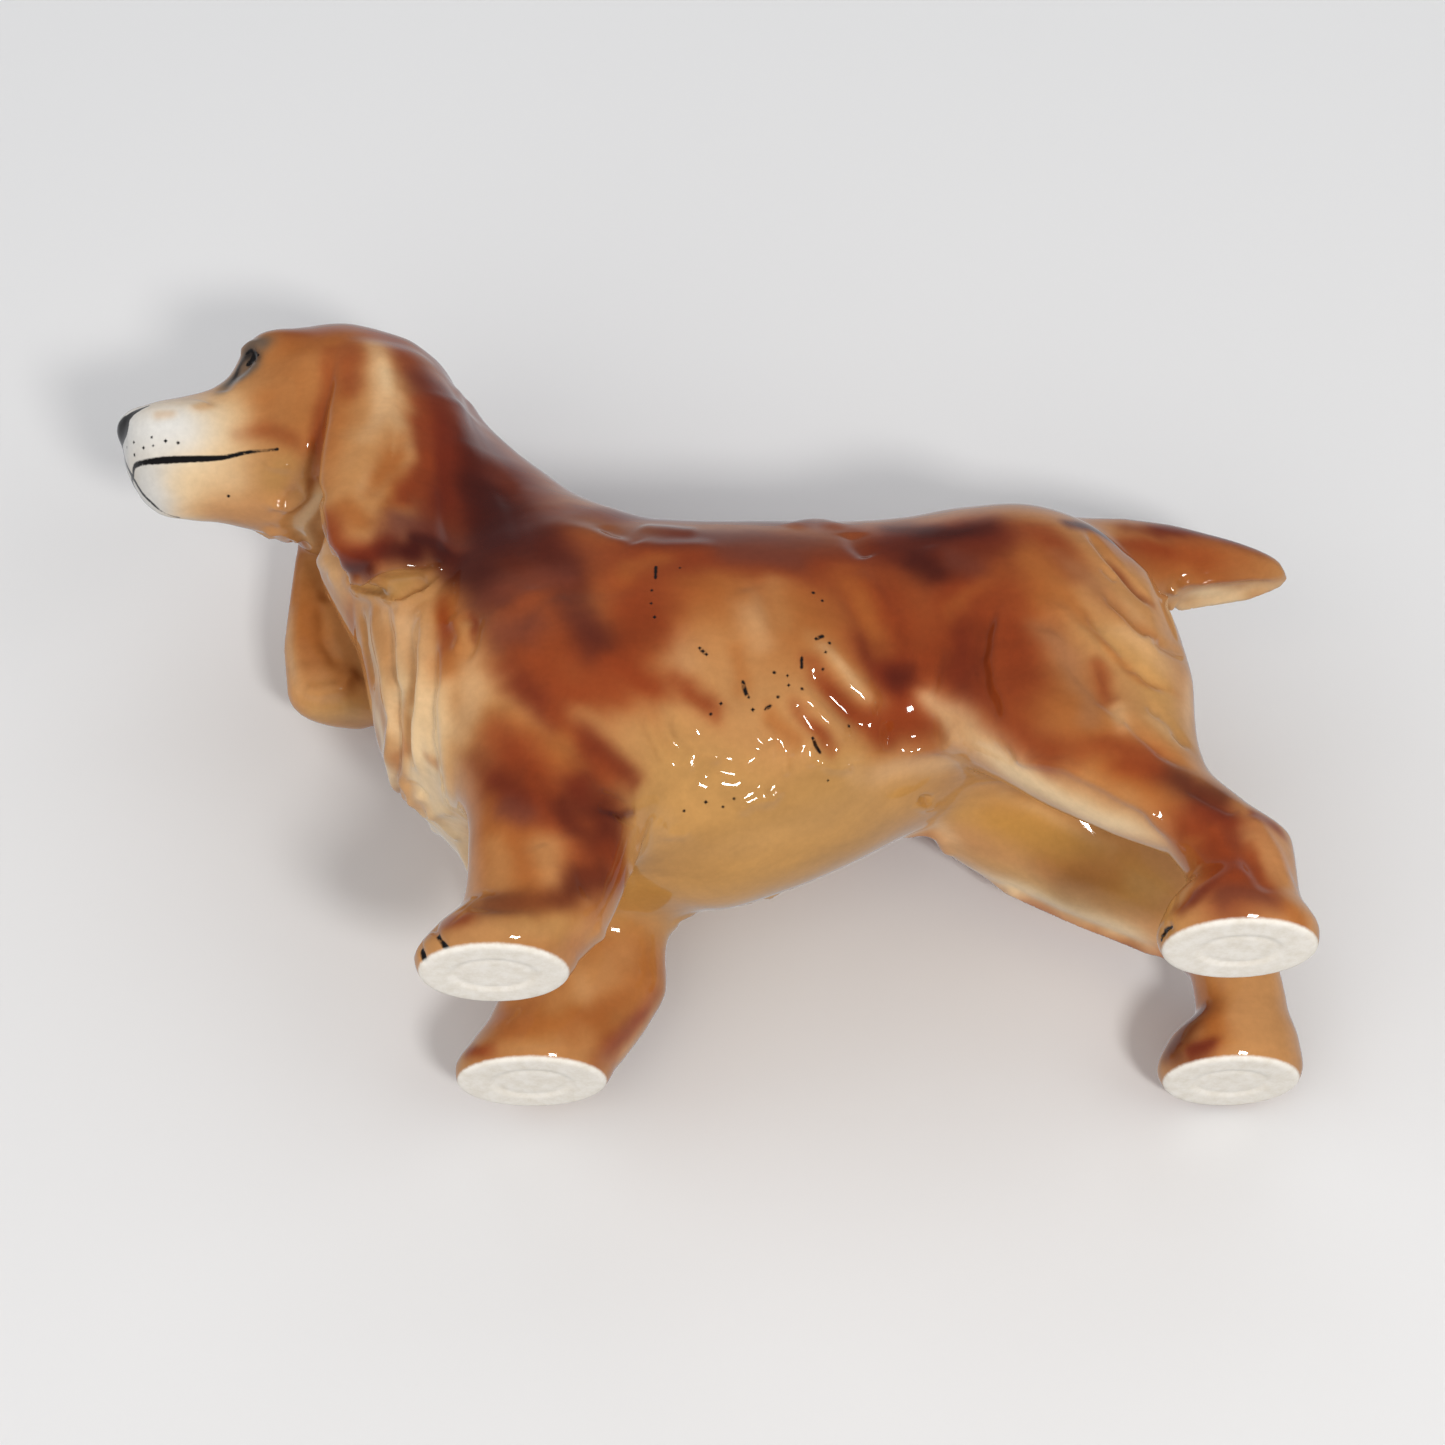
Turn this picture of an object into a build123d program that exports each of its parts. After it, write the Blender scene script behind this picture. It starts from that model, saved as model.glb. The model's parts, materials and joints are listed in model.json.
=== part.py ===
"""Slip-cast ceramic spaniel figurine, standing on four unglazed feet.

Frame: millimetres, +Z up, nose towards -Y, the dog's left side towards +X.
The origin is on the table plane, under the middle of the figurine.

The figurine is made as such pieces are on the bench: a hollow trunk casting, a
hollow head casting, two ears, a tail and four hollow legs are luted together with
slip, and each leg's pour hole is closed by an oval plug in its sole.
Every joint is face to face: the later piece is trimmed to the earlier one.
"""

from build123d import *
from math import cos, sin, radians
import os

os.makedirs("parts", exist_ok=True)

# ---- driving dimensions -------------------------------------------------------
WALL = 3.6            # thickness of the cast wall
VENT_RADIUS = 0.9     # firing vent in the belly
VENT_AT = (3.0, 37.0)  # x, y of the vent
X0, Y0 = -0.2, -1.3     # brings the middle of the overall size over the origin
HEAD_TURN = 16.0      # the head looks this far to the dog's left, degrees
HEAD_PIVOT_Y = -48.0
PLUG_DEPTH = 5.0      # height of the plug that closes a leg
PLUG_SINK = 0.35      # the plug's face stands this far inside the sole
LEG_WALL = 3.4

# trunk: y, height of the centre, half width, half height
TRUNK = [
    (-48.2, 55.2, 5.0, 7.0),
    (-44.6, 56.2, 12.0, 14.8),
    (-39.0, 57.4, 18.3, 21.2),
    (-30.0, 58.0, 23.2, 27.0),
    (-20.0, 57.6, 26.2, 30.7),
    (-8.0, 56.0, 27.4, 32.4),
    (4.0, 55.2, 27.2, 32.1),
    (15.0, 56.7, 26.0, 30.5),
    (25.5, 59.0, 24.2, 28.2),
    (35.0, 62.2, 22.8, 26.0),
    (45.0, 65.8, 23.0, 24.2),
    (54.0, 67.2, 22.4, 22.0),
    (62.0, 67.0, 19.4, 18.6),
    (69.0, 65.4, 13.8, 13.6),
    (74.6, 63.6, 5.0, 5.0),
]
# neck: y and z of the centre, half width, half depth, lean of the section in degrees
NECK = [
    (-24.0, 67.6, 23.4, 23.2, 40.0),
    (-33.0, 77.4, 20.6, 23.8, 38.0),
    (-41.0, 87.6, 17.2, 21.8, 36.0),
    (-49.0, 100.0, 14.6, 19.6, 38.0),
]
# head, in its own turned frame: distance forward of the pivot, height of the centre, half width, half height
HEAD = [
    (-8.4, 112.5, 6.0, 6.0),
    (-6.0, 111.8, 10.6, 11.4),
    (-2.4, 111.2, 14.4, 15.0),
    (3.0, 110.8, 16.8, 18.2),
    (11.4, 110.8, 17.3, 19.4),
    (19.4, 109.4, 15.6, 19.8),
    (25.5, 108.0, 13.2, 18.2),
    (30.0, 104.6, 11.2, 15.0),
    (34.0, 101.6, 9.6, 12.4),
    (38.4, 100.8, 8.7, 11.0),
    (42.0, 101.0, 7.6, 9.2),
    (44.9, 101.6, 6.0, 6.8),
    (47.0, 102.4, 3.0, 3.4),
]
# ear, in the head's frame: height, sideways, forward, half thickness, half length
EAR = [
    (120.0, 14.8, 6.2, 1.8, 3.6),
    (115.0, 17.0, 5.8, 2.6, 6.4),
    (106.0, 18.8, 5.0, 3.0, 8.4),
    (95.0, 20.0, 4.4, 3.4, 9.8),
    (85.0, 20.8, 4.0, 3.9, 11.2),
    (77.0, 21.4, 4.2, 4.4, 10.9),
    (70.5, 22.0, 4.8, 4.9, 9.6),
    (66.0, 22.4, 5.4, 4.6, 7.4),
]
# tail: y, height of the centre, half width, half height
TAIL = [
    (55.0, 79.4, 9.4, 9.6),
    (62.0, 80.9, 8.8, 9.2),
    (70.0, 81.7, 7.8, 8.4),
    (77.0, 82.0, 6.7, 7.2),
    (84.0, 81.6, 5.4, 5.6),
    (90.0, 80.9, 4.1, 4.0),
    (94.6, 80.0, 2.6, 2.4),
    (96.6, 79.3, 1.0, 1.0),
]
# legs: height, sideways, y of the centre, half width, half length
LEGS = {
    "front_left_leg": [
        (0.0, 18.2, -26.9, 8.6, 10.6),
        (2.4, 18.3, -26.6, 9.9, 11.8),
        (6.0, 18.2, -24.6, 9.8, 11.8),
        (10.5, 17.8, -22.2, 8.9, 10.2),
        (16.0, 17.4, -20.2, 8.9, 11.2),
        (24.0, 17.0, -18.8, 9.6, 12.8),
        (32.0, 15.6, -17.6, 9.8, 13.4),
        (40.0, 13.0, -16.4, 8.6, 12.4),
        (48.0, 10.0, -15.6, 6.0, 9.0),
    ],
    "front_right_leg": [
        (0.0, -18.2, -24.6, 8.4, 11.4),
        (2.4, -18.4, -24.3, 9.7, 12.2),
        (6.0, -18.2, -22.0, 9.5, 12.4),
        (10.5, -17.8, -18.4, 8.9, 12.0),
        (16.0, -17.4, -16.6, 8.9, 12.6),
        (24.0, -17.0, -16.6, 9.4, 12.0),
        (32.0, -15.6, -16.4, 9.8, 12.8),
        (40.0, -13.0, -16.0, 8.6, 12.4),
        (48.0, -10.0, -15.6, 6.0, 9.0),
    ],
    "hind_left_leg": [
        (0.0, 22.0, 79.5, 8.6, 10.8),
        (2.4, 22.0, 79.5, 9.8, 11.6),
        (6.5, 21.9, 79.7, 9.0, 10.3),
        (12.0, 21.2, 80.8, 7.4, 7.9),
        (18.0, 20.3, 79.6, 7.2, 8.8),
        (24.0, 19.3, 72.8, 7.9, 11.0),
        (31.0, 18.0, 65.0, 9.1, 13.6),
        (40.0, 16.4, 60.2, 10.8, 17.2),
        (49.0, 13.4, 58.4, 10.8, 18.4),
        (58.0, 9.4, 58.4, 8.6, 15.4),
    ],
    "hind_right_leg": [
        (0.0, -21.8, 82.9, 8.4, 10.4),
        (2.4, -21.8, 82.9, 9.6, 11.2),
        (6.5, -21.5, 83.6, 8.9, 10.2),
        (12.0, -20.9, 85.2, 7.4, 7.3),
        (18.0, -19.9, 84.4, 7.2, 7.3),
        (24.0, -19.0, 79.0, 7.7, 9.0),
        (31.0, -18.0, 70.2, 9.1, 13.2),
        (40.0, -16.4, 60.8, 10.8, 17.8),
        (49.0, -13.4, 57.8, 10.8, 18.2),
        (58.0, -9.4, 58.0, 8.6, 15.4),
    ],
}
# sole plugs: half width and half length of the oval pour hole
PLUG = {"front": (4.7, 6.3), "hind": (4.4, 6.0)}

turn = radians(HEAD_TURN)
FORWARD = (sin(turn), -cos(turn), 0.0)
ASIDE = (cos(turn), sin(turn), 0.0)


def head_point(aside, forward, z):
    return (
        X0 + ASIDE[0] * aside + FORWARD[0] * forward,
        Y0 + HEAD_PIVOT_Y + ASIDE[1] * aside + FORWARD[1] * forward,
        z,
    )


# ---- trunk --------------------------------------------------------------------
with BuildPart() as body_shell:
    for y, zc, rx, rz in TRUNK:
        with BuildSketch(Plane(origin=(X0, y + Y0, zc), x_dir=(1, 0, 0), z_dir=(0, 1, 0))):
            Ellipse(rx, rz)
    loft()
    with BuildPart(mode=Mode.PRIVATE) as neck:
        for y, zc, rx, rd, lean in NECK:
            a = radians(lean)
            with BuildSketch(
                Plane(origin=(X0, y + Y0, zc), x_dir=(1, 0, 0), z_dir=(0, -cos(a), sin(a)))
            ):
                Ellipse(rx, rd)
        loft()
    add(neck.part)
    # the hollow left when the slip is poured back out
    with BuildPart(mode=Mode.PRIVATE) as hollow:
        for y, zc, rx, rz in TRUNK[2:-3]:
            with BuildSketch(
                Plane(origin=(X0, y + Y0, zc), x_dir=(1, 0, 0), z_dir=(0, 1, 0))
            ):
                Ellipse(rx - WALL - 0.6, rz - WALL - 0.6)
        loft()
    add(hollow.part, mode=Mode.SUBTRACT)
    # firing vent, from the belly into the hollow
    with BuildSketch(Plane.XY.offset(20.0)):
        with Locations((VENT_AT[0] + X0, VENT_AT[1] + Y0)):
            Circle(VENT_RADIUS)
    extrude(amount=30.0, mode=Mode.SUBTRACT)
body_shell.part.label = "body_shell"

# ---- head ---------------------------------------------------------------------
with BuildPart() as head_shell:
    for d, zc, rx, rz in HEAD:
        with BuildSketch(
            Plane(origin=head_point(0, d, zc), x_dir=ASIDE, z_dir=FORWARD)
        ):
            Ellipse(rx, rz)
    loft()
    # trimmed to the neck, where it is luted on
    add(body_shell.part, mode=Mode.SUBTRACT)
    with BuildPart(mode=Mode.PRIVATE) as skull_hollow:
        for d, zc, rx, rz in HEAD[3:9]:
            with BuildSketch(
                Plane(origin=head_point(0, d, zc + 1.5), x_dir=ASIDE, z_dir=FORWARD)
            ):
                Ellipse(rx - WALL - 1.6, (rz - WALL - 1.6) * 0.72)
        loft()
    add(skull_hollow.part, mode=Mode.SUBTRACT)
head_shell.part.label = "head_shell"

# ---- ears ---------------------------------------------------------------------
ears = {}
for name, side in (("left_ear", 1), ("right_ear", -1)):
    with BuildPart() as ear:
        for z, aside, d, thick, length in EAR:
            with BuildSketch(
                Plane(origin=head_point(side * aside, d, z), x_dir=ASIDE, z_dir=(0, 0, 1))
            ):
                Ellipse(thick, length)
        loft()
        add(body_shell.part, mode=Mode.SUBTRACT)
        add(head_shell.part, mode=Mode.SUBTRACT)
    ear.part.label = name
    ears[name] = ear

# ---- tail ---------------------------------------------------------------------
with BuildPart() as tail:
    for y, zc, rx, rz in TAIL:
        with BuildSketch(Plane(origin=(X0, y + Y0, zc), x_dir=(1, 0, 0), z_dir=(0, 1, 0))):
            Ellipse(rx, rz)
    loft()
    add(body_shell.part, mode=Mode.SUBTRACT)
tail.part.label = "tail"

# ---- the trunk's and neck's whole outer form, which the legs are trimmed to -----
with BuildPart() as trunk_form:
    for y, zc, rx, rz in TRUNK:
        with BuildSketch(Plane(origin=(X0, y + Y0, zc), x_dir=(1, 0, 0), z_dir=(0, 1, 0))):
            Ellipse(rx, rz)
    loft()

# ---- legs and the plugs in their soles ------------------------------------------
legs, plugs = {}, {}
for name, stations in LEGS.items():
    end = name.split("_")[0]
    pw, pl = PLUG[end]
    foot_x, foot_y = stations[0][1] + X0, stations[0][2] + Y0
    with BuildPart() as leg:
        for z, x, y, rx, ry in stations:
            with BuildSketch(Plane(origin=(x + X0, y + Y0, z), x_dir=(1, 0, 0), z_dir=(0, 0, 1))):
                Ellipse(rx, ry)
        loft()
        add(trunk_form.part, mode=Mode.SUBTRACT)
        with BuildSketch(Plane.XY):
            with Locations((foot_x, foot_y)):
                Ellipse(pw, pl)
        extrude(amount=PLUG_DEPTH, mode=Mode.SUBTRACT)
        # the leg's own hollow, above the plug
        with BuildPart(mode=Mode.PRIVATE) as bore:
            with BuildSketch(Plane(origin=(foot_x, foot_y, PLUG_DEPTH))):
                Ellipse(pw - 0.6, pl - 0.6)
            for z, x, y, rx, ry in stations[3:6]:
                with BuildSketch(Plane(origin=(x + X0, y + Y0, z))):
                    Ellipse(rx - LEG_WALL - 0.4, ry - LEG_WALL - 0.4)
            loft()
        add(bore.part, mode=Mode.SUBTRACT)
    # the trim can leave crumbs inside the trunk; only the leg itself is kept
    leg_solid = leg.part.solids().sort_by(SortBy.VOLUME)[-1]
    leg_solid.label = name
    legs[name] = leg_solid

    with BuildPart() as plug:
        with BuildSketch(Plane.XY.offset(PLUG_SINK)):
            with Locations((foot_x, foot_y)):
                Ellipse(pw, pl)
        extrude(amount=PLUG_DEPTH - PLUG_SINK)
    plug_name = name.replace("_leg", "_sole_plug")
    plug.part.label = plug_name
    plugs[plug_name] = plug

# ---- files ----------------------------------------------------------------------
export_step(body_shell.part, "parts/body_shell.step")
export_step(head_shell.part, "parts/head_shell.step")
for name, ear in ears.items():
    export_step(ear.part, f"parts/{name}.step")
export_step(tail.part, "parts/tail.step")
for name, leg_solid in legs.items():
    export_step(leg_solid, f"parts/{name}.step")
for name, plug in plugs.items():
    export_step(plug.part, f"parts/{name}.step")
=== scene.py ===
"""Looks of the slip-cast spaniel figurine: the castings, their glaze and the light."""
import bpy
import json
import math
import numpy as np
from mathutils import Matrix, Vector


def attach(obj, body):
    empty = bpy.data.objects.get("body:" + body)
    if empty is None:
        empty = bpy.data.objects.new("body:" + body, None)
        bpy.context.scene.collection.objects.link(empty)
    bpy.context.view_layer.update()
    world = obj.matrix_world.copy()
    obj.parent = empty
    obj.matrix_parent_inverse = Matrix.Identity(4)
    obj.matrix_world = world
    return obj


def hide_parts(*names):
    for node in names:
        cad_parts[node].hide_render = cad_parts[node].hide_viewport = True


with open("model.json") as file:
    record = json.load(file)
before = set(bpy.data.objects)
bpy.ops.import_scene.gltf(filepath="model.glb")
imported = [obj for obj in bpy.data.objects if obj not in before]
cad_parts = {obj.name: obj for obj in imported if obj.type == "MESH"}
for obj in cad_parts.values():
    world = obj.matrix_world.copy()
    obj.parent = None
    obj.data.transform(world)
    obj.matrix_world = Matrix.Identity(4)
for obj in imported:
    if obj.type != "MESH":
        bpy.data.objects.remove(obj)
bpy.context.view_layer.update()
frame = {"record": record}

SHIFT = np.array([-0.2, -1.3, 0.0])      # sculpting frame to the part's frame, mm
GRID = 1.05            # first mesh step, mm

# ------------------------------------------------------------------------------
# implicit shapes, all in millimetres
# ------------------------------------------------------------------------------
TURN = math.radians(16.0)
FWD = np.array([math.sin(TURN), -math.cos(TURN), 0.0])
ASD = np.array([math.cos(TURN), math.sin(TURN), 0.0])
UP = np.array([0.0, 0.0, 1.0])
X = np.array([1.0, 0.0, 0.0])
Y = np.array([0.0, 1.0, 0.0])
PIV = np.array([0.0, -48.0, 0.0])


def hp(a, d, z):
    """A point of the turned head: sideways, forwards, height."""
    return PIV + ASD * a + FWD * d + UP * z


def pchip(xs, ys, xf):
    xs = np.asarray(xs, float); ys = np.asarray(ys, float)
    h = np.diff(xs); dl = np.diff(ys) / h
    m = np.zeros_like(ys)
    if len(xs) == 2:
        m[:] = dl[0]
    else:
        for i in range(1, len(xs) - 1):
            if dl[i - 1] * dl[i] > 0:
                w1 = 2 * h[i] + h[i - 1]; w2 = h[i] + 2 * h[i - 1]
                m[i] = (w1 + w2) / (w1 / dl[i - 1] + w2 / dl[i])
        m[0] = ((2 * h[0] + h[1]) * dl[0] - h[0] * dl[1]) / (h[0] + h[1])
        m[-1] = ((2 * h[-1] + h[-2]) * dl[-1] - h[-1] * dl[-2]) / (h[-1] + h[-2])
    i = np.clip(np.searchsorted(xs, xf) - 1, 0, len(xs) - 2)
    t = (xf - xs[i]) / h[i]
    return ((2 * t**3 - 3 * t**2 + 1) * ys[i] + (t**3 - 2 * t**2 + t) * h[i] * m[i]
            + (-2 * t**3 + 3 * t**2) * ys[i + 1] + (t**3 - t**2) * h[i] * m[i + 1])


class Stack:
    """Oval sections strung along a straight axis: rows of t, ca, cb, ra, rb up, rb down."""
    def __init__(self, o, t, a, b, rows, rim=2.0):
        self.rim = rim
        self.o, self.t, self.a, self.b = (np.asarray(v, float) for v in (o, t, a, b))
        rows = [r if len(r) == 6 else tuple(r) + (r[-1],) for r in rows]
        rows = np.array(sorted(rows))
        self.t0, self.t1 = rows[0, 0], rows[-1, 0]
        n = max(8, int((self.t1 - self.t0) / 0.25))
        self.ft = np.linspace(self.t0, self.t1, n)
        self.c = [pchip(rows[:, 0], rows[:, k], self.ft) for k in range(1, 6)]
        self.g = [np.gradient(c, self.ft) for c in self.c]
        pts = []
        for tt, ca, cb, ra, r1, r2 in rows:
            for sa in (-1, 1):
                for bb in (cb + r1, cb - r2):
                    pts.append(self.o + self.t * tt + self.a * (ca + sa * ra) + self.b * bb)
        pts = np.array(pts)
        self.lo, self.hi = pts.min(0) - 1.0, pts.max(0) + 1.0

    def __call__(self, P):
        q = P - self.o
        t = q @ self.t
        tc = np.clip(t, self.t0, self.t1)
        f = (tc - self.t0) / (self.t1 - self.t0) * (len(self.ft) - 1)
        i = np.minimum(f.astype(np.int32), len(self.ft) - 2); w = f - i
        def at(c):
            return c[i] * (1 - w) + c[i + 1] * w
        x = q @ self.a - at(self.c[0])
        y = q @ self.b - at(self.c[1])
        up = y > 0
        ra = at(self.c[2])
        rb = np.where(up, at(self.c[3]), at(self.c[4]))
        gx, gy = at(self.g[0]), at(self.g[1])
        gra = at(self.g[2]); grb = np.where(up, at(self.g[3]), at(self.g[4]))
        x1 = x / ra; y1 = y / rb
        k0 = np.sqrt(x1 * x1 + y1 * y1) + 1e-6
        x2 = x1 / ra; y2 = y1 / rb
        k1 = np.sqrt(x2 * x2 + y2 * y2) + 1e-6
        m = (x2 * gx + x1 * x2 * gra + y2 * gy + y1 * y2 * grb) / k1
        d = k0 * (k0 - 1) / k1 / np.sqrt(1 + np.minimum(m * m, 9.0))
        r = self.rim
        s = np.maximum(self.t0 - t, t - self.t1)
        u, w = d + r, s + r
        return np.minimum(np.maximum(u, w), 0) + np.sqrt(np.maximum(u, 0) ** 2 + np.maximum(w, 0) ** 2) - r


def frame_of(z, y=None):
    z = np.asarray(z, float); z = z / np.linalg.norm(z)
    y = np.asarray(Y if y is None else y, float)
    x = np.cross(y, z); x /= np.linalg.norm(x)
    return x, np.cross(z, x), z


class Egg:
    """An ellipsoid: centre, three half sizes along the axes (ax, ay, az)."""
    def __init__(self, c, r, ax=None, ay=None, az=None):
        self.c = np.asarray(c, float); self.r = np.asarray(r, float)
        self.M = np.array([X if ax is None else ax, Y if ay is None else ay, UP if az is None else az], float)
        e = np.sqrt(((self.M * self.r[:, None]) ** 2).sum(0))
        self.lo, self.hi = self.c - e - 0.5, self.c + e + 0.5

    def __call__(self, P):
        q = (P - self.c) @ self.M.T
        k0 = np.sqrt(((q / self.r) ** 2).sum(1)) + 1e-6
        k1 = np.sqrt(((q / self.r ** 2) ** 2).sum(1)) + 1e-6
        return k0 * (k0 - 1) / k1


class Rope:
    """A round rope through points with a radius at each."""
    def __init__(self, pts, rad):
        self.p = np.asarray(pts, float)
        self.r = np.full(len(pts), float(rad)) if np.isscalar(rad) else np.asarray(rad, float)
        self.lo = (self.p - self.r[:, None]).min(0) - 0.5
        self.hi = (self.p + self.r[:, None]).max(0) + 0.5

    def __call__(self, P):
        best = np.full(len(P), 1e3)
        for a, b, ra, rb in zip(self.p[:-1], self.p[1:], self.r[:-1], self.r[1:]):
            ab = b - a; t = np.clip(((P - a) @ ab) / (ab @ ab), 0, 1)
            d = np.sqrt(((P - a - t[:, None] * ab) ** 2).sum(1)) - (ra + (rb - ra) * t)
            best = np.minimum(best, d)
        return best


def ax_rot(yaw=0.0, pitch=0.0, roll=0.0):
    """Axes of a body turned about Z, then X, then Y, in degrees."""
    a, b, c = (math.radians(v) for v in (yaw, pitch, roll))
    Rz = np.array([[math.cos(a), -math.sin(a), 0], [math.sin(a), math.cos(a), 0], [0, 0, 1]])
    Rx = np.array([[1, 0, 0], [0, math.cos(b), -math.sin(b)], [0, math.sin(b), math.cos(b)]])
    Ry = np.array([[math.cos(c), 0, math.sin(c)], [0, 1, 0], [-math.sin(c), 0, math.cos(c)]])
    M = (Rz @ Rx @ Ry).T
    return dict(ax=M[0], ay=M[1], az=M[2])


TRUNK = [
    (-48.2, 0, 55.6, 5.0, 7.0), (-44.6, 0, 56.6, 12.0, 14.8, 13.8), (-39.0, 0, 57.6, 18.0, 21.2, 19.6),
    (-30.0, 0, 58.0, 22.6, 27.0, 25.2), (-20.0, 0, 57.6, 25.2, 30.7), (-8.0, 0, 56.0, 26.4, 32.4),
    (4.0, 0, 55.2, 26.8, 32.1), (15.0, 0, 56.7, 25.8, 30.5), (25.5, 0, 59.0, 24.0, 28.2),
    (35.0, 0, 62.2, 22.0, 26.0), (45.0, 0, 65.8, 21.0, 24.2), (54.0, 0, 67.2, 20.6, 22.0),
    (62.0, 0, 67.0, 18.4, 18.6), (69.0, 0, 65.4, 13.8, 13.6), (74.6, 0, 63.6, 5.0, 5.0),
]
NT = np.array([0, -0.788, 0.616]); NB = np.array([0, 0.616, 0.788])
NECK = [(60.5, 0, 38.2, 22.6, 22.6), (73.7, 0, 40.4, 20.2, 23.2, 23.6), (86.3, 0, 43.8, 16.8, 21.4, 21.8),
        (100.2, 0, 48.6, 14.2, 19.6)]
HEAD = [
    (-8.4, 0, 112.2, 6.0, 6.0), (-6.0, 0, 111.5, 10.6, 11.0), (-2.4, 0, 110.9, 14.4, 14.4),
    (3.0, 0, 110.5, 16.6, 17.4), (11.4, 0, 110.6, 17.0, 18.4, 19.0), (19.0, 0, 109.4, 15.2, 18.2, 19.0),
    (24.4, 0, 107.2, 12.4, 16.2, 17.0), (29.0, 0, 104.2, 10.4, 13.7, 13.9), (33.4, 0, 101.7, 9.3, 11.3, 11.8),
    (38.2, 0, 101.0, 8.6, 9.5, 11.1), (41.2, 0, 101.3, 7.9, 7.9, 9.6), (43.6, 0, 102.2, 6.6, 5.7, 7.2),
    (45.5, 0, 103.4, 4.8, 3.6, 4.4), (46.6, 0, 104.4, 2.6, 2.0),
]
EAR = [
    (119.5, 12.0, 6.6, 2.4, 3.6), (115.0, 14.0, 6.4, 3.2, 6.2), (108.0, 15.8, 5.8, 3.8, 8.2),
    (99.0, 17.6, 5.0, 4.2, 9.8), (89.0, 19.2, 4.4, 4.4, 11.0), (80.0, 20.4, 4.0, 4.9, 11.4),
    (73.0, 21.4, 3.6, 5.5, 10.2), (67.4, 21.8, 2.6, 5.9, 8.6),
]
EAR_FAR = [
    (120.5, 12.0, 6.0, 2.4, 3.6), (116.0, 14.0, 5.9, 3.2, 6.2), (109.0, 15.8, 5.4, 3.8, 8.2),
    (100.0, 17.6, 5.0, 4.2, 9.8), (90.0, 19.2, 4.2, 4.4, 11.1), (81.0, 20.4, 3.9, 4.8, 11.6),
    (74.0, 21.2, 4.0, 5.4, 10.6), (67.5, 21.4, 4.2, 5.6, 9.2),
]
TAIL = [
    (52.0, 0, 78.2, 9.6, 9.6, 9.8), (62.0, 0, 80.2, 8.8, 9.3, 8.3), (70.0, 0, 80.8, 7.8, 9.0, 7.0),
    (77.0, 0, 80.6, 6.8, 8.3, 5.3), (84.0, 0, 80.2, 5.6, 6.7, 3.8), (90.0, 0, 79.8, 4.3, 5.0, 2.6),
    (94.6, 0, 79.4, 2.7, 2.9, 1.5), (96.8, 0, 79.0, 1.0, 1.0, 0.8),
]
LEGS = {
    "front_left_leg": [
        (0.0, 18.2, -26.9, 8.8, 10.8), (2.4, 18.3, -26.6, 9.9, 11.8), (6.0, 18.2, -24.2, 9.6, 12.0),
        (10.5, 17.8, -21.0, 8.9, 11.3), (16.0, 17.4, -19.7, 8.7, 11.8), (24.0, 17.0, -18.8, 9.4, 12.8),
        (32.0, 16.0, -17.8, 10.2, 13.8), (42.0, 14.0, -16.4, 10.4, 14.6), (54.0, 12.0, -15.6, 8.6, 12.0),
    ],
    "front_right_leg": [
        (0.0, -18.2, -24.6, 8.6, 11.5), (2.4, -18.4, -24.3, 9.7, 12.2), (6.0, -18.2, -22.0, 9.4, 12.4),
        (10.5, -17.8, -19.0, 8.7, 12.5), (16.0, -17.4, -16.9, 8.7, 12.9), (24.0, -17.0, -16.7, 9.2, 12.4),
        (32.0, -16.0, -16.8, 9.8, 12.6), (42.0, -14.0, -16.0, 10.4, 14.4), (54.0, -12.0, -15.6, 8.6, 12.0),
    ],
    "hind_left_leg": [
        (0.0, 22.0, 79.5, 8.8, 11.0), (2.4, 22.0, 79.4, 9.8, 11.5), (6.5, 21.8, 79.3, 9.0, 9.9),
        (12.0, 21.2, 80.9, 7.4, 7.9), (18.0, 20.2, 79.8, 7.2, 9.0), (24.0, 19.2, 72.2, 8.0, 11.4),
        (31.0, 17.8, 64.3, 9.0, 14.1), (40.0, 15.6, 59.2, 10.2, 18.0), (49.0, 13.2, 58.0, 10.4, 19.2),
        (58.0, 10.4, 58.2, 9.6, 17.0), (68.0, 8.0, 57.0, 8.0, 13.0),
    ],
    "hind_right_leg": [
        (0.0, -21.8, 82.9, 8.6, 10.4), (2.4, -21.8, 82.9, 9.6, 11.2), (6.5, -21.5, 83.6, 8.9, 10.2),
        (12.0, -20.9, 85.4, 7.3, 7.1), (18.0, -19.9, 84.8, 7.0, 6.9), (24.0, -19.0, 79.6, 7.4, 8.5),
        (31.0, -18.0, 70.2, 8.8, 13.8), (40.0, -16.0, 60.0, 10.2, 19.6), (49.0, -13.2, 56.4, 10.4, 20.6),
        (58.0, -10.4, 58.0, 9.6, 16.4), (68.0, -8.0, 57.0, 8.0, 13.0),
    ],
}
PLUG = {"front": (4.7, 6.3), "hind": (4.4, 6.0)}
FOOT = {n: (r[0][1], r[0][2]) for n, r in LEGS.items()}

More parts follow.
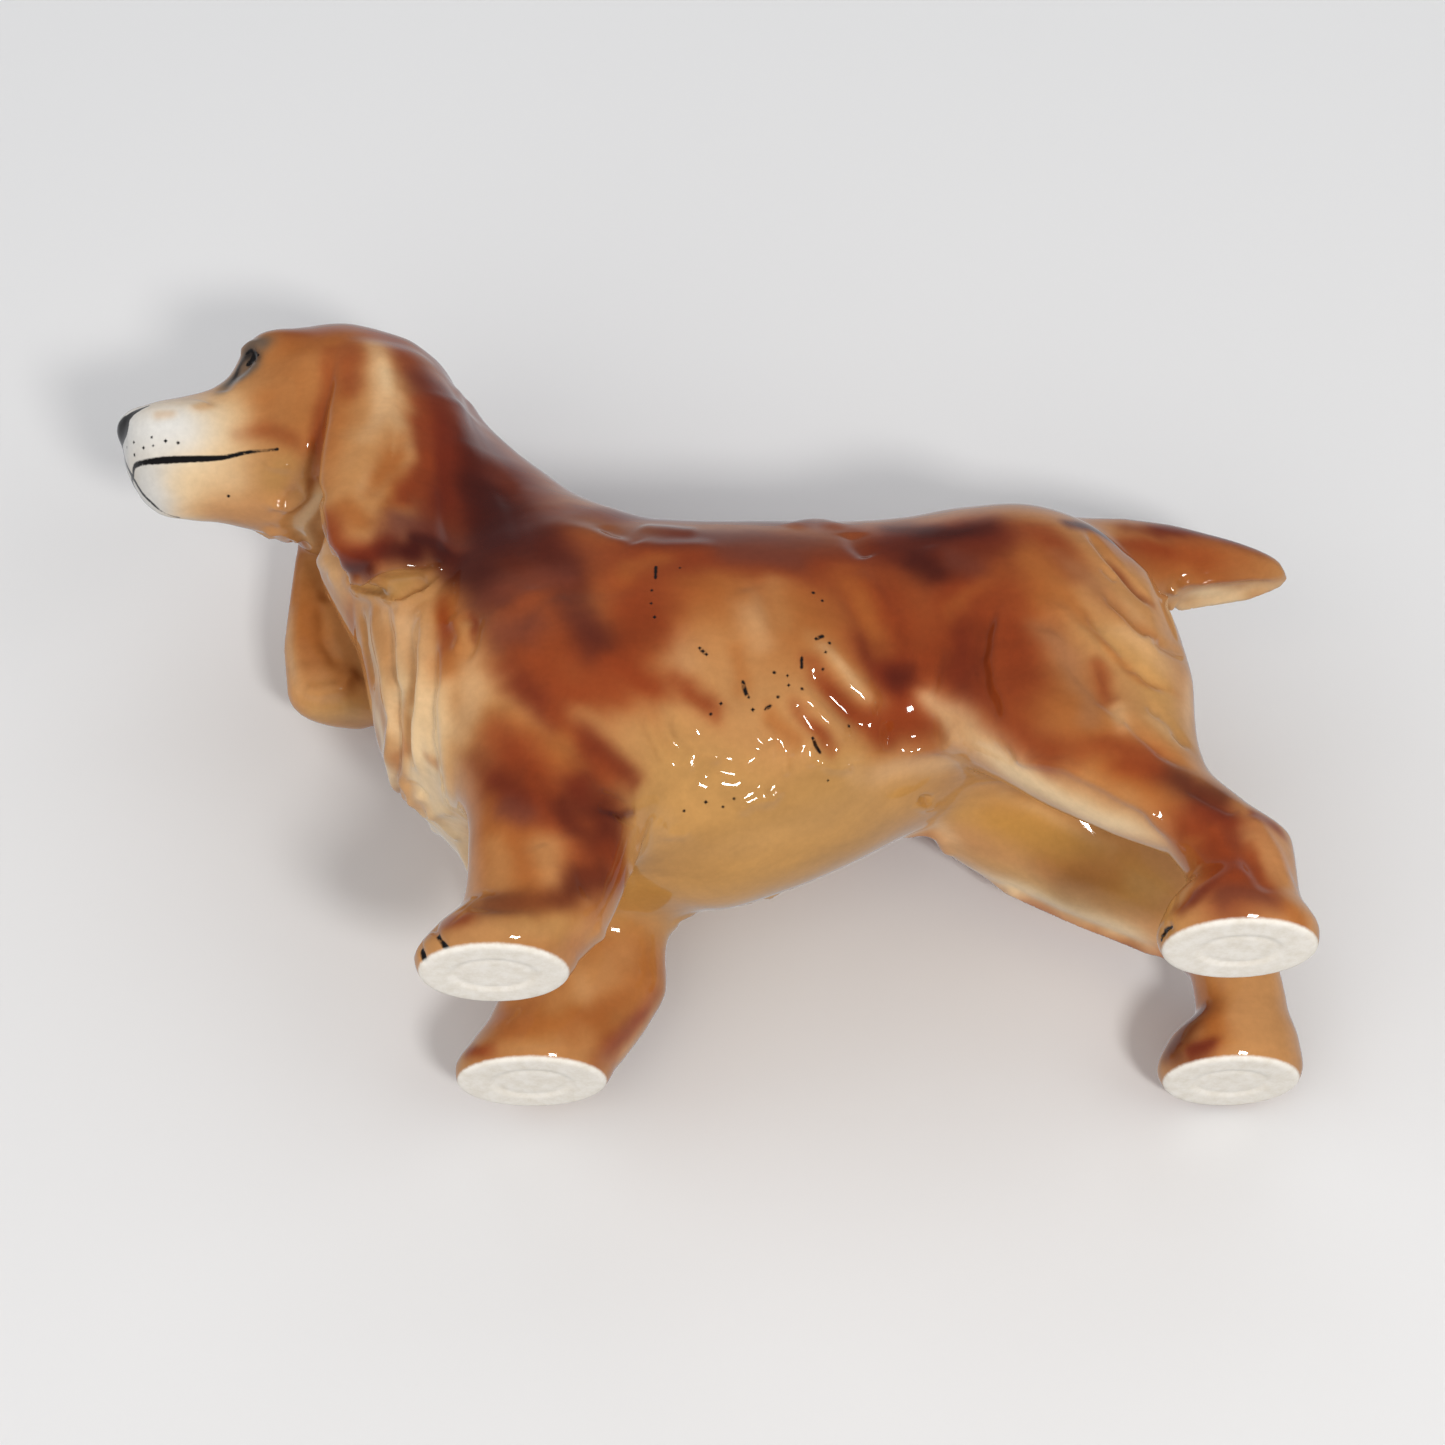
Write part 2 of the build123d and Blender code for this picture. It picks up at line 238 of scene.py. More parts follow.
# every shape: part it belongs to, how softly it melts into the rest (mm), the shape
SHAPES = [
    ("body_shell", 0.0, Stack((0, 0, 0), Y, X, UP, TRUNK)),
    ("body_shell", 9.0, Stack((0, 0, 0), NT, X, NB, NECK)),
    # shoulders and forechest
    ("body_shell", 9.0, Egg((14.5, -22, 52), (10.5, 15, 21), **ax_rot(0, -10, 0))),
    ("body_shell", 9.0, Egg((-14.5, -21, 52), (10.5, 15, 21), **ax_rot(0, -10, 0))),
    ("body_shell", 8.0, Egg((0, -35.6, 56.5), (12.0, 10.3, 16.2), **ax_rot(0, 14, 0))),
    ("body_shell", 8.0, Egg((9.5, -29.6, 49.5), (8.5, 8.8, 13.0), **ax_rot(0, 10, 0))),
    ("body_shell", 8.0, Egg((-9.5, -29.6, 49.5), (8.5, 8.8, 13.0), **ax_rot(0, 10, 0))),
    # haunches
    ("body_shell", 10.0, Egg((11.5, 56, 60), (11.0, 16, 20), **ax_rot(0, 14, 0))),
    ("body_shell", 10.0, Egg((-11.5, 56, 60), (11.0, 16, 20), **ax_rot(0, 14, 0))),
    # head, brows, nose, cheeks
    ("head_shell", 6.0, Stack(PIV, FWD, ASD, UP, HEAD)),
    ("head_shell", 4.0, Egg(hp(6.0, 23.2, 117.8), (6.2, 5.2, 4.8), ax=ASD, ay=FWD)),
    ("head_shell", 4.0, Egg(hp(-6.0, 23.2, 117.8), (6.2, 5.2, 4.8), ax=ASD, ay=FWD)),
    ("head_shell", 1.2, Egg(hp(0, 44.6, 104.4), (4.0, 2.7, 2.5), ax=ASD, ay=FWD)),
    ("head_shell", 4.0, Egg(hp(9.5, 13.5, 101.0), (6.5, 8.5, 7.4), ax=ASD, ay=FWD)),
    ("head_shell", 4.0, Egg(hp(-9.5, 13.5, 101.0), (6.5, 8.5, 7.4), ax=ASD, ay=FWD)),
    # flews
    ("head_shell", 2.5, Egg(hp(5.2, 34.5, 101.8), (4.6, 9.0, 4.6), ax=ASD, ay=FWD)),
    ("head_shell", 2.5, Egg(hp(-5.2, 34.5, 101.8), (4.6, 9.0, 4.6), ax=ASD, ay=FWD)),
    # tail
    ("tail", 5.0, Stack((0, 0, 0), Y, X, UP, TAIL)),
]
for _n, _r in LEGS.items():
    SHAPES.append((_n, 9.0 if "front" in _n else 8.0, Stack((0, 0, 0), UP, X, Y, [(-6.0,) + _r[0][1:]] + _r)))
for _s, _n, _rows in ((1, "left_ear", EAR), (-1, "right_ear", EAR_FAR)):
    SHAPES.append((_n, 2.6, Stack(PIV, UP, ASD, FWD, [(z, _s * a, d, th, ln) for z, a, d, th, ln in _rows], rim=4.0)))
    # the back of the ear runs into the neck
    SHAPES.append((_n, 8.0, Rope([hp(_s * 12.0, 0.5, 111), hp(_s * 15.0, -3.0, 102), hp(_s * 17.0, -5.5, 92), hp(_s * 17.5, -5.0, 83)],
                                 (2.0, 4.0, 5.2, 3.6))))

PARTS = ["body_shell", "head_shell", "left_ear", "right_ear", "tail"] + list(LEGS)


def smin(a, b, k):
    if k <= 0:
        return np.minimum(a, b)
    h = np.maximum(k - np.abs(a - b), 0) / k
    return np.minimum(a, b) - h * h * k * 0.25


FAR = 30.0


def field(P, want_parts=False):
    """Distance to the figurine's skin at points P (n, 3)."""
    f = np.full(len(P), FAR)
    parts = np.full((len(PARTS), len(P)), FAR) if want_parts else None
    for part, k, shape in SHAPES:
        m = k + 4.0
        inside = np.all((P > shape.lo - m) & (P < shape.hi + m), axis=1)
        idx = np.nonzero(inside)[0]
        if not len(idx):
            continue
        d = shape(P[idx])
        f[idx] = smin(f[idx], d, k)
        if want_parts:
            j = PARTS.index(part)
            parts[j, idx] = np.minimum(parts[j, idx], d)
    f = -smin(-f, P[:, 2] + 0.0, 0.9)           # the soles are ground flat
    return (f, parts) if want_parts else f


def grid_field(lo, hi, h):
    n = np.ceil((hi - lo) / h).astype(int) + 1
    ax = [lo[i] + h * np.arange(n[i]) for i in range(3)]
    f = np.full(n, FAR)
    for part, k, shape in SHAPES:
        m = k + 4.0
        s = []
        for i in range(3):
            a = max(0, int(np.floor((shape.lo[i] - m - lo[i]) / h)))
            b = min(n[i], int(np.ceil((shape.hi[i] + m - lo[i]) / h)) + 1)
            s.append(slice(a, b))
        s = tuple(s)
        G = np.stack(np.meshgrid(ax[0][s[0]], ax[1][s[1]], ax[2][s[2]], indexing="ij"), -1)
        d = shape(G.reshape(-1, 3)).reshape(G.shape[:3])
        f[s] = smin(f[s], d, k)
    z = np.broadcast_to(ax[2][None, None, :], f.shape)
    return -smin(-f, z, 0.9), ax


def surface_nets(f, ax):
    """Quad mesh of the zero level of f."""
    s = f < 0
    n = np.array(f.shape)
    cs = n - 1
    inside = np.zeros(cs, np.int8)
    for dx in (0, 1):
        for dy in (0, 1):
            for dz in (0, 1):
                inside += s[dx:dx + cs[0], dy:dy + cs[1], dz:dz + cs[2]]
    act = (inside > 0) & (inside < 8)
    ci = np.argwhere(act)
    vid = np.full(cs, -1, np.int64)
    vid[act] = np.arange(len(ci))
    acc = np.zeros((len(ci), 3)); cnt = np.zeros(len(ci))
    corners = [(dx, dy, dz) for dx in (0, 1) for dy in (0, 1) for dz in (0, 1)]
    vals = {c: f[ci[:, 0] + c[0], ci[:, 1] + c[1], ci[:, 2] + c[2]] for c in corners}
    for c in corners:
        for k in range(3):
            if c[k]:
                continue
            d = list(c); d[k] = 1; d = tuple(d)
            a, b = vals[c], vals[d]
            m = (a < 0) != (b < 0)
            t = a[m] / (a[m] - b[m])
            p = np.tile(np.array(c, float), (m.sum(), 1)); p[:, k] += t
            acc[m] += p; cnt[m] += 1
    V = ci + acc / cnt[:, None]
    h = ax[0][1] - ax[0][0]
    V = np.array([a[0] for a in ax]) + V * h
    quads = []
    for k in range(3):
        u, v = [i for i in range(3) if i != k]
        sl0 = [slice(None)] * 3; sl1 = [slice(None)] * 3
        sl0[k] = slice(0, -1); sl1[k] = slice(1, None)
        a, b = s[tuple(sl0)], s[tuple(sl1)]
        e = np.argwhere(a != b)
        e = e[(e[:, u] > 0) & (e[:, v] > 0) & (e[:, u] < n[u] - 1) & (e[:, v] < n[v] - 1)]
        flip = a[e[:, 0], e[:, 1], e[:, 2]]
        def cell(du, dv):
            q = e.copy(); q[:, u] -= du; q[:, v] -= dv
            return vid[q[:, 0], q[:, 1], q[:, 2]]
        q = np.stack([cell(1, 1), cell(0, 1), cell(0, 0), cell(1, 0)], 1)
        if k == 1:
            flip = ~flip
        q[~flip] = q[~flip][:, ::-1]
        quads.append(q)
    return V, np.concatenate(quads)


def vnormals(V, Q):
    A, B, C, D = (V[Q[:, i]] for i in range(4))
    fn = np.cross(C - A, D - B)
    N = np.zeros_like(V)
    for i in range(4):
        for c in range(3):
            N[:, c] += np.bincount(Q[:, i], fn[:, c], len(V))
    return N / (np.linalg.norm(N, axis=1)[:, None] + 1e-12)


def project(V, steps=2):
    e = 0.05
    for _ in range(steps):
        f = field(V)
        g = np.stack([field(V + e * d) - f for d in np.eye(3)], 1) / e
        g2 = (g * g).sum(1) + 1e-6
        V = V - np.clip(f / g2, -0.8, 0.8)[:, None] * g
    return V


def edges_of(Q):
    E = np.concatenate([Q[:, [0, 1]], Q[:, [1, 2]], Q[:, [2, 3]], Q[:, [3, 0]]])
    E.sort(axis=1)
    key = E[:, 0] * (Q.max() + 1) + E[:, 1]
    uk, first, inv = np.unique(key, return_index=True, return_inverse=True)
    return E[first], inv.reshape(4, -1).T


def relax(V, Q, amount=0.5, rounds=2):
    E, _ = edges_of(Q)
    deg = np.bincount(E.ravel(), minlength=len(V)).astype(float)
    for _ in range(rounds):
        A = np.zeros_like(V)
        for c in range(3):
            A[:, c] = np.bincount(E[:, 0], V[E[:, 1], c], len(V)) + np.bincount(E[:, 1], V[E[:, 0], c], len(V))
        A /= deg[:, None]
        N = vnormals(V, Q)
        D = A - V
        D -= (D * N).sum(1)[:, None] * N
        V = V + amount * D
    return V


def subdivide(V, Q):
    E, fe = edges_of(Q)
    mid = V[E].mean(1); cen = V[Q].mean(1)
    n0, n1 = len(V), len(V) + len(E)
    fi = n1 + np.arange(len(Q))
    W = np.concatenate([V, mid, cen])
    out = []
    for i in range(4):
        out.append(np.stack([Q[:, i], n0 + fe[:, i], fi, n0 + fe[:, (i + 3) % 4]], 1))
    return W, np.concatenate(out)


def soften(V, Q, rounds=8):
    """Evens out creases between shapes, with the soles kept flat."""
    E, _ = edges_of(Q)
    deg = np.bincount(E.ravel(), minlength=len(V)).astype(float)
    keep = smooth(V[:, 2] / 2.5)[:, None]
    for r in range(rounds):
        A = np.zeros_like(V)
        for c in range(3):
            A[:, c] = np.bincount(E[:, 0], V[E[:, 1], c], len(V)) + np.bincount(E[:, 1], V[E[:, 0], c], len(V))
        A /= deg[:, None]
        V = V + (0.55 if r % 2 == 0 else -0.35) * (A - V) * keep
    return V


def build_skin():
    lo = np.array([-36.0, -100.0, -3.0]); hi = np.array([37.0, 101.0, 135.0])
    f, ax = grid_field(lo, hi, GRID)
    V, Q = surface_nets(f, ax)
    V = project(V, 2)
    V = project(relax(V, Q, 0.6, 4), 1)
    V, Q = subdivide(V, Q)
    V = project(V, 2)
    V = project(relax(V, Q, 0.5, 2), 1)
    V = soften(V, Q, 14)
    return V, Q


# ------------------------------------------------------------------------------
# strokes: relief and airbrush, both laid along lines in space
# ------------------------------------------------------------------------------
def line_distance(P, pts, reach):
    """Distance of points P to a polyline, FAR where further than reach, and how far along it is."""
    pts = np.asarray(pts, float)
    d = np.full(len(P), 1e3); along = np.zeros(len(P))
    lo, hi = pts.min(0) - reach, pts.max(0) + reach
    idx = np.nonzero(np.all((P > lo) & (P < hi), axis=1))[0]
    if not len(idx):
        return d, along
    p = P[idx]
    if len(pts) == 1:
        d[idx] = np.sqrt(((p - pts[0]) ** 2).sum(1)); return d, along
    seg = np.sqrt(((pts[1:] - pts[:-1]) ** 2).sum(1)); cum = np.r_[0, np.cumsum(seg)]
    best = np.full(len(p), 1e3); al = np.zeros(len(p))
    for i in range(len(pts) - 1):
        a, b = pts[i], pts[i + 1]; ab = b - a
        t = np.clip(((p - a) @ ab) / max(ab @ ab, 1e-9), 0, 1)
        q = np.sqrt(((p - a - t[:, None] * ab) ** 2).sum(1))
        m = q < best
        best[m] = q[m]; al[m] = (cum[i] + t[m] * seg[i]) / cum[-1]
    d[idx] = best; along[idx] = al
    return d, along


def smooth(x):
    x = np.clip(x, 0, 1)
    return x * x * (3 - 2 * x)


def curve(pts, n=6):
    """Catmull-Rom through the given points."""
    pts = np.asarray(pts, float)
    if len(pts) < 3:
        return pts
    q = np.vstack([2 * pts[0] - pts[1], pts, 2 * pts[-1] - pts[-2]])
    out = []
    for i in range(1, len(q) - 2):
        for t in np.linspace(0, 1, n, endpoint=False):
            a, b, c, d = q[i - 1], q[i], q[i + 1], q[i + 2]
            out.append(0.5 * ((2 * b) + (c - a) * t + (2 * a - 5 * b + 4 * c - d) * t**2 + (3 * b - a - 3 * c + d) * t**3))
    out.append(q[-2])
    return np.array(out)


# relief: amount in mm (minus is a groove), half width in mm, the line's points
RELIEF = [
    (0.8, 1.7, [(12.1, -49.4, 70.0), (12.1, -48.9, 67.5), (11.8, -48.6, 65.2), (11.7, -48.2, 62.6), (11.9, -47.6, 59.9), (12.2, -47.0, 57.4), (12.0, -46.5, 55.0), (11.4, -46.2, 52.9), (11.0, -45.7, 50.7), (10.4, -45.3, 48.7), (8.1, -45.7, 47.0), (5.5, -46.2, 45.8), (0.2, -47.1, 45.8)]),
    (0.8, 1.7, [(-12.0, -49.4, 69.7), (-12.1, -48.8, 67.3), (-11.9, -48.6, 65.1), (-11.6, -48.3, 62.6), (-11.9, -47.6, 59.8), (-12.0, -47.1, 57.3), (-12.0, -46.5, 54.9), (-11.6, -46.2, 53.1), (-11.1, -45.6, 50.7), (-10.2, -45.3, 48.6), (-8.1, -45.7, 47.0), (-5.5, -46.1, 45.7), (-0.3, -47.1, 45.8)]),
    (0.8, 1.7, [(16.7, -44.5, 65.7), (16.3, -44.2, 62.5), (16.0, -43.9, 59.6), (15.5, -43.9, 56.8), (15.2, -43.6, 53.8), (14.8, -43.3, 51.1)]),
    (0.8, 1.7, [(-16.7, -44.5, 65.8), (-16.4, -44.1, 62.7), (-16.0, -43.9, 59.5), (-15.5, -43.8, 56.9), (-15.1, -43.5, 53.8), (-14.8, -43.1, 51.0)]),
    (0.8, 1.7, [(19.6, -40.1, 62.6), (19.9, -39.9, 60.0), (20.1, -39.6, 57.4), (19.8, -39.8, 55.3), (19.7, -39.7, 52.7), (19.2, -39.7, 50.6), (18.5, -40.0, 48.9), (17.3, -40.2, 46.6), (15.4, -40.7, 44.8), (13.5, -40.9, 43.1), (10.7, -41.0, 41.3), (8.1, -40.7, 40.0)]),
    (0.8, 1.7, [(-19.6, -40.0, 62.6), (-19.8, -39.7, 60.0), (-19.9, -39.4, 57.4), (-19.6, -39.6, 55.2), (-19.5, -39.4, 52.7), (-19.1, -39.5, 50.7), (-18.3, -39.7, 48.9), (-17.2, -39.9, 46.6), (-15.2, -40.4, 44.8), (-13.4, -40.7, 43.2), (-10.8, -40.8, 41.5), (-8.1, -40.7, 40.1)]),
    (0.6, 2, [(22.6, -35.8, 51.6), (22.3, -35.9, 49.5), (21.8, -36.0, 47.3), (21.0, -36.3, 45.3), (20.4, -36.1, 43.0), (19.9, -35.8, 40.8), (18.8, -35.8, 38.7), (17.6, -35.6, 36.8), (15.9, -35.4, 34.9), (11.8, -35.5, 34.2), (4.4, -36.1, 35.6)]),
    (0.6, 2, [(-22.5, -35.5, 51.5), (-22.1, -35.6, 49.5), (-21.6, -35.7, 47.5), (-20.8, -36.0, 45.3), (-20.1, -35.8, 43.0), (-19.7, -35.4, 41.0), (-18.5, -35.3, 38.9), (-17.3, -35.0, 37.1), (-15.5, -34.7, 35.3), (-11.8, -35.0, 34.8), (-4.5, -36.1, 35.7)]),
    (-0.9, 1.4, [(15.1, -46.5, 66.7), (14.8, -46.4, 63.7), (14.8, -45.7, 60.5), (14.3, -45.3, 57.7), (13.9, -44.9, 54.8), (13.5, -44.5, 52.2), (12.5, -44.5, 50.1), (11.1, -44.6, 48.2), (9.5, -44.6, 46.4), (7.1, -44.9, 44.8), (3.9, -45.4, 43.7), (-1.4, -46.1, 44.0)]),
    (-0.9, 1.4, [(-15.1, -46.6, 66.8), (-14.9, -46.3, 63.6), (-14.9, -45.7, 60.8), (-14.4, -45.3, 57.9), (-13.8, -44.9, 54.8), (-13.5, -44.4, 52.1), (-12.4, -44.4, 50.0), (-11.0, -44.6, 48.2), (-9.5, -44.6, 46.5), (-7.1, -44.9, 44.8), (-3.9, -45.4, 43.8), (1.3, -46.1, 44.0)]),
    (-0.8, 1.4, [(17.7, -42.4, 61.1), (17.5, -42.3, 58.4), (17.7, -41.9, 55.8), (17.5, -41.7, 53.2), (17.0, -41.6, 50.5), (16.0, -41.6, 47.9), (14.1, -42.1, 46.2), (12.4, -42.3, 44.7), (10.5, -42.4, 43.4), (8.0, -42.9, 42.6), (4.9, -43.6, 41.9)]),
    (-0.8, 1.4, [(-17.6, -42.3, 61.0), (-17.5, -42.1, 58.4), (-17.6, -41.7, 55.7), (-17.4, -41.5, 53.2), (-16.8, -41.4, 50.4), (-15.9, -41.4, 48.2), (-14.0, -41.9, 46.3), (-12.2, -42.3, 44.9), (-10.5, -42.3, 43.5), (-8.2, -42.8, 42.7), (-5.0, -43.5, 41.9)]),
    (-0.6, 1.5, [(21.1, -38.4, 56.3), (21.2, -38.0, 53.2), (20.9, -37.9, 50.3), (20.4, -37.7, 47.4), (19.2, -38.1, 45.2), (18.2, -38.1, 43.1), (16.4, -38.4, 41.2), (15.1, -37.8, 38.9), (12.8, -37.4, 37.1)]),
    (-0.6, 1.5, [(-20.9, -38.2, 56.3), (-21.0, -37.8, 53.2), (-20.4, -37.9, 50.2), (-20.2, -37.4, 47.5), (-19.0, -37.8, 45.3), (-17.8, -37.8, 43.1), (-16.2, -38.0, 41.3), (-14.9, -37.4, 39.1), (-12.9, -37.0, 37.4)]),
    (-0.8, 1.2, [(8.6, -51.8, 70.0), (8.2, -51.4, 67.8), (7.9, -51.0, 65.8), (7.2, -50.8, 63.7), (7.5, -50.1, 61.0), (7.4, -49.6, 58.6), (7.0, -49.2, 56.4)]),
    (-0.8, 1.2, [(-8.7, -51.7, 70.0), (-8.2, -51.4, 67.9), (-8.1, -50.9, 65.8), (-7.1, -50.9, 63.7), (-7.6, -50.1, 61.1), (-7.6, -49.6, 58.7), (-7.1, -49.1, 56.3)]),
    (0.55, 1.2, [(-2.6, -45.3, 43.2), (-0.3, -43.0, 40.4), (4.4, -40.7, 39.0)]),
    (0.55, 1.2, [(2.7, -45.3, 43.2), (0.2, -43.0, 40.4), (-4.5, -40.6, 39.0)]),
    (-0.5, 1.1, [(2.7, -43.9, 41.6), (4.4, -41.5, 39.8), (3.4, -39.9, 38.2)]),
    (-0.5, 1.1, [(-3.0, -43.8, 41.6), (-4.5, -41.5, 39.8), (-3.4, -39.9, 38.2)]),
    (0.6, 1.2, [(-1.3, -40.4, 38.4), (3.4, -37.2, 36.3), (2.9, -35.8, 35.5)]),
    (0.6, 1.2, [(1.3, -40.4, 38.4), (-3.5, -37.1, 36.3), (-2.9, -35.8, 35.5)]),
    (-0.9, 1.5, [(19.3, -57.5, 115.7), (20.0, -57.5, 112.4), (20.1, -58.0, 109.3), (20.3, -58.0, 106.7), (20.4, -58.3, 103.6), (20.1, -58.7, 100.5), (19.4, -59.2, 98.2), (18.4, -59.2, 96.5), (16.8, -59.6, 94.8), (14.9, -60.1, 93.6), (12.6, -60.1, 92.7), (23.6, -57.3, 82.1), (23.9, -57.1, 79.2), (24.3, -56.4, 76.3), (23.8, -55.8, 74.0), (23.3, -55.1, 71.9), (22.3, -54.1, 70.3), (7.0, -56.2, 78.6)]),
    (-0.9, 1.5, [(-11.3, -66.4, 115.6), (-11.8, -66.7, 112.4), (-11.6, -67.2, 109.3), (-11.7, -67.3, 106.7), (-11.9, -67.5, 103.5), (-11.3, -67.8, 100.4), (-10.6, -67.6, 98.1), (-9.7, -67.3, 96.6), (-8.2, -66.9, 94.9), (-6.2, -66.1, 93.6), (-4.1, -64.8, 92.8), (-23.3, -57.4, 81.9), (-23.9, -56.9, 79.4), (-24.7, -56.4, 76.2), (-25.1, -55.9, 74.2), (-25.3, -55.4, 72.1), (-23.9, -53.8, 68.4), (-6.8, -56.2, 78.4)]),
    (0.55, 2.6, [(18.1, -50.1, 116.6), (19.5, -49.4, 112.7), (20.3, -49.1, 109.4), (21.1, -48.0, 105.6), (22.0, -47.5, 101.4), (22.8, -47.1, 97.1), (23.7, -48.4, 93.7), (24.5, -49.6, 89.9), (25.0, -50.2, 87.7), (25.4, -51.2, 85.7), (25.8, -51.7, 83.2)]),
    (0.55, 2.6, [(-14.5, -59.5, 116.7), (-15.9, -59.8, 112.6), (-16.9, -59.8, 109.3), (-18.1, -59.4, 105.5), (-19.2, -59.4, 101.3), (-20.0, -59.3, 97.4), (-20.1, -60.9, 93.6), (-20.1, -62.3, 90.2), (-24.5, -50.3, 87.5), (-24.4, -51.2, 85.7), (-24.6, -51.6, 83.1)]),
    (-0.45, 2, [(23.0, -45.4, 94.1), (23.8, -46.2, 90.7), (24.6, -46.9, 86.8), (25.3, -47.5, 83.6), (26.2, -48.6, 79.9)]),
    (-0.45, 2, [(-21.0, -58.2, 94.2), (-21.2, -59.3, 90.7), (-24.4, -47.1, 86.7), (-24.6, -47.8, 83.6), (-24.7, -48.6, 80.0)]),
    (-0.35, 1.8, [(20.4, -54.3, 111.5), (20.9, -54.3, 108.6), (21.8, -53.7, 105.1), (22.5, -53.8, 101.6), (23.1, -53.7, 98.8), (23.7, -53.7, 95.3), (24.2, -54.2, 92.5)]),
    (-0.35, 1.8, [(-13.9, -64.2, 111.7), (-14.5, -64.3, 108.8), (-15.6, -64.4, 105.2), (-16.2, -65.0, 101.6), (-16.8, -65.1, 98.8), (-17.3, -65.4, 95.5), (-17.2, -66.2, 92.3)]),
    (0.4, 2, [(22.8, -43.2, 93.1), (23.1, -42.8, 90.4), (23.5, -42.7, 87.3), (23.9, -42.6, 84.3), (24.6, -43.2, 81.6), (25.2, -43.4, 78.9), (26.1, -44.0, 76.2)]),
    (0.4, 2, [(-22.1, -56.1, 93.1), (-22.5, -56.1, 90.4), (-22.3, -43.8, 87.3), (-22.5, -44.2, 84.7), (-23.1, -45.0, 81.6), (-23.2, -45.5, 79.8), (-23.3, -46.5, 77.6)]),
    (-0.4, 2, [(26.4, -48.1, 78.9), (27.0, -48.2, 76.0), (27.5, -48.5, 73.6), (27.7, -48.0, 71.1), (27.0, -47.5, 69.0)]),
    (-0.4, 2, [(-24.6, -48.3, 78.9), (-24.4, -49.0, 76.2), (-24.5, -49.8, 73.9), (-24.3, -49.9, 71.5), (-23.8, -49.7, 70.6)]),
    (-0.7, 2.6, [(20.4, -41.6, 103.1), (21.2, -40.7, 98.8), (21.8, -39.8, 95.0), (22.2, -38.6, 91.5), (22.2, -38.1, 88.4), (22.3, -37.6, 84.7), (22.3, -37.0, 81.5), (22.2, -36.6, 78.9), (22.0, -36.2, 76.3), (22.1, -36.0, 73.1)]),
    (-0.7, 2.6, [(-20.9, -53.3, 103.1), (-21.9, -53.3, 98.9), (-23.0, -52.7, 95.2), (-24.0, -51.7, 91.5), (-24.2, -51.3, 88.4), (-18.4, -37.0, 84.0), (-19.3, -36.2, 80.8), (-19.9, -36.0, 78.4), (-20.5, -35.7, 76.2), (-21.1, -35.5, 73.1)]),
    (1.25, 0.9, [(7.7, -54.9, 76.7), (20.4, -51.0, 68.5), (21.2, -49.6, 67.7), (23.3, -48.0, 67.4), (24.4, -46.4, 67.5), (24.9, -44.9, 67.6), (24.9, -43.2, 67.8), (24.3, -40.7, 68.1), (23.5, -38.4, 68.8), (22.1, -36.5, 68.4)]),
    (1.25, 0.9, [(-7.7, -54.9, 76.7), (-20.3, -50.8, 68.1), (-21.2, -50.3, 68.4), (-22.5, -49.5, 69.4), (-22.6, -49.3, 69.6), (-22.5, -48.7, 70.3), (-19.4, -40.4, 67.9), (-20.3, -38.6, 67.9), (-21.0, -37.2, 68.4), (-21.5, -36.2, 68.4)]),
    (1.25, 0.9, [(21.9, -36.5, 67.8), (21.3, -38.1, 66.7), (20.2, -39.3, 65.6), (19.1, -41.2, 65.7), (17.7, -43.1, 65.5), (16.7, -45.3, 66.7), (14.0, -47.6, 68.9), (11.6, -50.0, 71.0), (9.7, -52.1, 73.1), (8.0, -54.1, 75.5)]),
    (1.25, 0.9, [(-21.6, -36.2, 67.9), (-20.8, -37.9, 66.8), (-20.0, -39.3, 65.8), (-19.0, -41.0, 65.8), (-17.6, -43.2, 65.3), (-16.5, -45.2, 66.8), (-14.0, -47.6, 69.0), (-11.6, -50.0, 71.1), (-9.6, -52.1, 73.2), (-8.0, -54.2, 75.7)]),
    (-0.8, 2.2, [(20.2, -47.0, 67.4), (20.5, -45.2, 67.4), (20.8, -43.7, 67.3), (21.1, -41.7, 67.3), (21.8, -39.7, 67.3)]),
    (-0.8, 2.2, [(-20.4, -49.4, 69.2), (-17.6, -43.4, 67.3), (-18.3, -42.4, 67.4), (-19.2, -40.7, 67.4), (-20.1, -39.0, 67.3)]),
    (0.6, 2.4, [(25.4, -30.2, 53.2), (25.9, -28.9, 54.9), (26.3, -27.4, 56.9), (26.7, -24.9, 58.4), (26.8, -22.8, 60.0), (26.9, -21.2, 60.6), (26.8, -19.1, 61.6), (26.6, -17.6, 62.6)]),
    (0.6, 2.4, [(-25.3, -29.9, 53.2), (-25.7, -29.0, 54.7), (-26.1, -27.6, 56.9), (-26.6, -25.1, 58.5), (-26.8, -22.8, 60.0), (-26.9, -21.2, 60.5), (-26.9, -19.2, 61.5), (-26.7, -17.6, 62.4)]),
    (0.5, 2, [(27.2, -23.1, 51.6), (27.3, -21.7, 54.2), (27.2, -20.7, 56.8), (27.2, -18.6, 57.9), (27.1, -16.5, 58.8)]),
    (0.5, 2, [(-27.1, -23.3, 51.6), (-27.3, -21.8, 54.2), (-27.3, -20.7, 56.9), (-27.3, -18.6, 57.9), (-27.2, -16.5, 59.0)]),
    (-0.7, 1.2, [(24.4, -33.3, 58.9), (25.3, -31.1, 56.3), (25.2, -31.1, 54.8), (25.0, -31.4, 53.1), (24.6, -32.0, 51.6), (24.2, -32.6, 50.0)]),
    (-0.7, 1.2, [(-24.2, -33.1, 59.0), (-25.0, -31.2, 56.3), (-24.9, -31.1, 54.8), (-24.9, -31.1, 53.2), (-24.5, -31.8, 51.5), (-24.0, -32.3, 50.0)]),
    (0.6, 1.5, [(23.6, -34.7, 59.0), (24.0, -34.0, 56.8), (24.3, -33.2, 54.8), (24.1, -33.6, 53.3), (23.6, -34.1, 51.5)]),
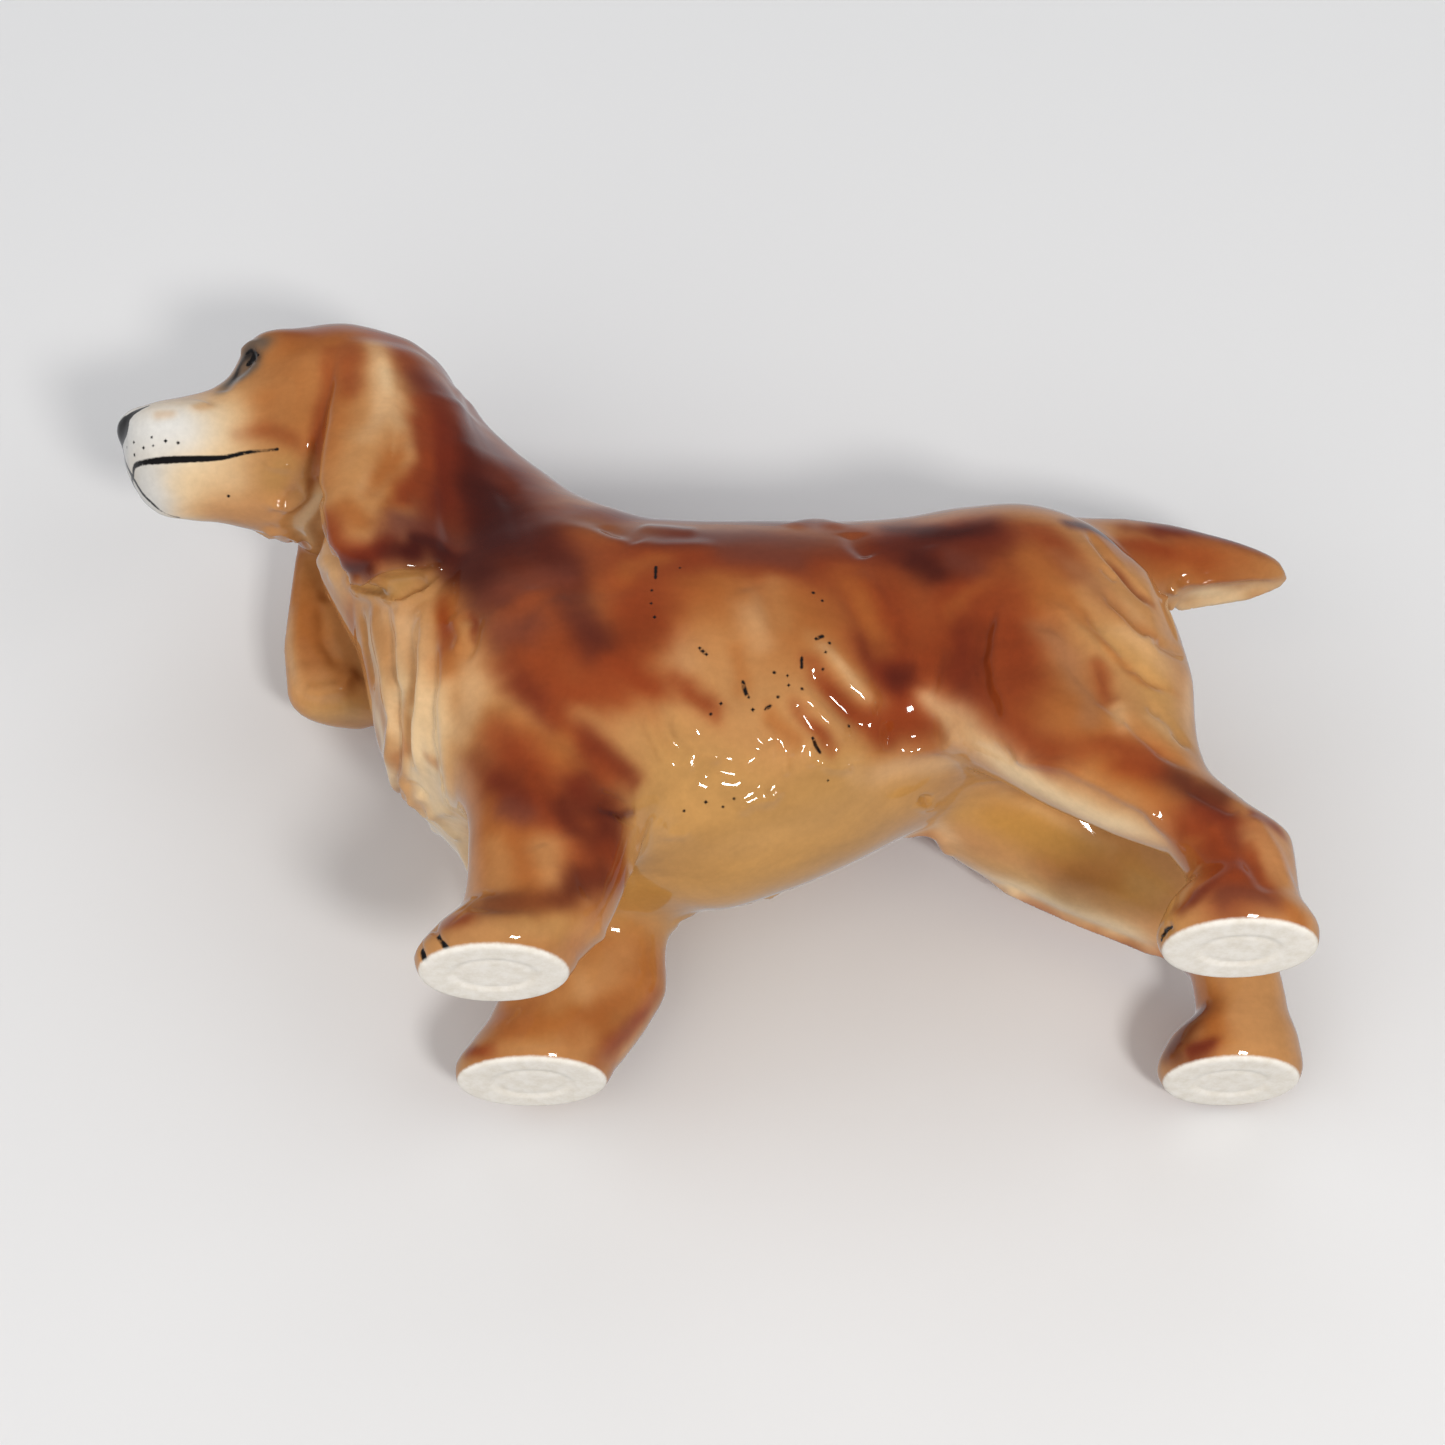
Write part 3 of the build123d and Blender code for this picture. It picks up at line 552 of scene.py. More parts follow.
    (0.6, 1.5, [(-23.5, -34.4, 59.0), (-23.9, -33.8, 56.8), (-24.2, -33.0, 54.7), (-23.9, -33.3, 53.2), (-23.4, -33.9, 51.5)]),
    (-0.45, 2.5, [(25.1, -28.0, 67.8), (26.1, -25.9, 65.7), (26.5, -23.4, 63.7), (26.7, -21.2, 62.1), (26.8, -18.6, 61.6), (26.9, -16.5, 61.2), (26.8, -13.9, 61.1), (26.6, -11.3, 61.1), (26.4, -8.6, 61.6), (26.1, -6.0, 62.0)]),
    (-0.45, 2.5, [(-25.0, -28.1, 67.9), (-26.0, -25.9, 65.8), (-26.5, -23.4, 63.7), (-26.7, -21.2, 62.0), (-26.9, -18.6, 61.5), (-27.0, -16.5, 61.0), (-26.9, -13.9, 61.0), (-26.7, -11.3, 61.0), (-26.4, -8.6, 61.7), (-26.2, -6.0, 62.1)]),
    (-0.5, 2.4, [(17.7, -29.5, 88.8), (19.0, -28.1, 84.6), (21.1, -26.5, 79.8), (23.2, -25.4, 75.2), (24.7, -24.5, 71.8), (25.8, -23.9, 68.6), (26.2, -23.3, 66.2)]),
    (-0.5, 2.4, [(-17.2, -29.7, 88.5), (-19.0, -28.1, 84.5), (-21.1, -26.5, 79.7), (-23.1, -25.5, 75.3), (-24.6, -24.4, 71.8), (-25.8, -23.9, 68.3), (-26.1, -23.4, 66.3)]),
    (0.5, 3, [(23.3, -19.2, 75.7), (23.2, -16.6, 74.7), (22.8, -14.0, 74.1), (22.9, -11.3, 72.8), (22.8, -8.6, 72.6), (23.2, -6.0, 71.5), (23.5, -3.4, 70.7), (23.5, -1.3, 70.7), (23.5, 1.3, 70.7), (23.5, 3.4, 70.6), (23.5, 6.0, 70.6)]),
    (0.5, 3, [(-23.3, -19.2, 75.6), (-23.3, -16.4, 74.5), (-22.8, -13.9, 74.2), (-23.0, -11.3, 72.8), (-22.9, -8.7, 72.6), (-23.3, -6.0, 71.4), (-23.6, -3.4, 70.6), (-23.5, -1.3, 70.6), (-23.5, 1.3, 70.6), (-23.5, 3.4, 70.6), (-23.5, 6.0, 70.6)]),
    (0.45, 2.6, [(19.0, 16.1, 77.3), (17.2, 18.2, 79.2), (13.9, 20.8, 82.1), (16.6, 22.9, 79.5), (17.8, 25.5, 78.0)]),
    (0.45, 2.6, [(-19.1, 16.0, 77.2), (-17.3, 18.1, 79.1), (-14.0, 20.7, 82.1), (-16.7, 22.8, 79.4), (-17.7, 25.5, 78.0)]),
    (-0.7, 2.2, [(19.0, 26.1, 76.2), (21.0, 27.0, 72.3), (21.8, 29.0, 69.5)]),
    (-0.7, 2.2, [(-18.9, 26.0, 76.3), (-21.0, 27.0, 72.2), (-21.8, 29.1, 69.4)]),
    (0.4, 2.6, [(19.7, -7.1, 77.5), (20.2, -5.0, 76.8), (20.3, -2.9, 76.4), (20.7, -0.2, 75.7), (20.9, 2.4, 75.4)]),
    (0.4, 2.6, [(-19.8, -7.0, 77.4), (-20.2, -5.0, 76.7), (-20.4, -2.9, 76.4), (-20.7, -0.3, 75.7), (-20.9, 2.3, 75.3)]),
    (-0.4, 2, [(20.9, -12.8, 77.1), (21.3, -11.8, 75.9), (21.8, -10.2, 74.7), (22.5, -8.2, 73.1), (23.2, -6.6, 71.5)]),
    (-0.4, 2, [(-21.0, -12.7, 77.0), (-21.4, -11.6, 75.9), (-21.8, -10.2, 74.7), (-22.5, -8.1, 73.3), (-23.3, -6.5, 71.4)]),
    (0.6, 2.2, [(26.1, 9.2, 60.9), (26.3, 10.3, 58.4), (26.3, 10.8, 55.8), (26.0, 12.1, 53.3), (25.7, 12.9, 51.1)]),
    (0.6, 2.2, [(-26.1, 9.2, 61.1), (-26.3, 10.3, 58.4), (-26.3, 10.8, 55.8), (-26.0, 12.3, 53.2), (-25.7, 12.8, 51.2)]),
    (0.9, 2.4, [(24.4, 20.2, 51.6), (23.8, 21.7, 50.1), (22.8, 23.4, 48.4), (21.8, 25.0, 46.8), (20.9, 26.5, 45.9), (19.7, 28.1, 44.8), (18.4, 30.0, 44.1)]),
    (0.9, 2.4, [(-24.5, 20.2, 51.6), (-23.8, 21.8, 50.1), (-22.9, 23.4, 48.5), (-21.8, 24.9, 46.9), (-20.8, 26.5, 45.8), (-19.7, 28.1, 44.8), (-18.3, 30.1, 44.0)]),
    (-0.8, 2.2, [(23.8, 18.6, 47.4), (22.9, 20.1, 46.0), (22.1, 21.3, 44.8), (21.1, 22.8, 43.7), (19.7, 24.7, 42.4), (18.6, 26.0, 41.6), (16.9, 28.2, 40.7)]),
    (-0.8, 2.2, [(-23.8, 18.6, 47.5), (-22.9, 20.2, 45.8), (-22.1, 21.3, 44.7), (-21.2, 22.7, 43.9), (-19.6, 24.9, 42.2), (-18.7, 26.0, 41.6), (-17.0, 28.0, 40.7)]),
    (0.6, 1.8, [(23.0, 17.9, 44.4), (22.1, 19.1, 43.3), (20.9, 20.6, 41.9), (19.8, 22.0, 40.9), (18.6, 23.4, 40.0), (17.3, 24.7, 38.9)]),
    (0.6, 1.8, [(-22.9, 17.6, 44.2), (-22.2, 19.2, 43.4), (-20.8, 20.7, 41.7), (-19.9, 21.9, 40.9), (-18.7, 23.3, 40.0), (-17.2, 24.8, 38.9)]),
    (-0.7, 1.8, [(22.1, 17.5, 42.2), (21.0, 18.7, 40.8), (19.7, 19.8, 39.4), (18.3, 21.3, 38.2), (16.9, 22.9, 37.5)]),
    (-0.7, 1.8, [(-22.0, 17.6, 42.0), (-21.0, 18.8, 40.9), (-19.8, 19.7, 39.5), (-18.2, 21.5, 38.2), (-17.0, 22.7, 37.5)]),
    (-0.5, 2.2, [(26.4, 8.1, 51.6), (26.0, 8.6, 49.3), (25.6, 8.7, 47.3), (25.0, 9.1, 45.2), (24.3, 9.7, 43.2), (23.5, 10.3, 41.6), (22.5, 10.9, 39.8)]),
    (-0.5, 2.2, [(-26.4, 8.2, 51.6), (-26.0, 8.7, 49.5), (-25.6, 8.6, 47.2), (-25.0, 9.2, 45.3), (-24.3, 9.8, 43.4), (-23.4, 10.3, 41.5), (-22.6, 10.7, 39.8)]),
    (-0.5, 2.4, [(25.6, -2.3, 45.2), (25.1, -0.8, 43.4), (24.6, 0.8, 42.1), (24.2, 2.9, 41.3), (23.9, 4.5, 40.6)]),
    (-0.5, 2.4, [(-25.7, -2.3, 45.4), (-25.2, -0.8, 43.6), (-24.6, 0.8, 42.0), (-24.2, 2.9, 41.4), (-23.9, 4.5, 40.7)]),
    (0.5, 2.2, [(26.6, 1.3, 51.6), (26.4, 2.4, 49.5), (26.0, 2.9, 47.4), (25.5, 4.5, 45.3), (24.9, 6.0, 43.7)]),
    (0.5, 2.2, [(-26.6, 1.3, 51.5), (-26.3, 2.4, 49.4), (-26.0, 2.9, 47.4), (-25.5, 4.5, 45.3), (-24.9, 6.0, 43.7)]),
    (0.6, 1.2, [(24.8, -3.6, 40.9), (24.1, -3.0, 39.1), (23.2, -2.4, 37.0), (22.0, -0.8, 35.4), (20.7, 0.3, 33.7)]),
    (0.6, 1.2, [(-24.9, -3.4, 41.1), (-24.1, -2.8, 38.9), (-23.3, -2.5, 37.1), (-21.9, -0.7, 35.3), (-20.7, 0.2, 33.9)]),
    (-0.5, 1.1, [(24.9, -5.2, 39.7), (24.1, -4.6, 37.5), (23.0, -3.5, 35.6), (22.1, -2.8, 34.2), (21.1, -1.7, 33.1)]),
    (-0.5, 1.1, [(-24.9, -5.0, 39.6), (-24.0, -4.4, 37.4), (-22.8, -3.4, 35.4), (-22.0, -2.8, 34.2), (-21.0, -1.8, 33.2)]),
    (0.5, 1, [(24.2, -1.8, 40.1), (23.4, -1.8, 37.9), (22.7, -1.4, 36.5), (21.9, 0.2, 35.7), (21.2, 1.4, 34.9)]),
    (0.5, 1, [(-24.3, -1.8, 40.2), (-23.4, -1.8, 37.9), (-22.7, -1.2, 36.5), (-21.9, 0.3, 35.7), (-21.1, 1.4, 34.9)]),
    (0.5, 1, [(22.6, 9.8, 39.4), (21.1, 11.3, 37.5), (19.9, 12.8, 36.4)]),
    (0.5, 1, [(-22.7, 9.7, 39.6), (-21.2, 11.2, 37.6), (-19.9, 12.9, 36.4)]),
    (0.45, 0.9, [(22.3, 11.8, 39.9), (21.2, 12.9, 38.4), (20.1, 13.9, 37.0)]),
    (0.45, 0.9, [(-22.4, 11.9, 40.0), (-21.3, 12.9, 38.5), (-20.1, 14.0, 37.1)]),
    (0.5, 1, [(20.9, 14.9, 38.8), (20.0, 15.0, 37.4), (18.7, 15.3, 35.8), (17.7, 15.3, 34.6), (16.4, 15.4, 33.3)]),
    (0.5, 1, [(-20.9, 15.1, 38.8), (-20.0, 15.0, 37.4), (-18.7, 15.5, 35.9), (-17.7, 15.5, 34.7), (-16.4, 15.5, 33.4)]),
    (0.45, 0.9, [(19.8, 17.4, 38.2), (19.1, 16.5, 36.9), (18.5, 16.0, 35.9)]),
    (0.45, 0.9, [(-19.6, 17.6, 38.0), (-19.2, 16.5, 36.9), (-18.6, 16.0, 36.0)]),
    (0.5, 1, [(16.4, 11.5, 31.7), (14.4, 12.9, 30.6), (15.0, 14.0, 31.5), (15.4, 14.9, 32.2)]),
    (0.5, 1, [(-16.3, 11.6, 31.7), (-14.5, 12.9, 30.6), (-15.0, 14.0, 31.5), (-15.6, 15.0, 32.4)]),
    (0.5, 1, [(19.3, 19.2, 38.5), (17.9, 19.2, 36.6), (16.4, 18.9, 34.9)]),
    (0.5, 1, [(-19.3, 19.2, 38.4), (-18.0, 18.9, 36.6), (-16.4, 19.0, 34.9)]),
    (0.6, 1.1, [(17.1, 20.3, 36.3), (16.1, 21.3, 35.8), (15.3, 22.6, 35.7), (14.7, 24.2, 36.0), (14.7, 25.4, 36.6)]),
    (0.6, 1.1, [(-17.1, 20.3, 36.3), (-16.1, 21.3, 35.8), (-15.2, 22.7, 35.7), (-14.8, 24.1, 36.0), (-14.8, 25.2, 36.7)]),
    (0.5, 1.3, [(20.8, 2.4, 34.7), (20.8, 4.2, 35.0), (20.1, 6.0, 34.2)]),
    (0.5, 1.3, [(-20.8, 2.4, 34.7), (-20.7, 4.5, 34.9), (-20.2, 6.0, 34.4)]),
    (0.45, 1.2, [(14.2, 8.2, 28.7), (15.0, 10.3, 30.0), (14.8, 11.3, 30.3), (14.4, 12.9, 30.6)]),
    (0.45, 1.2, [(-14.2, 8.3, 28.8), (-15.0, 10.2, 30.1), (-14.8, 11.2, 30.3), (-14.5, 12.9, 30.6)]),
    (0.45, 1.3, [(16.6, -3.8, 26.3), (13.4, -2.7, 25.8), (12.5, -0.8, 26.2), (12.0, 1.0, 26.3)]),
    (0.45, 1.3, [(-17.0, -3.0, 26.0), (-13.4, -2.3, 25.3), (-12.9, -0.8, 26.0), (-12.2, 0.9, 26.2)]),
    (0.4, 1.6, [(18.8, 9.2, 33.5), (19.3, 10.4, 34.6), (19.8, 11.7, 35.7)]),
    (0.4, 1.6, [(-18.9, 9.4, 33.6), (-19.4, 10.2, 34.6), (-19.8, 11.8, 35.8)]),
    (-0.4, 1.6, [(18.6, 2.6, 31.9), (18.9, 4.0, 32.4), (19.3, 5.5, 33.1), (18.8, 7.4, 32.8), (18.4, 9.2, 32.9)]),
    (-0.4, 1.6, [(-18.6, 2.4, 31.8), (-18.9, 4.1, 32.5), (-19.3, 5.5, 33.1), (-18.6, 7.6, 32.7), (-18.4, 9.4, 33.0)]),
    (-0.35, 1.8, [(22.3, 1.4, 36.9), (22.2, 3.4, 37.0), (22.0, 5.9, 37.1), (21.4, 7.2, 36.3), (20.7, 8.7, 35.8)]),
    (-0.35, 1.8, [(-22.4, 1.3, 36.9), (-22.2, 3.4, 37.1), (-22.1, 6.0, 37.3), (-21.4, 7.1, 36.3), (-20.8, 8.7, 35.9)]),
    (0.8, 1.7, [(12.7, 32.8, 39.6), (12.2, 34.6, 40.1), (12.2, 36.5, 40.6), (12.3, 38.0, 40.6), (13.2, 39.6, 40.1), (15.9, 40.7, 39.6), (18.0, 41.8, 39.1)]),
    (0.8, 1.7, [(-12.9, 32.9, 39.5), (-12.5, 34.6, 39.9), (-12.4, 36.5, 40.1), (-12.6, 37.8, 40.1), (-13.4, 39.5, 39.5), (-15.9, 40.4, 39.2), (-18.0, 41.5, 38.8)]),
    (-0.5, 2.4, [(15.9, 29.6, 40.6), (15.1, 32.3, 41.5), (14.2, 34.9, 41.7), (15.4, 36.9, 42.7), (17.4, 38.7, 43.3)]),
    (-0.5, 2.4, [(-16.0, 29.6, 40.6), (-15.2, 32.5, 41.3), (-14.5, 34.9, 41.2), (-16.0, 36.6, 41.8), (-18.2, 37.9, 42.6)]),
    (-0.6, 2.2, [(23.8, 24.1, 64.0), (24.0, 25.2, 61.5), (23.9, 26.0, 59.0), (23.6, 27.1, 56.8), (23.1, 28.0, 55.3), (22.4, 28.7, 52.6), (21.5, 29.4, 49.9), (20.5, 29.8, 47.8), (19.4, 30.4, 46.2), (18.1, 30.7, 44.2), (16.8, 31.3, 42.9)]),
    (-0.6, 2.2, [(-23.8, 23.9, 64.2), (-24.0, 25.0, 61.6), (-23.9, 26.0, 58.9), (-23.5, 27.2, 56.9), (-23.1, 28.2, 55.3), (-22.4, 28.8, 52.5), (-21.4, 29.4, 49.7), (-20.6, 29.7, 48.0), (-19.4, 30.2, 46.0), (-18.2, 30.8, 44.2), (-17.0, 31.2, 42.8)]),
    (0.5, 2.4, [(23.0, 26.9, 66.2), (23.2, 28.1, 63.7), (23.1, 29.5, 61.6), (22.9, 30.3, 59.5), (22.4, 31.8, 57.4), (21.8, 32.3, 54.7), (21.0, 32.8, 52.1), (19.8, 33.7, 49.6)]),
    (0.5, 2.4, [(-22.9, 27.1, 66.3), (-23.2, 28.2, 63.7), (-23.0, 29.7, 61.6), (-22.9, 30.2, 59.5), (-22.4, 31.8, 57.4), (-21.8, 32.3, 54.8), (-21.2, 32.9, 52.1), (-20.2, 33.9, 49.4)]),
    (0.35, 3, [(20.6, 38.5, 72.5), (21.5, 38.5, 69.0), (22.0, 38.6, 65.8), (22.1, 38.6, 62.6), (22.0, 38.6, 60.5), (21.7, 38.0, 58.3), (21.3, 37.5, 55.8)]),
    (0.35, 3, [(-20.6, 38.6, 72.5), (-21.6, 38.6, 68.8), (-22.0, 38.6, 65.8), (-22.1, 38.6, 62.6), (-22.0, 38.6, 60.5), (-21.7, 38.1, 58.4), (-21.5, 37.5, 55.8)]),
    (-0.9, 1.5, [(23.3, 47.0, 58.4), (23.1, 46.6, 56.3), (22.9, 45.8, 54.2), (22.7, 45.5, 52.1), (22.4, 44.8, 49.5), (22.5, 45.3, 46.9), (22.4, 45.3, 44.3), (22.8, 46.4, 41.1), (23.0, 47.2, 38.1)]),
    (-0.9, 1.5, [(-23.3, 47.2, 58.4), (-23.2, 46.8, 56.3), (-23.1, 45.9, 54.2), (-23.0, 45.4, 52.1), (-23.0, 44.8, 49.5), (-23.1, 44.9, 46.9), (-23.2, 45.2, 44.3), (-23.3, 46.0, 41.1), (-23.1, 47.2, 38.2)]),
    (-0.6, 1.4, [(21.1, 39.1, 53.7), (20.5, 38.5, 51.0), (19.8, 38.1, 49.0), (18.9, 37.5, 47.1), (18.0, 36.9, 45.7)]),
    (-0.6, 1.4, [(-21.5, 39.2, 53.7), (-21.2, 38.3, 51.0), (-20.8, 38.0, 49.0), (-20.0, 37.0, 46.8), (-18.9, 36.3, 45.1)]),
    (0.6, 1.8, [(23.7, 49.0, 58.9), (23.5, 48.5, 56.9), (23.4, 48.0, 54.7), (23.3, 47.6, 52.6), (23.3, 47.6, 50.5), (23.2, 47.1, 47.9), (23.2, 47.1, 45.8), (23.5, 48.0, 43.2), (23.8, 48.6, 41.1), (24.0, 49.0, 39.0)]),
    (0.6, 1.8, [(-23.7, 49.2, 58.9), (-23.5, 48.3, 56.9), (-23.5, 47.9, 54.8), (-23.5, 47.7, 52.7), (-23.7, 47.7, 50.5), (-23.7, 47.1, 47.9), (-23.8, 47.1, 45.8), (-24.1, 48.0, 43.2), (-24.2, 48.4, 41.1), (-24.2, 48.9, 38.9)]),
    (-0.6, 1.6, [(24.2, 54.4, 55.8), (24.3, 55.4, 54.8), (24.4, 57.0, 53.7), (24.4, 58.6, 52.1), (24.5, 60.1, 50.0)]),
    (-0.6, 1.6, [(-24.2, 54.3, 55.8), (-24.3, 55.4, 54.8), (-24.4, 57.0, 53.8), (-24.4, 58.6, 52.2), (-24.4, 60.2, 50.1)]),
    (0.6, 1.8, [(24.2, 54.4, 58.4), (24.2, 56.5, 57.4), (24.2, 58.0, 55.8), (24.3, 59.1, 53.7), (24.2, 60.6, 52.1), (24.3, 61.7, 50.0), (24.5, 61.7, 47.4), (24.8, 62.2, 44.8), (25.2, 62.2, 42.1)]),
    (0.6, 1.8, [(-24.2, 54.3, 58.4), (-24.2, 56.5, 57.4), (-24.2, 58.0, 55.8), (-24.2, 59.1, 53.7), (-24.2, 60.7, 52.1), (-24.2, 61.7, 50.0), (-24.4, 61.8, 47.5), (-24.9, 62.2, 44.8), (-25.5, 62.3, 42.2)]),
    (-0.8, 1.3, [(23.6, 61.8, 58.4), (23.6, 62.3, 56.3), (23.6, 63.4, 54.2), (23.6, 64.4, 52.1), (23.5, 65.9, 50.0), (23.5, 67.0, 47.4), (23.2, 69.0, 46.3), (22.9, 70.7, 44.9), (21.7, 72.7, 44.3)]),
    (-0.8, 1.3, [(-23.5, 62.0, 58.5), (-23.6, 62.1, 56.3), (-23.5, 63.2, 54.2), (-23.5, 64.2, 52.1), (-23.3, 65.8, 50.1), (-23.4, 67.0, 47.5), (-23.1, 69.1, 46.5), (-23.2, 70.6, 44.8), (-22.0, 72.9, 44.2)]),
    (-0.7, 1.3, [(22.8, 63.8, 62.2), (22.6, 65.1, 60.6), (22.3, 66.4, 58.9), (22.0, 67.8, 57.9), (21.8, 69.2, 55.9), (21.7, 70.5, 54.6), (21.2, 72.0, 53.2), (19.1, 74.3, 53.2), (15.3, 76.7, 54.7)]),
    (-0.7, 1.3, [(-22.8, 63.7, 62.1), (-22.5, 65.3, 60.5), (-22.3, 66.4, 58.9), (-22.0, 67.6, 57.9), (-21.7, 69.0, 55.8), (-21.6, 70.5, 54.7), (-21.0, 71.9, 53.2), (-19.0, 74.1, 53.2), (-15.1, 76.5, 54.6)]),
    (0.5, 1.3, [(22.9, 64.6, 59.2), (22.8, 65.4, 57.4), (22.6, 66.6, 55.7), (22.5, 67.6, 54.3), (22.3, 69.1, 52.7), (22.2, 70.5, 51.6), (21.5, 72.0, 50.5)]),
    (0.5, 1.3, [(-22.8, 64.8, 58.9), (-22.8, 65.3, 57.4), (-22.5, 66.7, 55.7), (-22.4, 67.6, 54.3), (-22.1, 69.2, 52.7), (-22.0, 70.6, 51.6), (-21.4, 71.8, 50.6)]),
    (0.5, 1.4, [(23.6, 62.9, 54.7), (23.6, 63.9, 53.2), (23.7, 64.4, 51.1), (23.6, 65.5, 49.5), (23.5, 67.0, 47.9), (23.4, 68.0, 46.4), (23.4, 69.0, 44.8)]),
    (0.5, 1.4, [(-23.6, 62.6, 54.8), (-23.5, 64.0, 53.1), (-23.6, 64.2, 51.0), (-23.5, 65.5, 49.7), (-23.3, 66.9, 47.9), (-23.4, 68.0, 46.3), (-23.5, 69.2, 44.9)]),
    (-0.6, 1.6, [(24.5, 57.0, 51.6), (24.6, 58.0, 49.5), (24.8, 58.5, 47.0), (25.0, 59.5, 45.0), (25.2, 61.1, 42.6), (25.5, 62.2, 40.6), (25.8, 63.9, 38.6), (25.9, 65.5, 36.5), (25.9, 67.2, 34.6), (25.9, 69.0, 32.6), (25.9, 70.4, 30.9), (25.9, 72.1, 29.4), (25.7, 73.9, 28.1)]),
    (-0.6, 1.6, [(-24.5, 56.9, 51.7), (-24.6, 58.0, 49.5), (-24.9, 58.5, 46.9), (-25.1, 59.6, 44.8), (-25.5, 61.1, 42.6), (-26.0, 62.2, 40.6), (-26.3, 63.8, 38.6), (-26.6, 65.6, 36.6), (-26.7, 67.4, 34.7), (-26.8, 69.0, 32.7), (-26.8, 70.6, 31.1), (-26.7, 72.2, 29.2), (-26.6, 73.7, 28.0)]),
    (-0.6, 1.4, [(24.5, 62.2, 47.4), (24.7, 62.8, 44.8), (25.0, 63.6, 42.4), (25.4, 64.3, 40.0), (25.6, 65.4, 38.0)]),
    (-0.6, 1.4, [(-24.4, 62.2, 47.3), (-24.8, 62.7, 44.8), (-25.3, 63.8, 42.4), (-25.9, 64.3, 40.0), (-26.3, 65.4, 38.0)]),
    (0.5, 1.3, [(25.2, 63.8, 41.1), (25.4, 64.8, 39.5), (25.8, 65.3, 37.4), (26.2, 65.2, 35.3), (26.4, 65.4, 33.8)]),
    (0.5, 1.3, [(-25.6, 63.8, 41.3), (-26.0, 64.8, 39.5), (-26.4, 65.4, 37.5), (-26.7, 65.4, 35.3), (-26.8, 65.4, 33.8)]),
    (-0.7, 1.3, [(24.0, 69.3, 41.0), (23.9, 70.6, 39.0), (23.3, 72.2, 37.4), (23.1, 73.5, 35.4), (22.6, 75.1, 33.3)]),
    (-0.7, 1.3, [(-24.6, 69.5, 41.3), (-24.8, 70.9, 39.5), (-24.6, 72.8, 38.0), (-24.7, 74.2, 36.2), (-24.8, 75.9, 34.3)]),
    (0.45, 1.3, [(23.7, 71.0, 39.1), (23.3, 72.2, 37.4), (23.0, 73.4, 35.8)]),
    (0.45, 1.3, [(-24.6, 71.3, 39.5), (-24.6, 72.8, 38.0), (-24.6, 74.1, 36.7)]),
    (0.6, 1.2, [(22.0, 70.0, 53.7), (20.9, 72.3, 53.1)]),
    (0.6, 1.2, [(-21.8, 70.0, 53.7), (-20.8, 72.2, 53.2)]),
    (1.1, 1.3, [(22.1, 46.6, 36.8), (22.7, 48.7, 34.9), (22.6, 49.9, 33.5), (22.1, 50.7, 32.2), (23.2, 52.8, 31.2), (24.1, 54.9, 30.2), (24.6, 56.7, 29.4), (24.8, 58.6, 28.0), (25.0, 60.5, 26.8), (25.1, 62.5, 25.5), (25.1, 64.4, 24.1), (25.2, 66.4, 22.9), (24.9, 68.1, 21.7), (23.9, 69.3, 20.4), (23.1, 70.8, 19.0), (23.1, 72.0, 17.1)]),
    (1.1, 1.3, [(-21.8, 47.0, 37.0), (-22.2, 49.2, 35.9), (-21.9, 50.5, 34.9), (-21.2, 51.5, 34.0), (-22.3, 53.9, 33.3), (-22.8, 56.0, 32.4), (-23.1, 57.8, 31.6), (-23.1, 59.9, 30.5), (-23.3, 61.8, 29.6), (-23.5, 64.1, 28.7), (-23.2, 66.1, 27.6), (-23.4, 68.3, 26.6), (-23.2, 70.3, 25.5), (-22.5, 72.0, 24.1), (-21.7, 73.4, 22.8), (-21.9, 75.2, 21.6)]),
    (-0.9, 1.8, [(27.0, 73.3, 24.9), (27.1, 74.7, 23.6), (27.1, 76.7, 22.1), (27.1, 78.7, 20.9), (26.9, 80.8, 20.0)]),
    (-0.9, 1.8, [(-25.8, 73.8, 25.8), (-25.6, 75.1, 24.5), (-25.8, 77.4, 22.9), (-25.8, 79.2, 21.2), (-26.2, 81.1, 20.1)]),
    (-0.6, 2, [(27.3, 78.5, 18.5), (27.7, 79.6, 16.0), (28.3, 80.2, 13.6), (28.8, 81.1, 11.3), (29.8, 81.6, 8.6), (30.4, 82.5, 6.3), (30.8, 83.2, 4.3)]),
    (-0.6, 2, [(-25.4, 80.2, 19.1), (-26.0, 81.1, 15.9), (-26.5, 81.2, 13.3), (-27.6, 81.6, 10.8), (-29.4, 81.7, 8.2), (-30.5, 82.7, 6.1), (-31.0, 83.2, 4.6)]),
    (0.6, 2.2, [(26.7, 82.1, 19.6), (27.1, 82.9, 17.4), (27.4, 83.7, 15.3), (27.4, 84.6, 13.3), (27.5, 85.3, 11.2), (27.7, 85.9, 8.7), (27.8, 86.7, 6.6)]),
    (0.6, 2.2, [(-26.4, 82.1, 19.6), (-26.7, 83.0, 17.4), (-27.2, 83.8, 15.4), (-27.8, 84.4, 13.5), (-28.4, 85.3, 11.4), (-29.0, 86.3, 9.4), (-29.6, 87.5, 7.1)]),
    (0.4, 2, [(26.9, 75.7, 19.4), (26.9, 76.5, 17.4), (27.3, 77.1, 15.4), (27.8, 78.0, 13.3), (29.1, 78.6, 10.0), (30.8, 79.0, 6.5)]),
    (0.4, 2, [(-24.7, 77.6, 21.3), (-24.4, 79.6, 17.4), (-24.9, 79.9, 15.4), (-25.8, 80.3, 12.8), (-27.9, 79.3, 8.8), (-29.8, 79.4, 6.1)]),
    (-0.8, 1.1, [(19.5, 63.0, 74.9), (20.3, 64.3, 72.0), (20.7, 65.5, 69.5), (20.7, 66.9, 67.3), (20.6, 68.3, 65.1), (20.4, 70.1, 62.7), (20.1, 71.7, 60.5)]),
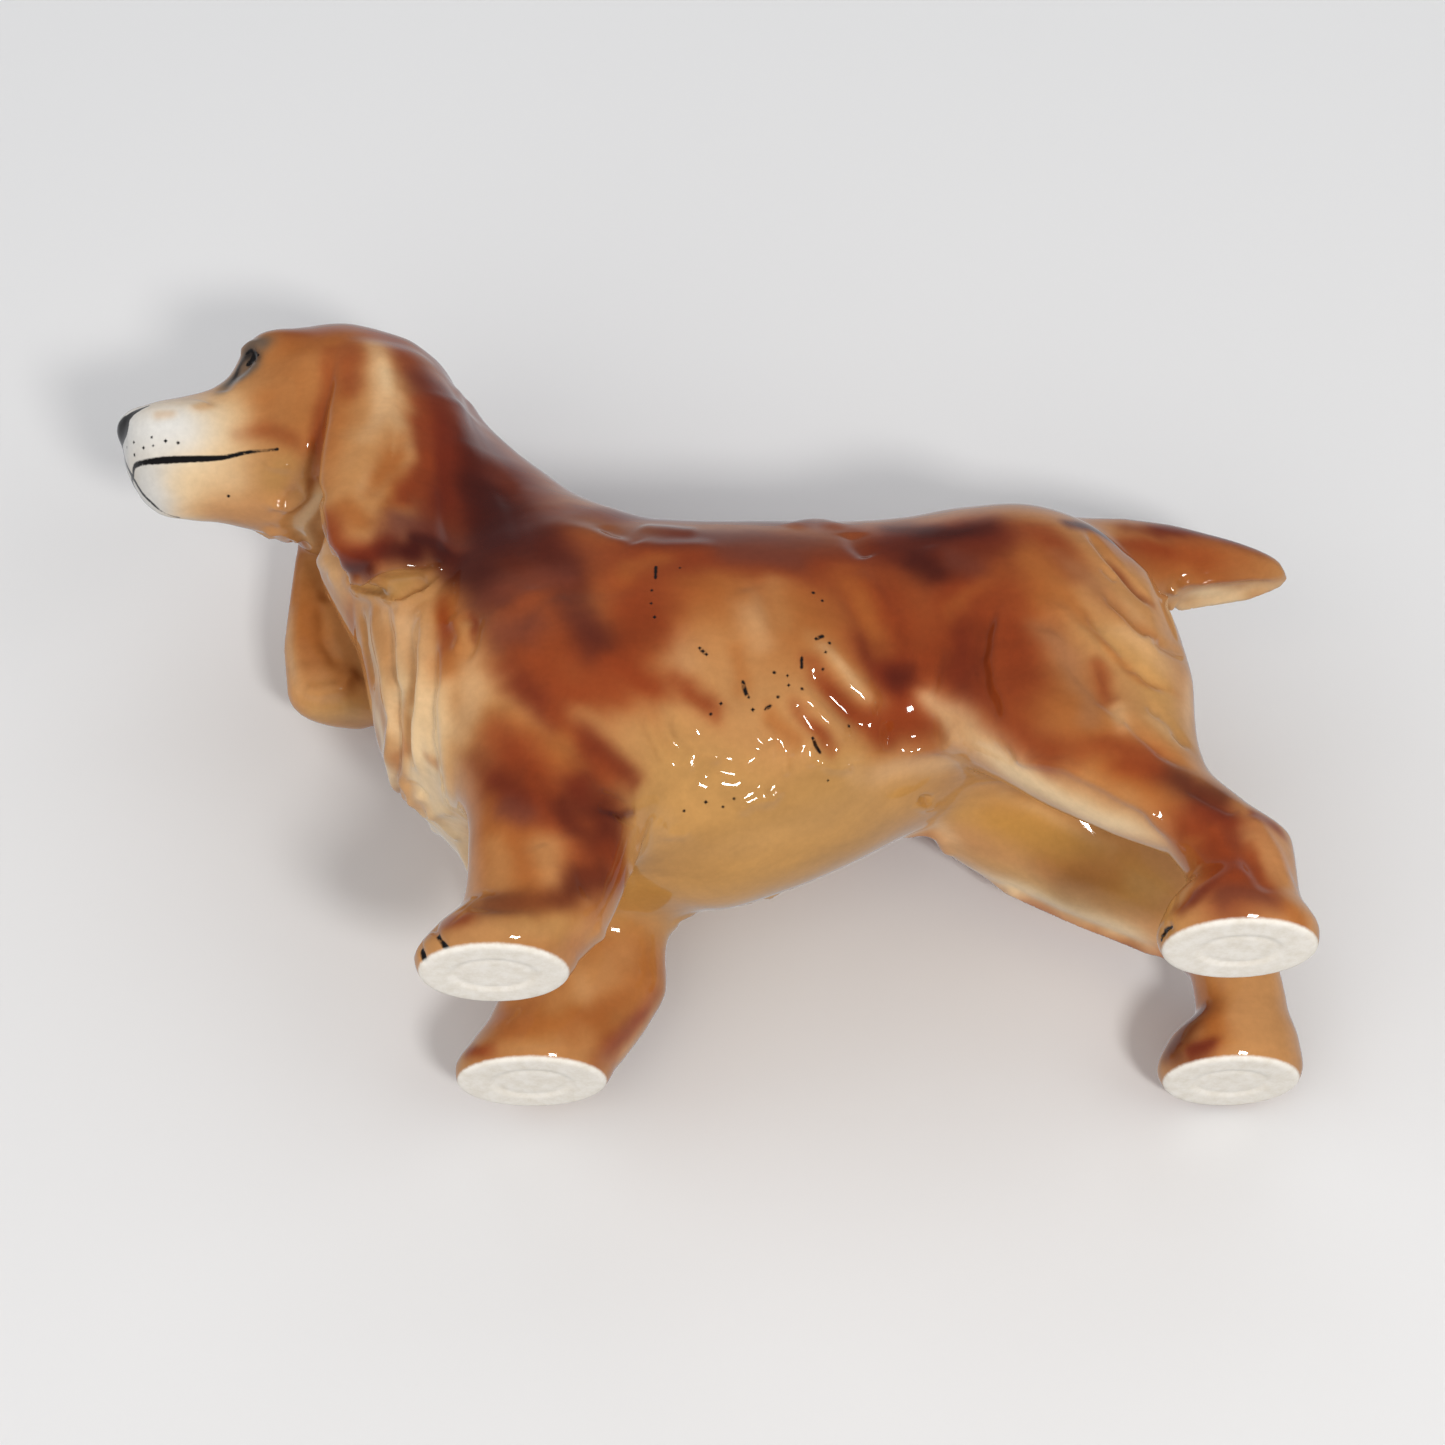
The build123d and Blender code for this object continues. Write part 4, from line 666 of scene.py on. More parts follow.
    (-0.8, 1.1, [(-19.4, 63.2, 74.9), (-20.4, 64.2, 72.0), (-20.8, 65.4, 69.5), (-20.7, 66.9, 67.3), (-20.5, 68.3, 65.2), (-20.3, 70.1, 62.7), (-19.9, 71.7, 60.5)]),
    (-0.5, 0.9, [(22.0, 64.3, 66.8), (21.8, 65.5, 65.4), (21.6, 66.6, 64.2)]),
    (-0.5, 0.9, [(-21.9, 64.4, 66.8), (-21.9, 65.4, 65.3), (-21.5, 66.7, 64.1)]),
    (1, 0.9, [(16.5, 73.8, 63.7), (2.0, 77.7, 75.6), (3.3, 79.5, 76.4), (3.0, 82.1, 76.7), (3.0, 84.3, 77.0), (2.8, 86.9, 77.3), (2.6, 89.8, 77.7), (2.0, 92.4, 77.9), (1.2, 95.7, 78.6)]),
    (1, 0.9, [(-16.6, 73.6, 63.7), (-2.2, 77.7, 75.7), (-3.3, 79.5, 76.4), (-3.0, 82.3, 76.7), (-2.9, 84.3, 77.0), (-2.8, 86.9, 77.3), (-2.5, 90.0, 77.7), (-1.9, 92.2, 77.9), (-1.2, 95.7, 78.7)]),
    (-0.4, 1.4, [(6.3, 77.0, 78.6), (6.0, 79.4, 78.9), (5.6, 81.7, 78.9), (5.4, 83.7, 79.1), (5.1, 85.6, 79.1), (4.5, 88.0, 79.0), (4.1, 89.9, 79.1)]),
    (-0.4, 1.4, [(-6.4, 77.0, 78.7), (-6.1, 79.6, 79.0), (-5.6, 81.8, 78.8), (-5.4, 83.8, 79.2), (-5.1, 85.4, 79.1), (-4.5, 88.0, 78.9), (-4.0, 90.1, 79.0)]),
    (-0.5, 2, [(-0.3, 79.2, 75.7), (-0.3, 81.7, 76.1), (0.2, 84.3, 76.5), (0.0, 87.0, 76.8), (0.2, 89.5, 77.2), (0.2, 91.6, 77.5), (0.6, 93.6, 77.8)]),
    (-0.6, 2.2, [(26.6, -23.9, 43.2), (26.8, -21.8, 41.1), (26.8, -20.2, 39.5), (26.8, -18.1, 37.4), (26.7, -17.0, 35.3), (26.6, -15.5, 33.7), (26.4, -14.5, 32.2), (26.0, -13.2, 30.5), (25.2, -11.4, 28.6), (24.3, -9.8, 27.5), (23.0, -8.5, 25.9)]),
    (-0.6, 2.2, [(-26.5, -23.8, 43.3), (-26.7, -21.7, 41.1), (-26.8, -20.1, 39.6), (-26.7, -18.1, 37.4), (-26.6, -17.0, 35.3), (-26.4, -15.5, 33.7), (-26.2, -14.4, 32.2), (-25.9, -13.4, 30.6), (-25.3, -11.5, 28.5), (-24.5, -9.6, 27.5), (-23.5, -8.0, 25.9)]),
    (-0.6, 2.2, [(26.5, -19.7, 30.1), (26.5, -19.2, 28.0), (26.4, -18.1, 26.4), (26.4, -17.6, 24.3), (26.2, -17.1, 22.2), (25.9, -16.5, 20.0), (25.7, -16.0, 18.0)]),
    (-0.6, 2.2, [(-26.0, -19.7, 30.1), (-26.0, -19.1, 28.0), (-26.1, -18.1, 26.4), (-26.2, -17.6, 24.3), (-26.2, -17.1, 22.2), (-26.1, -16.5, 20.1), (-26.0, -16.0, 18.0)]),
    (-0.8, 1.1, [(25.0, -12.1, 24.1), (24.4, -10.8, 24.2), (23.5, -9.5, 24.3), (22.3, -8.3, 23.8), (20.4, -6.7, 24.1)]),
    (0.6, 1.6, [(25.3, -12.4, 25.4), (24.4, -10.7, 25.3), (23.6, -9.5, 25.2), (22.6, -8.3, 24.9), (20.9, -6.7, 25.1)]),
    (0.5, 2.4, [(26.0, -26.0, 42.1), (26.0, -25.0, 39.5), (26.0, -24.2, 36.7), (26.1, -23.1, 33.8), (26.3, -21.7, 31.1), (26.2, -21.7, 28.5), (26.3, -21.2, 25.9), (26.3, -20.7, 23.8), (26.2, -20.2, 21.1)]),
    (0.5, 2.4, [(-25.8, -25.9, 42.2), (-25.8, -24.8, 39.6), (-25.6, -24.2, 36.6), (-25.6, -23.1, 33.9), (-25.7, -21.6, 31.2), (-25.6, -21.4, 28.5), (-25.6, -20.9, 25.9), (-25.7, -20.5, 23.8), (-25.8, -20.1, 21.1)]),
    (0.5, 2, [(26.1, -20.1, 17.0), (26.2, -19.2, 14.3), (26.4, -18.7, 11.7)]),
    (0.5, 2, [(-25.8, -20.1, 17.0), (-26.1, -19.1, 14.3), (-26.4, -18.6, 11.7)]),
    (-0.6, 1.8, [(25.4, -15.0, 16.4), (25.1, -14.2, 13.9), (24.7, -13.6, 11.7), (24.0, -12.9, 10.4), (23.4, -12.7, 9.0)]),
    (-0.5, 1.3, [(25.8, -29.8, 7.4), (27.3, -27.5, 6.4), (27.7, -25.4, 5.9), (27.8, -23.3, 5.9), (27.4, -20.8, 5.9), (26.8, -18.9, 5.9)]),
    (-0.5, 1.3, [(-25.2, -29.2, 7.0), (-26.6, -27.3, 6.2), (-27.2, -25.5, 6.0), (-27.6, -23.3, 5.8), (-27.5, -20.7, 5.9), (-27.2, -18.6, 5.9)]),
    (0.6, 1.6, [(20.7, -12.3, 6.4), (15.3, -11.8, 7.4)]),
    (0.35, 1.2, [(18.4, -4.5, 26.6), (18.0, -5.3, 24.9), (17.5, -5.9, 23.2), (17.0, -6.5, 21.6), (15.5, -7.0, 20.5), (16.4, -7.5, 17.9), (0.8, -9.2, 23.7), (-4.5, -9.7, 23.5)]),
    (-0.6, 0.8, [(22.6, -35.1, 5.7), (25.8, -34.2, 2.3), (25.6, -32.8, 0.5)]),
    (-0.6, 0.8, [(21.9, -37.2, 3.5), (22.8, -36.9, 1.7), (22.1, -36.3, 0.2)]),
    (-0.6, 0.8, [(23.8, 68.3, 1.8), (26.8, 69.6, 1.8)]),
    (-0.12, 0.9, [(13.9, -89.2, 95.1), (16.6, -86.5, 94.6), (17.2, -83.7, 94.5), (17.1, -81.1, 94.6), (16.8, -78.5, 95.2), (16.4, -76.1, 95.5), (16.3, -74.2, 96.1), (16.0, -72.2, 96.2), (16.1, -70.1, 96.6), (16.2, -68.1, 96.6), (16.8, -65.9, 96.5)]),
    (-0.12, 0.9, [(10.2, -90.3, 95.1), (6.5, -89.5, 94.6), (4.4, -87.5, 94.5), (3.1, -85.0, 94.6), (2.0, -82.8, 95.1), (0.9, -80.3, 95.5), (0.1, -79.0, 96.2), (-0.8, -76.9, 96.3), (-1.9, -75.4, 96.7), (-3.2, -73.5, 96.6), (-4.6, -72.1, 96.4)]),
    (1.1, 1.2, [(9.7, -68.0, 90.9), (9.1, -66.4, 90.8), (8.6, -64.9, 91.0), (10.1, -62.2, 92.1), (11.8, -61.7, 92.6), (13.4, -61.7, 93.1)]),
    (1.1, 1.2, [(2.3, -70.1, 90.9), (2.2, -68.5, 90.8), (1.8, -66.9, 91.0), (-0.8, -65.3, 92.1), (-2.7, -65.6, 92.6), (-4.0, -66.9, 93.1)]),
    (0.6, 1.2, [(15.3, -68.5, 95.4), (15.0, -66.4, 94.6), (15.3, -63.7, 94.3)]),
    (0.6, 1.2, [(-2.2, -73.5, 95.6), (-3.0, -71.7, 94.7), (-4.5, -69.5, 94.2)]),
    (-0.3, 1.1, [(5.0, -69.5, 90.2), (3.8, -68.5, 90.4), (1.4, -67.4, 91.1), (-2.4, -66.6, 92.6), (-5.5, -65.8, 93.3)]),
    (-0.3, 1.1, [(7.0, -69.0, 90.2), (7.8, -67.3, 90.4), (9.1, -65.4, 91.0), (11.8, -62.7, 92.5), (14.2, -60.1, 93.3)]),
    (0.7, 1.7, [(7.0, -63.3, 91.2), (3.4, -62.7, 91.3), (-1.8, -62.7, 92.3), (-7.6, -62.7, 93.7), (5.1, -58.7, 81.9), (5.5, -57.4, 79.3), (5.9, -55.8, 76.3)]),
    (0.7, 1.7, [(2.0, -64.8, 91.2), (4.9, -62.2, 91.2), (9.1, -59.6, 91.9), (14.5, -56.4, 93.4), (-5.2, -58.8, 82.1), (-5.5, -57.4, 79.5), (-5.9, -55.9, 76.5)]),
    (-0.4, 2.2, [(17.9, -74.3, 100.0), (17.6, -72.5, 100.1), (17.5, -70.6, 100.0), (17.6, -68.3, 99.8), (17.8, -66.3, 98.5), (17.9, -64.2, 97.0), (17.5, -62.1, 95.7)]),
    (-0.4, 2.2, [(-1.3, -79.9, 100.1), (-1.9, -78.0, 100.0), (-2.9, -76.3, 100.0), (-4.2, -74.5, 99.9), (-5.4, -73.0, 98.6), (-6.6, -71.3, 97.1), (-7.3, -69.2, 95.7)]),
    (-0.4, 1.8, [(16.9, -75.8, 108.3), (16.2, -75.0, 110.7), (15.7, -74.1, 112.6), (16.1, -72.9, 113.6), (16.8, -71.9, 114.6)]),
    (-0.4, 1.8, [(0.3, -80.5, 108.4), (0.4, -79.5, 110.5), (0.3, -78.4, 112.5), (-0.4, -77.7, 113.7), (-1.7, -77.1, 114.6)]),
    (-0.6, 1.5, [(16.3, -72.6, 115.1), (17.6, -70.7, 115.2)]),
    (-0.6, 1.5, [(-0.8, -77.5, 115.1), (-2.9, -76.6, 115.1)]),
    (0.6, 1.1, [(14.4, -73.8, 118.3), (16.8, -72.0, 118.2), (18.3, -69.6, 116.7)]),
    (0.6, 1.1, [(1.3, -77.5, 118.3), (-1.8, -77.2, 118.3), (-4.1, -76.0, 116.7)]),
    (0.35, 2.2, [(18.2, -77.9, 105.2), (19.1, -79.0, 103.5), (19.5, -80.0, 102.5)]),
    (0.35, 2.2, [(0.4, -83.1, 105.1), (0.2, -84.3, 103.5), (0.3, -85.3, 102.5)]),
    (-0.8, 0.9, [(3.3, 35.9, 37.0), (1.3, 37.7, 37.8)]),
    (0.4, 1, [(2.8, 35.3, 36.6), (0.2, 36.7, 37.2), (-1.3, 38.7, 38.4)]),
    (0.8, 1.4, [(-14.2, -64.4, 70.4), (-14.0, -61.7, 69.5), (-13.8, -60.1, 69.9), (-13.9, -57.9, 70.4), (-13.9, -56.9, 72.2), (-14.2, -55.7, 73.7)]),
    (-0.7, 1.4, [(-12.4, -62.7, 86.8), (-12.7, -62.2, 84.2), (-12.9, -61.9, 81.8), (-13.1, -61.7, 79.4), (-13.3, -60.1, 76.8), (-13.5, -59.1, 74.2)]),
    (0.5, 1.6, [(-12.8, -66.0, 87.2), (-13.1, -66.0, 84.1), (-13.3, -65.9, 81.0), (-13.6, -65.8, 77.9), (-13.9, -65.5, 75.3), (-13.9, -64.8, 72.6), (-14.2, -64.4, 70.4)]),
    (-0.4, 2, [(-15.5, -61.7, 68.0), (-15.7, -59.6, 67.9), (-15.8, -57.5, 68.1)]),
]


def relief(P):
    h = np.zeros(len(P))
    for amount, width, pts in RELIEF:
        d, al = line_distance(P, curve(pts), width * 2.2)
        g = np.exp(-(d / width) ** 2 * 1.6)
        ends = smooth(np.minimum(al, 1 - al) / 0.22 + 0.25) if len(pts) > 1 else 1.0
        h += amount * g * ends * (d < 900)
    return h


def rgb(h):
    return np.array([int(h[i:i + 2], 16) for i in (0, 2, 4)]) / 255.0


# the airbrush's colours, as seen; the greyed brown among them is dark brown with a painted sheen, the pale glaze
# reflection over the dark brown
C = {
    "cream": rgb("edcfa2"), "white": rgb("e0ded9"), "sand": rgb("d6aa7b"), "tan": rgb("c08a55"), "gold": rgb("bf9054"),
    "orange": rgb("a8612c"), "rust": rgb("8a3a18"), "brown": rgb("6a2512"), "umber": rgb("45160e"),
    "plum": rgb("451c1a"), "mauve": rgb("6c392e"), "sandmauve": rgb("a6704a"), "olive": rgb("c69149"), "ivory": rgb("e8e4dc"),
    "ink": rgb("15110f"), "dark": rgb("2a2422"), "grey": rgb("57524f"),
}
PAINT = [
    ("rust", 0.85, 13, 10, [(1.3, -37.9, 115.9), (0.2, -28.0, 104.6), (0.2, -15.9, 93.2), (0.2, -1.8, 87.8), (0.2, 13.4, 87.2), (-0.3, 29.7, 87.5), (0.2, 43.8, 89.9), (0.2, 53.3, 90.1)]),
    ("brown", 0.6, 5, 7, [(1.8, -39.9, 119.1), (0.2, -30.0, 106.9), (-0.3, -17.7, 94.6), (-0.3, -7.9, 89.2)]),
    ("brown", 0.5, 3.5, 6, [(0.0, 4.1, 87.3), (0.2, 14.5, 87.2), (0.2, 28.0, 87.4), (0.2, 37.6, 88.7), (0.2, 47.0, 90.0)]),
    ("tan", 0.6, 6, 8, [(0.2, 56.5, 89.9), (0.2, 65.9, 89.8)]),
    ("brown", 0.7, 3, 4, [(0.2, 68.5, 89.8), (0.2, 76.4, 89.0), (0.2, 84.2, 86.8)]),
    ("orange", 0.75, 11, 10, [(1.8, -72.1, 123.9), (3.9, -64.2, 128.2), (3.4, -59.1, 129.0), (1.8, -51.6, 128.1)]),
    ("rust", 0.8, 10, 9, [(2.8, -58.0, 129.0), (1.8, -49.8, 127.6), (1.3, -43.7, 124.2), (1.3, -37.9, 115.9)]),
    ("orange", 0.8, 10.8, 9.2, [(27.0, -23.9, 51.6), (26.6, -6.0, 57.4), (26.1, 11.8, 58.9), (22.9, 30.3, 60.5), (23.1, 45.5, 60.0)]),
    ("orange", 0.8, 10.8, 9.2, [(-27.0, -23.8, 51.6), (-26.7, -6.0, 57.3), (-26.1, 11.8, 59.0), (-22.9, 30.2, 60.5), (-23.0, 45.4, 60.0)]),
    ("gold", 0.9, 9.2, 7.7, [(14.4, -3.3, 25.8), (10.9, 11.3, 27.7), (9.2, 26.4, 33.4)]),
    ("gold", 0.9, 9.2, 7.7, [(-14.5, -2.7, 25.2), (-10.9, 11.4, 27.7), (-9.2, 26.5, 33.5)]),
    ("gold", 0.8, 6.2, 6.2, [(20.4, 2.9, 34.1), (17.3, 14.6, 33.9), (12.8, 24.9, 34.8)]),
    ("gold", 0.8, 6.2, 6.2, [(-20.3, 2.9, 34.1), (-17.2, 14.7, 33.9), (-12.8, 24.8, 34.8)]),
    ("olive", 0.75, 3.4, 6.2, [(2.8, -7.1, 23.6), (2.1, 1.8, 23.2), (-0.8, 12.8, 25.4), (0.2, 23.5, 29.8)]),
    ("olive", 0.75, 3.4, 6.2, [(-2.9, -7.1, 23.6), (-2.1, 1.8, 23.2), (0.7, 12.8, 25.4), (-0.3, 23.5, 29.8)]),
    ("tan", 0.8, 4.3, 4.6, [(25.1, 1.3, 43.8), (24.4, 6.1, 42.1), (20.9, 14.9, 38.8)]),
    ("tan", 0.8, 4.3, 4.6, [(-25.1, 1.3, 43.7), (-24.4, 6.2, 42.2), (-20.9, 15.1, 38.8)]),
    ("tan", 0.55, 3.4, 4.6, [(26.4, 2.9, 50.0), (25.9, 7.4, 48.1)]),
    ("tan", 0.55, 3.4, 4.6, [(-26.4, 2.9, 49.9), (-25.9, 7.6, 48.0)]),
    ("sand", 0.6, 1.4, 2.2, [(26.1, 9.2, 60.9), (26.3, 10.8, 55.8), (25.8, 12.4, 51.0)]),
    ("sand", 0.6, 1.4, 2.2, [(-26.1, 9.2, 61.1), (-26.3, 10.8, 55.8), (-25.8, 12.3, 51.1)]),
    ("sand", 0.35, 1.4, 2.2, [(26.6, -0.8, 51.6), (25.9, 0.8, 47.0)]),
    ("sand", 0.35, 1.4, 2.2, [(-26.6, -0.8, 51.5), (-25.9, 0.8, 46.9)]),
    ("gold", 0.5, 1.8, 2.5, [(15.7, 20.6, 35.0), (12.1, 29.7, 37.1), (6.1, 42.3, 40.0)]),
    ("gold", 0.5, 1.8, 2.5, [(-15.7, 20.8, 35.1), (-12.0, 29.9, 37.0), (-6.1, 42.2, 39.9)]),
    ("rust", 1, 4.3, 5.5, [(24.7, -19.0, 71.8), (24.8, -6.4, 67.6), (24.2, 6.0, 68.8), (23.7, 18.1, 67.9), (21.0, 30.7, 71.3), (21.3, 42.8, 72.6), (23.2, 51.7, 69.9)]),
    ("rust", 1, 4.3, 5.5, [(-24.7, -19.2, 71.9), (-24.8, -6.6, 67.7), (-24.3, 6.1, 68.7), (-23.7, 18.1, 67.8), (-20.9, 30.7, 71.5), (-21.3, 42.7, 72.6), (-23.2, 51.7, 70.1)]),
    # greyed brown along the upper back: painted sheen over the dark brown
    ("mauve", 0.8, 2.5, 3.4, [(20.9, -14.5, 78.1), (21.0, -5.0, 75.5), (21.6, 5.5, 74.1), (21.7, 16.5, 73.0), (21.1, 26.0, 72.4)]),
    ("mauve", 0.8, 2.5, 3.4, [(-21.0, -14.4, 78.0), (-21.0, -5.0, 75.5), (-21.7, 5.5, 74.0), (-21.7, 16.5, 73.0), (-21.1, 26.0, 72.3)]),
    ("brown", 0.95, 2, 2.8, [(20.8, -19.3, 80.0), (16.7, -10.3, 82.2), (14.6, 0.8, 82.3), (16.1, 15.0, 80.6), (17.7, 26.0, 78.0)]),
    ("brown", 0.95, 2, 2.8, [(-20.8, -19.1, 80.0), (-16.7, -10.1, 82.1), (-14.7, 0.9, 82.2), (-16.1, 15.0, 80.5), (-17.7, 26.0, 78.0)]),
    # greyed brown on the upper flank: painted sheen
    ("mauve", 0.6, 1.8, 2.5, [(24.2, 7.6, 68.8), (23.9, 16.6, 67.9)]),
    ("mauve", 0.6, 1.8, 2.5, [(-24.2, 7.6, 68.7), (-23.9, 16.5, 67.8)]),
    ("brown", 0.62, 1.4, 2.2, [(23.2, -6.6, 71.5), (22.1, 2.9, 73.4)]),
    ("brown", 0.62, 1.4, 2.2, [(-23.3, -6.5, 71.4), (-22.1, 2.9, 73.4)]),
    ("orange", 0.7, 1.8, 2.8, [(26.2, 1.3, 62.0), (26.2, 7.6, 61.0)]),
    ("orange", 0.7, 1.8, 2.8, [(-26.2, 1.3, 62.1), (-26.2, 7.6, 61.1)]),
    ("orange", 0.6, 1.5, 2.5, [(23.3, 26.0, 65.3), (23.5, 27.6, 61.6)]),
    ("orange", 0.6, 1.5, 2.5, [(-23.3, 26.1, 65.4), (-23.5, 27.5, 61.5)]),
    ("rust", 0.5, 1.4, 2.2, [(26.5, -6.0, 58.9), (26.5, -2.9, 51.6)]),
    ("rust", 0.5, 1.4, 2.2, [(-26.6, -6.1, 59.1), (-26.6, -2.8, 51.4)]),
    ("tan", 0.5, 1.5, 2.5, [(25.6, 14.5, 61.1), (25.6, 16.6, 55.3)]),
    ("tan", 0.5, 1.5, 2.5, [(-25.6, 14.3, 60.9), (-25.5, 16.6, 55.4)]),
    ("orange", 0.5, 1.5, 2.5, [(25.3, 18.1, 59.5), (24.9, 19.4, 54.0)]),
    ("orange", 0.5, 1.5, 2.5, [(-25.3, 18.2, 59.5), (-24.9, 19.7, 53.7)]),
    ("brown", 1, 6.2, 5.5, [(20.2, -41.2, 103.1), (20.1, -34.0, 91.0), (21.5, -28.6, 78.1), (26.1, -21.8, 67.1)]),
    ("brown", 1, 6.2, 5.5, [(-21.0, -52.8, 103.1), (-24.4, -46.8, 91.0), (-21.5, -28.6, 78.1), (-26.1, -21.8, 66.8)]),
    ("umber", 1, 4, 4.6, [(20.1, -34.3, 93.1), (20.5, -30.2, 80.8), (25.6, -28.1, 65.8)]),
    ("umber", 1, 4, 4.6, [(-24.2, -47.0, 93.1), (-20.4, -29.9, 80.8), (-25.5, -28.0, 65.7)]),
    ("umber", 0.78, 2.2, 3.1, [(24.6, -38.8, 71.6), (23.5, -32.9, 67.3), (26.3, -27.5, 60.0)]),
    ("umber", 0.78, 2.2, 3.1, [(-20.8, -37.0, 71.0), (-23.4, -32.8, 67.3), (-26.1, -27.6, 60.0)]),
    ("brown", 0.9, 2.2, 2.5, [(17.9, -43.4, 111.3), (17.0, -37.6, 105.6), (13.8, -30.2, 96.7), (17.8, -22.8, 85.5)]),
    ("brown", 0.9, 2.2, 2.5, [(-17.8, -53.8, 111.5), (-19.9, -48.1, 105.6), (-19.5, -42.5, 95.5), (-17.8, -22.8, 85.4)]),
    # greyed brown on the top of the neck: painted sheen
    ("mauve", 0.55, 1.5, 2.5, [(16.7, -46.2, 116.6), (19.0, -42.3, 107.2), (21.4, -39.1, 96.2)]),
    ("mauve", 0.55, 1.5, 2.5, [(-15.3, -55.4, 116.9), (-19.4, -53.2, 107.4), (-23.0, -51.7, 96.3)]),
    ("rust", 0.62, 1.2, 2.2, [(22.4, -41.2, 93.6), (22.9, -39.4, 85.4), (23.0, -37.9, 77.3)]),
    ("rust", 0.62, 1.2, 2.2, [(-22.7, -54.3, 93.6), (-20.7, -42.6, 85.8), (-19.9, -37.1, 76.8)]),
    # greyed brown on the neck: painted sheen
    ("mauve", 0.4, 1.5, 2.5, [(18.0, -32.8, 94.6), (17.7, -29.5, 88.8)]),
    ("mauve", 0.4, 1.5, 2.5, [(-22.9, -44.9, 94.7), (-17.2, -29.7, 88.5)]),
    ("umber", 0.67, 2.5, 3.4, [(25.0, -21.8, 71.6), (26.6, -17.1, 63.2)]),
    ("umber", 0.67, 2.5, 3.4, [(-25.0, -21.8, 71.5), (-26.6, -17.1, 63.2)]),
    # greyed brown on the shoulder: painted sheen
    ("mauve", 0.65, 1.8, 2.8, [(25.9, -29.1, 58.9), (26.6, -24.4, 61.1), (26.4, -18.6, 64.2)]),
    ("mauve", 0.65, 1.8, 2.8, [(-25.8, -28.9, 58.9), (-26.6, -24.4, 61.1), (-26.5, -18.6, 64.0)]),
    ("rust", 0.95, 4.6, 4.6, [(27.3, -21.2, 55.3), (27.5, -14.9, 51.1), (26.9, -8.9, 49.5), (26.5, -6.0, 58.9), (25.4, -5.0, 65.2)]),
    ("rust", 0.95, 4.6, 4.6, [(-27.3, -21.3, 55.3), (-27.6, -14.8, 51.1), (-27.1, -9.2, 49.5), (-26.6, -6.1, 59.1), (-25.5, -4.9, 65.2)]),
    ("rust", 0.9, 3.4, 3.7, [(27.0, -23.9, 50.0), (27.2, -17.6, 42.7), (26.8, -11.8, 42.6)]),
    ("rust", 0.9, 3.4, 3.7, [(-27.0, -23.8, 50.0), (-27.2, -17.6, 42.7), (-26.9, -11.8, 42.7)]),
    # greyed brown on the shoulder: painted sheen
    ("mauve", 0.55, 1.8, 2.8, [(26.4, -27.0, 53.2), (27.2, -22.7, 54.2)]),
    ("mauve", 0.55, 1.8, 2.8, [(-26.2, -27.1, 53.2), (-27.2, -22.8, 54.2)]),
    ("plum", 0.6, 1.7, 2.5, [(27.2, -16.5, 57.9), (27.4, -14.4, 54.2), (27.3, -11.8, 50.0)]),
    ("plum", 0.6, 1.7, 2.5, [(-27.3, -16.5, 57.9), (-27.6, -14.4, 54.3), (-27.4, -11.8, 50.0)]),
    ("rust", 0.9, 1.5, 2.2, [(26.9, -9.1, 47.9), (26.1, -6.1, 44.8), (25.5, -3.9, 43.7)]),
    ("rust", 0.9, 1.5, 2.2, [(-27.0, -9.2, 47.9), (-26.1, -6.0, 44.8), (-25.6, -4.0, 43.8)]),
    ("orange", 0.5, 1.5, 1.8, [(25.7, -7.6, 64.3), (24.7, -3.4, 67.6)]),
    ("orange", 0.5, 1.5, 1.8, [(-25.8, -7.6, 64.6), (-24.7, -3.3, 67.7)]),
    ("tan", 0.85, 2.8, 2.8, [(24.7, -30.4, 45.3), (25.6, -26.6, 41.1), (26.2, -23.7, 37.5)]),
    ("tan", 0.85, 2.8, 2.8, [(-24.5, -30.2, 45.3), (-25.5, -26.5, 41.2), (-25.9, -23.8, 37.4)]),
    ("sand", 0.7, 1.8, 2.3, [(24.5, -31.8, 49.0), (24.4, -30.2, 43.2), (22.3, -32.4, 38.9)]),
    ("sand", 0.7, 1.8, 2.3, [(-24.3, -31.6, 49.0), (-24.1, -30.3, 43.1), (-22.1, -31.9, 39.2)]),
    ("orange", 0.7, 1.8, 2.2, [(25.8, -25.3, 38.5), (26.5, -20.7, 34.3), (26.4, -16.0, 29.0)]),
    ("orange", 0.7, 1.8, 2.2, [(-25.5, -25.4, 38.5), (-26.2, -20.7, 34.3), (-26.2, -16.0, 29.0)]),
    ("brown", 0.75, 1.2, 2.2, [(26.4, -26.0, 47.4), (26.8, -22.3, 42.7), (26.9, -18.1, 38.5)]),
    ("brown", 0.75, 1.2, 2.2, [(-26.4, -25.7, 47.4), (-26.8, -22.2, 42.7), (-26.8, -18.1, 38.5)]),
    ("rust", 0.78, 1.4, 1.8, [(26.9, -18.1, 38.5), (26.5, -14.4, 35.3), (25.6, -11.7, 31.1)]),
    ("rust", 0.78, 1.4, 1.8, [(-26.8, -18.1, 38.5), (-26.4, -14.4, 35.2), (-25.5, -11.7, 31.2)]),
    ("brown", 0.8, 1.2, 2, [(26.1, -12.5, 34.8), (25.0, -9.9, 31.4), (22.8, -7.1, 29.0)]),
    ("brown", 0.8, 1.2, 2, [(-26.1, -12.3, 34.8), (-24.9, -9.8, 31.6), (-23.0, -7.0, 29.1)]),
    ("tan", 0.5, 1.4, 1.8, [(26.6, -13.4, 38.5), (25.4, -8.7, 36.9), (23.6, -5.9, 34.2)]),
    ("tan", 0.5, 1.4, 1.8, [(-26.7, -13.4, 38.5), (-25.4, -8.7, 37.0), (-23.7, -6.1, 34.3)]),
    ("orange", 0.9, 5.2, 3.7, [(24.7, -26.3, 26.9), (25.7, -23.0, 16.5), (26.9, -19.7, 9.0)]),
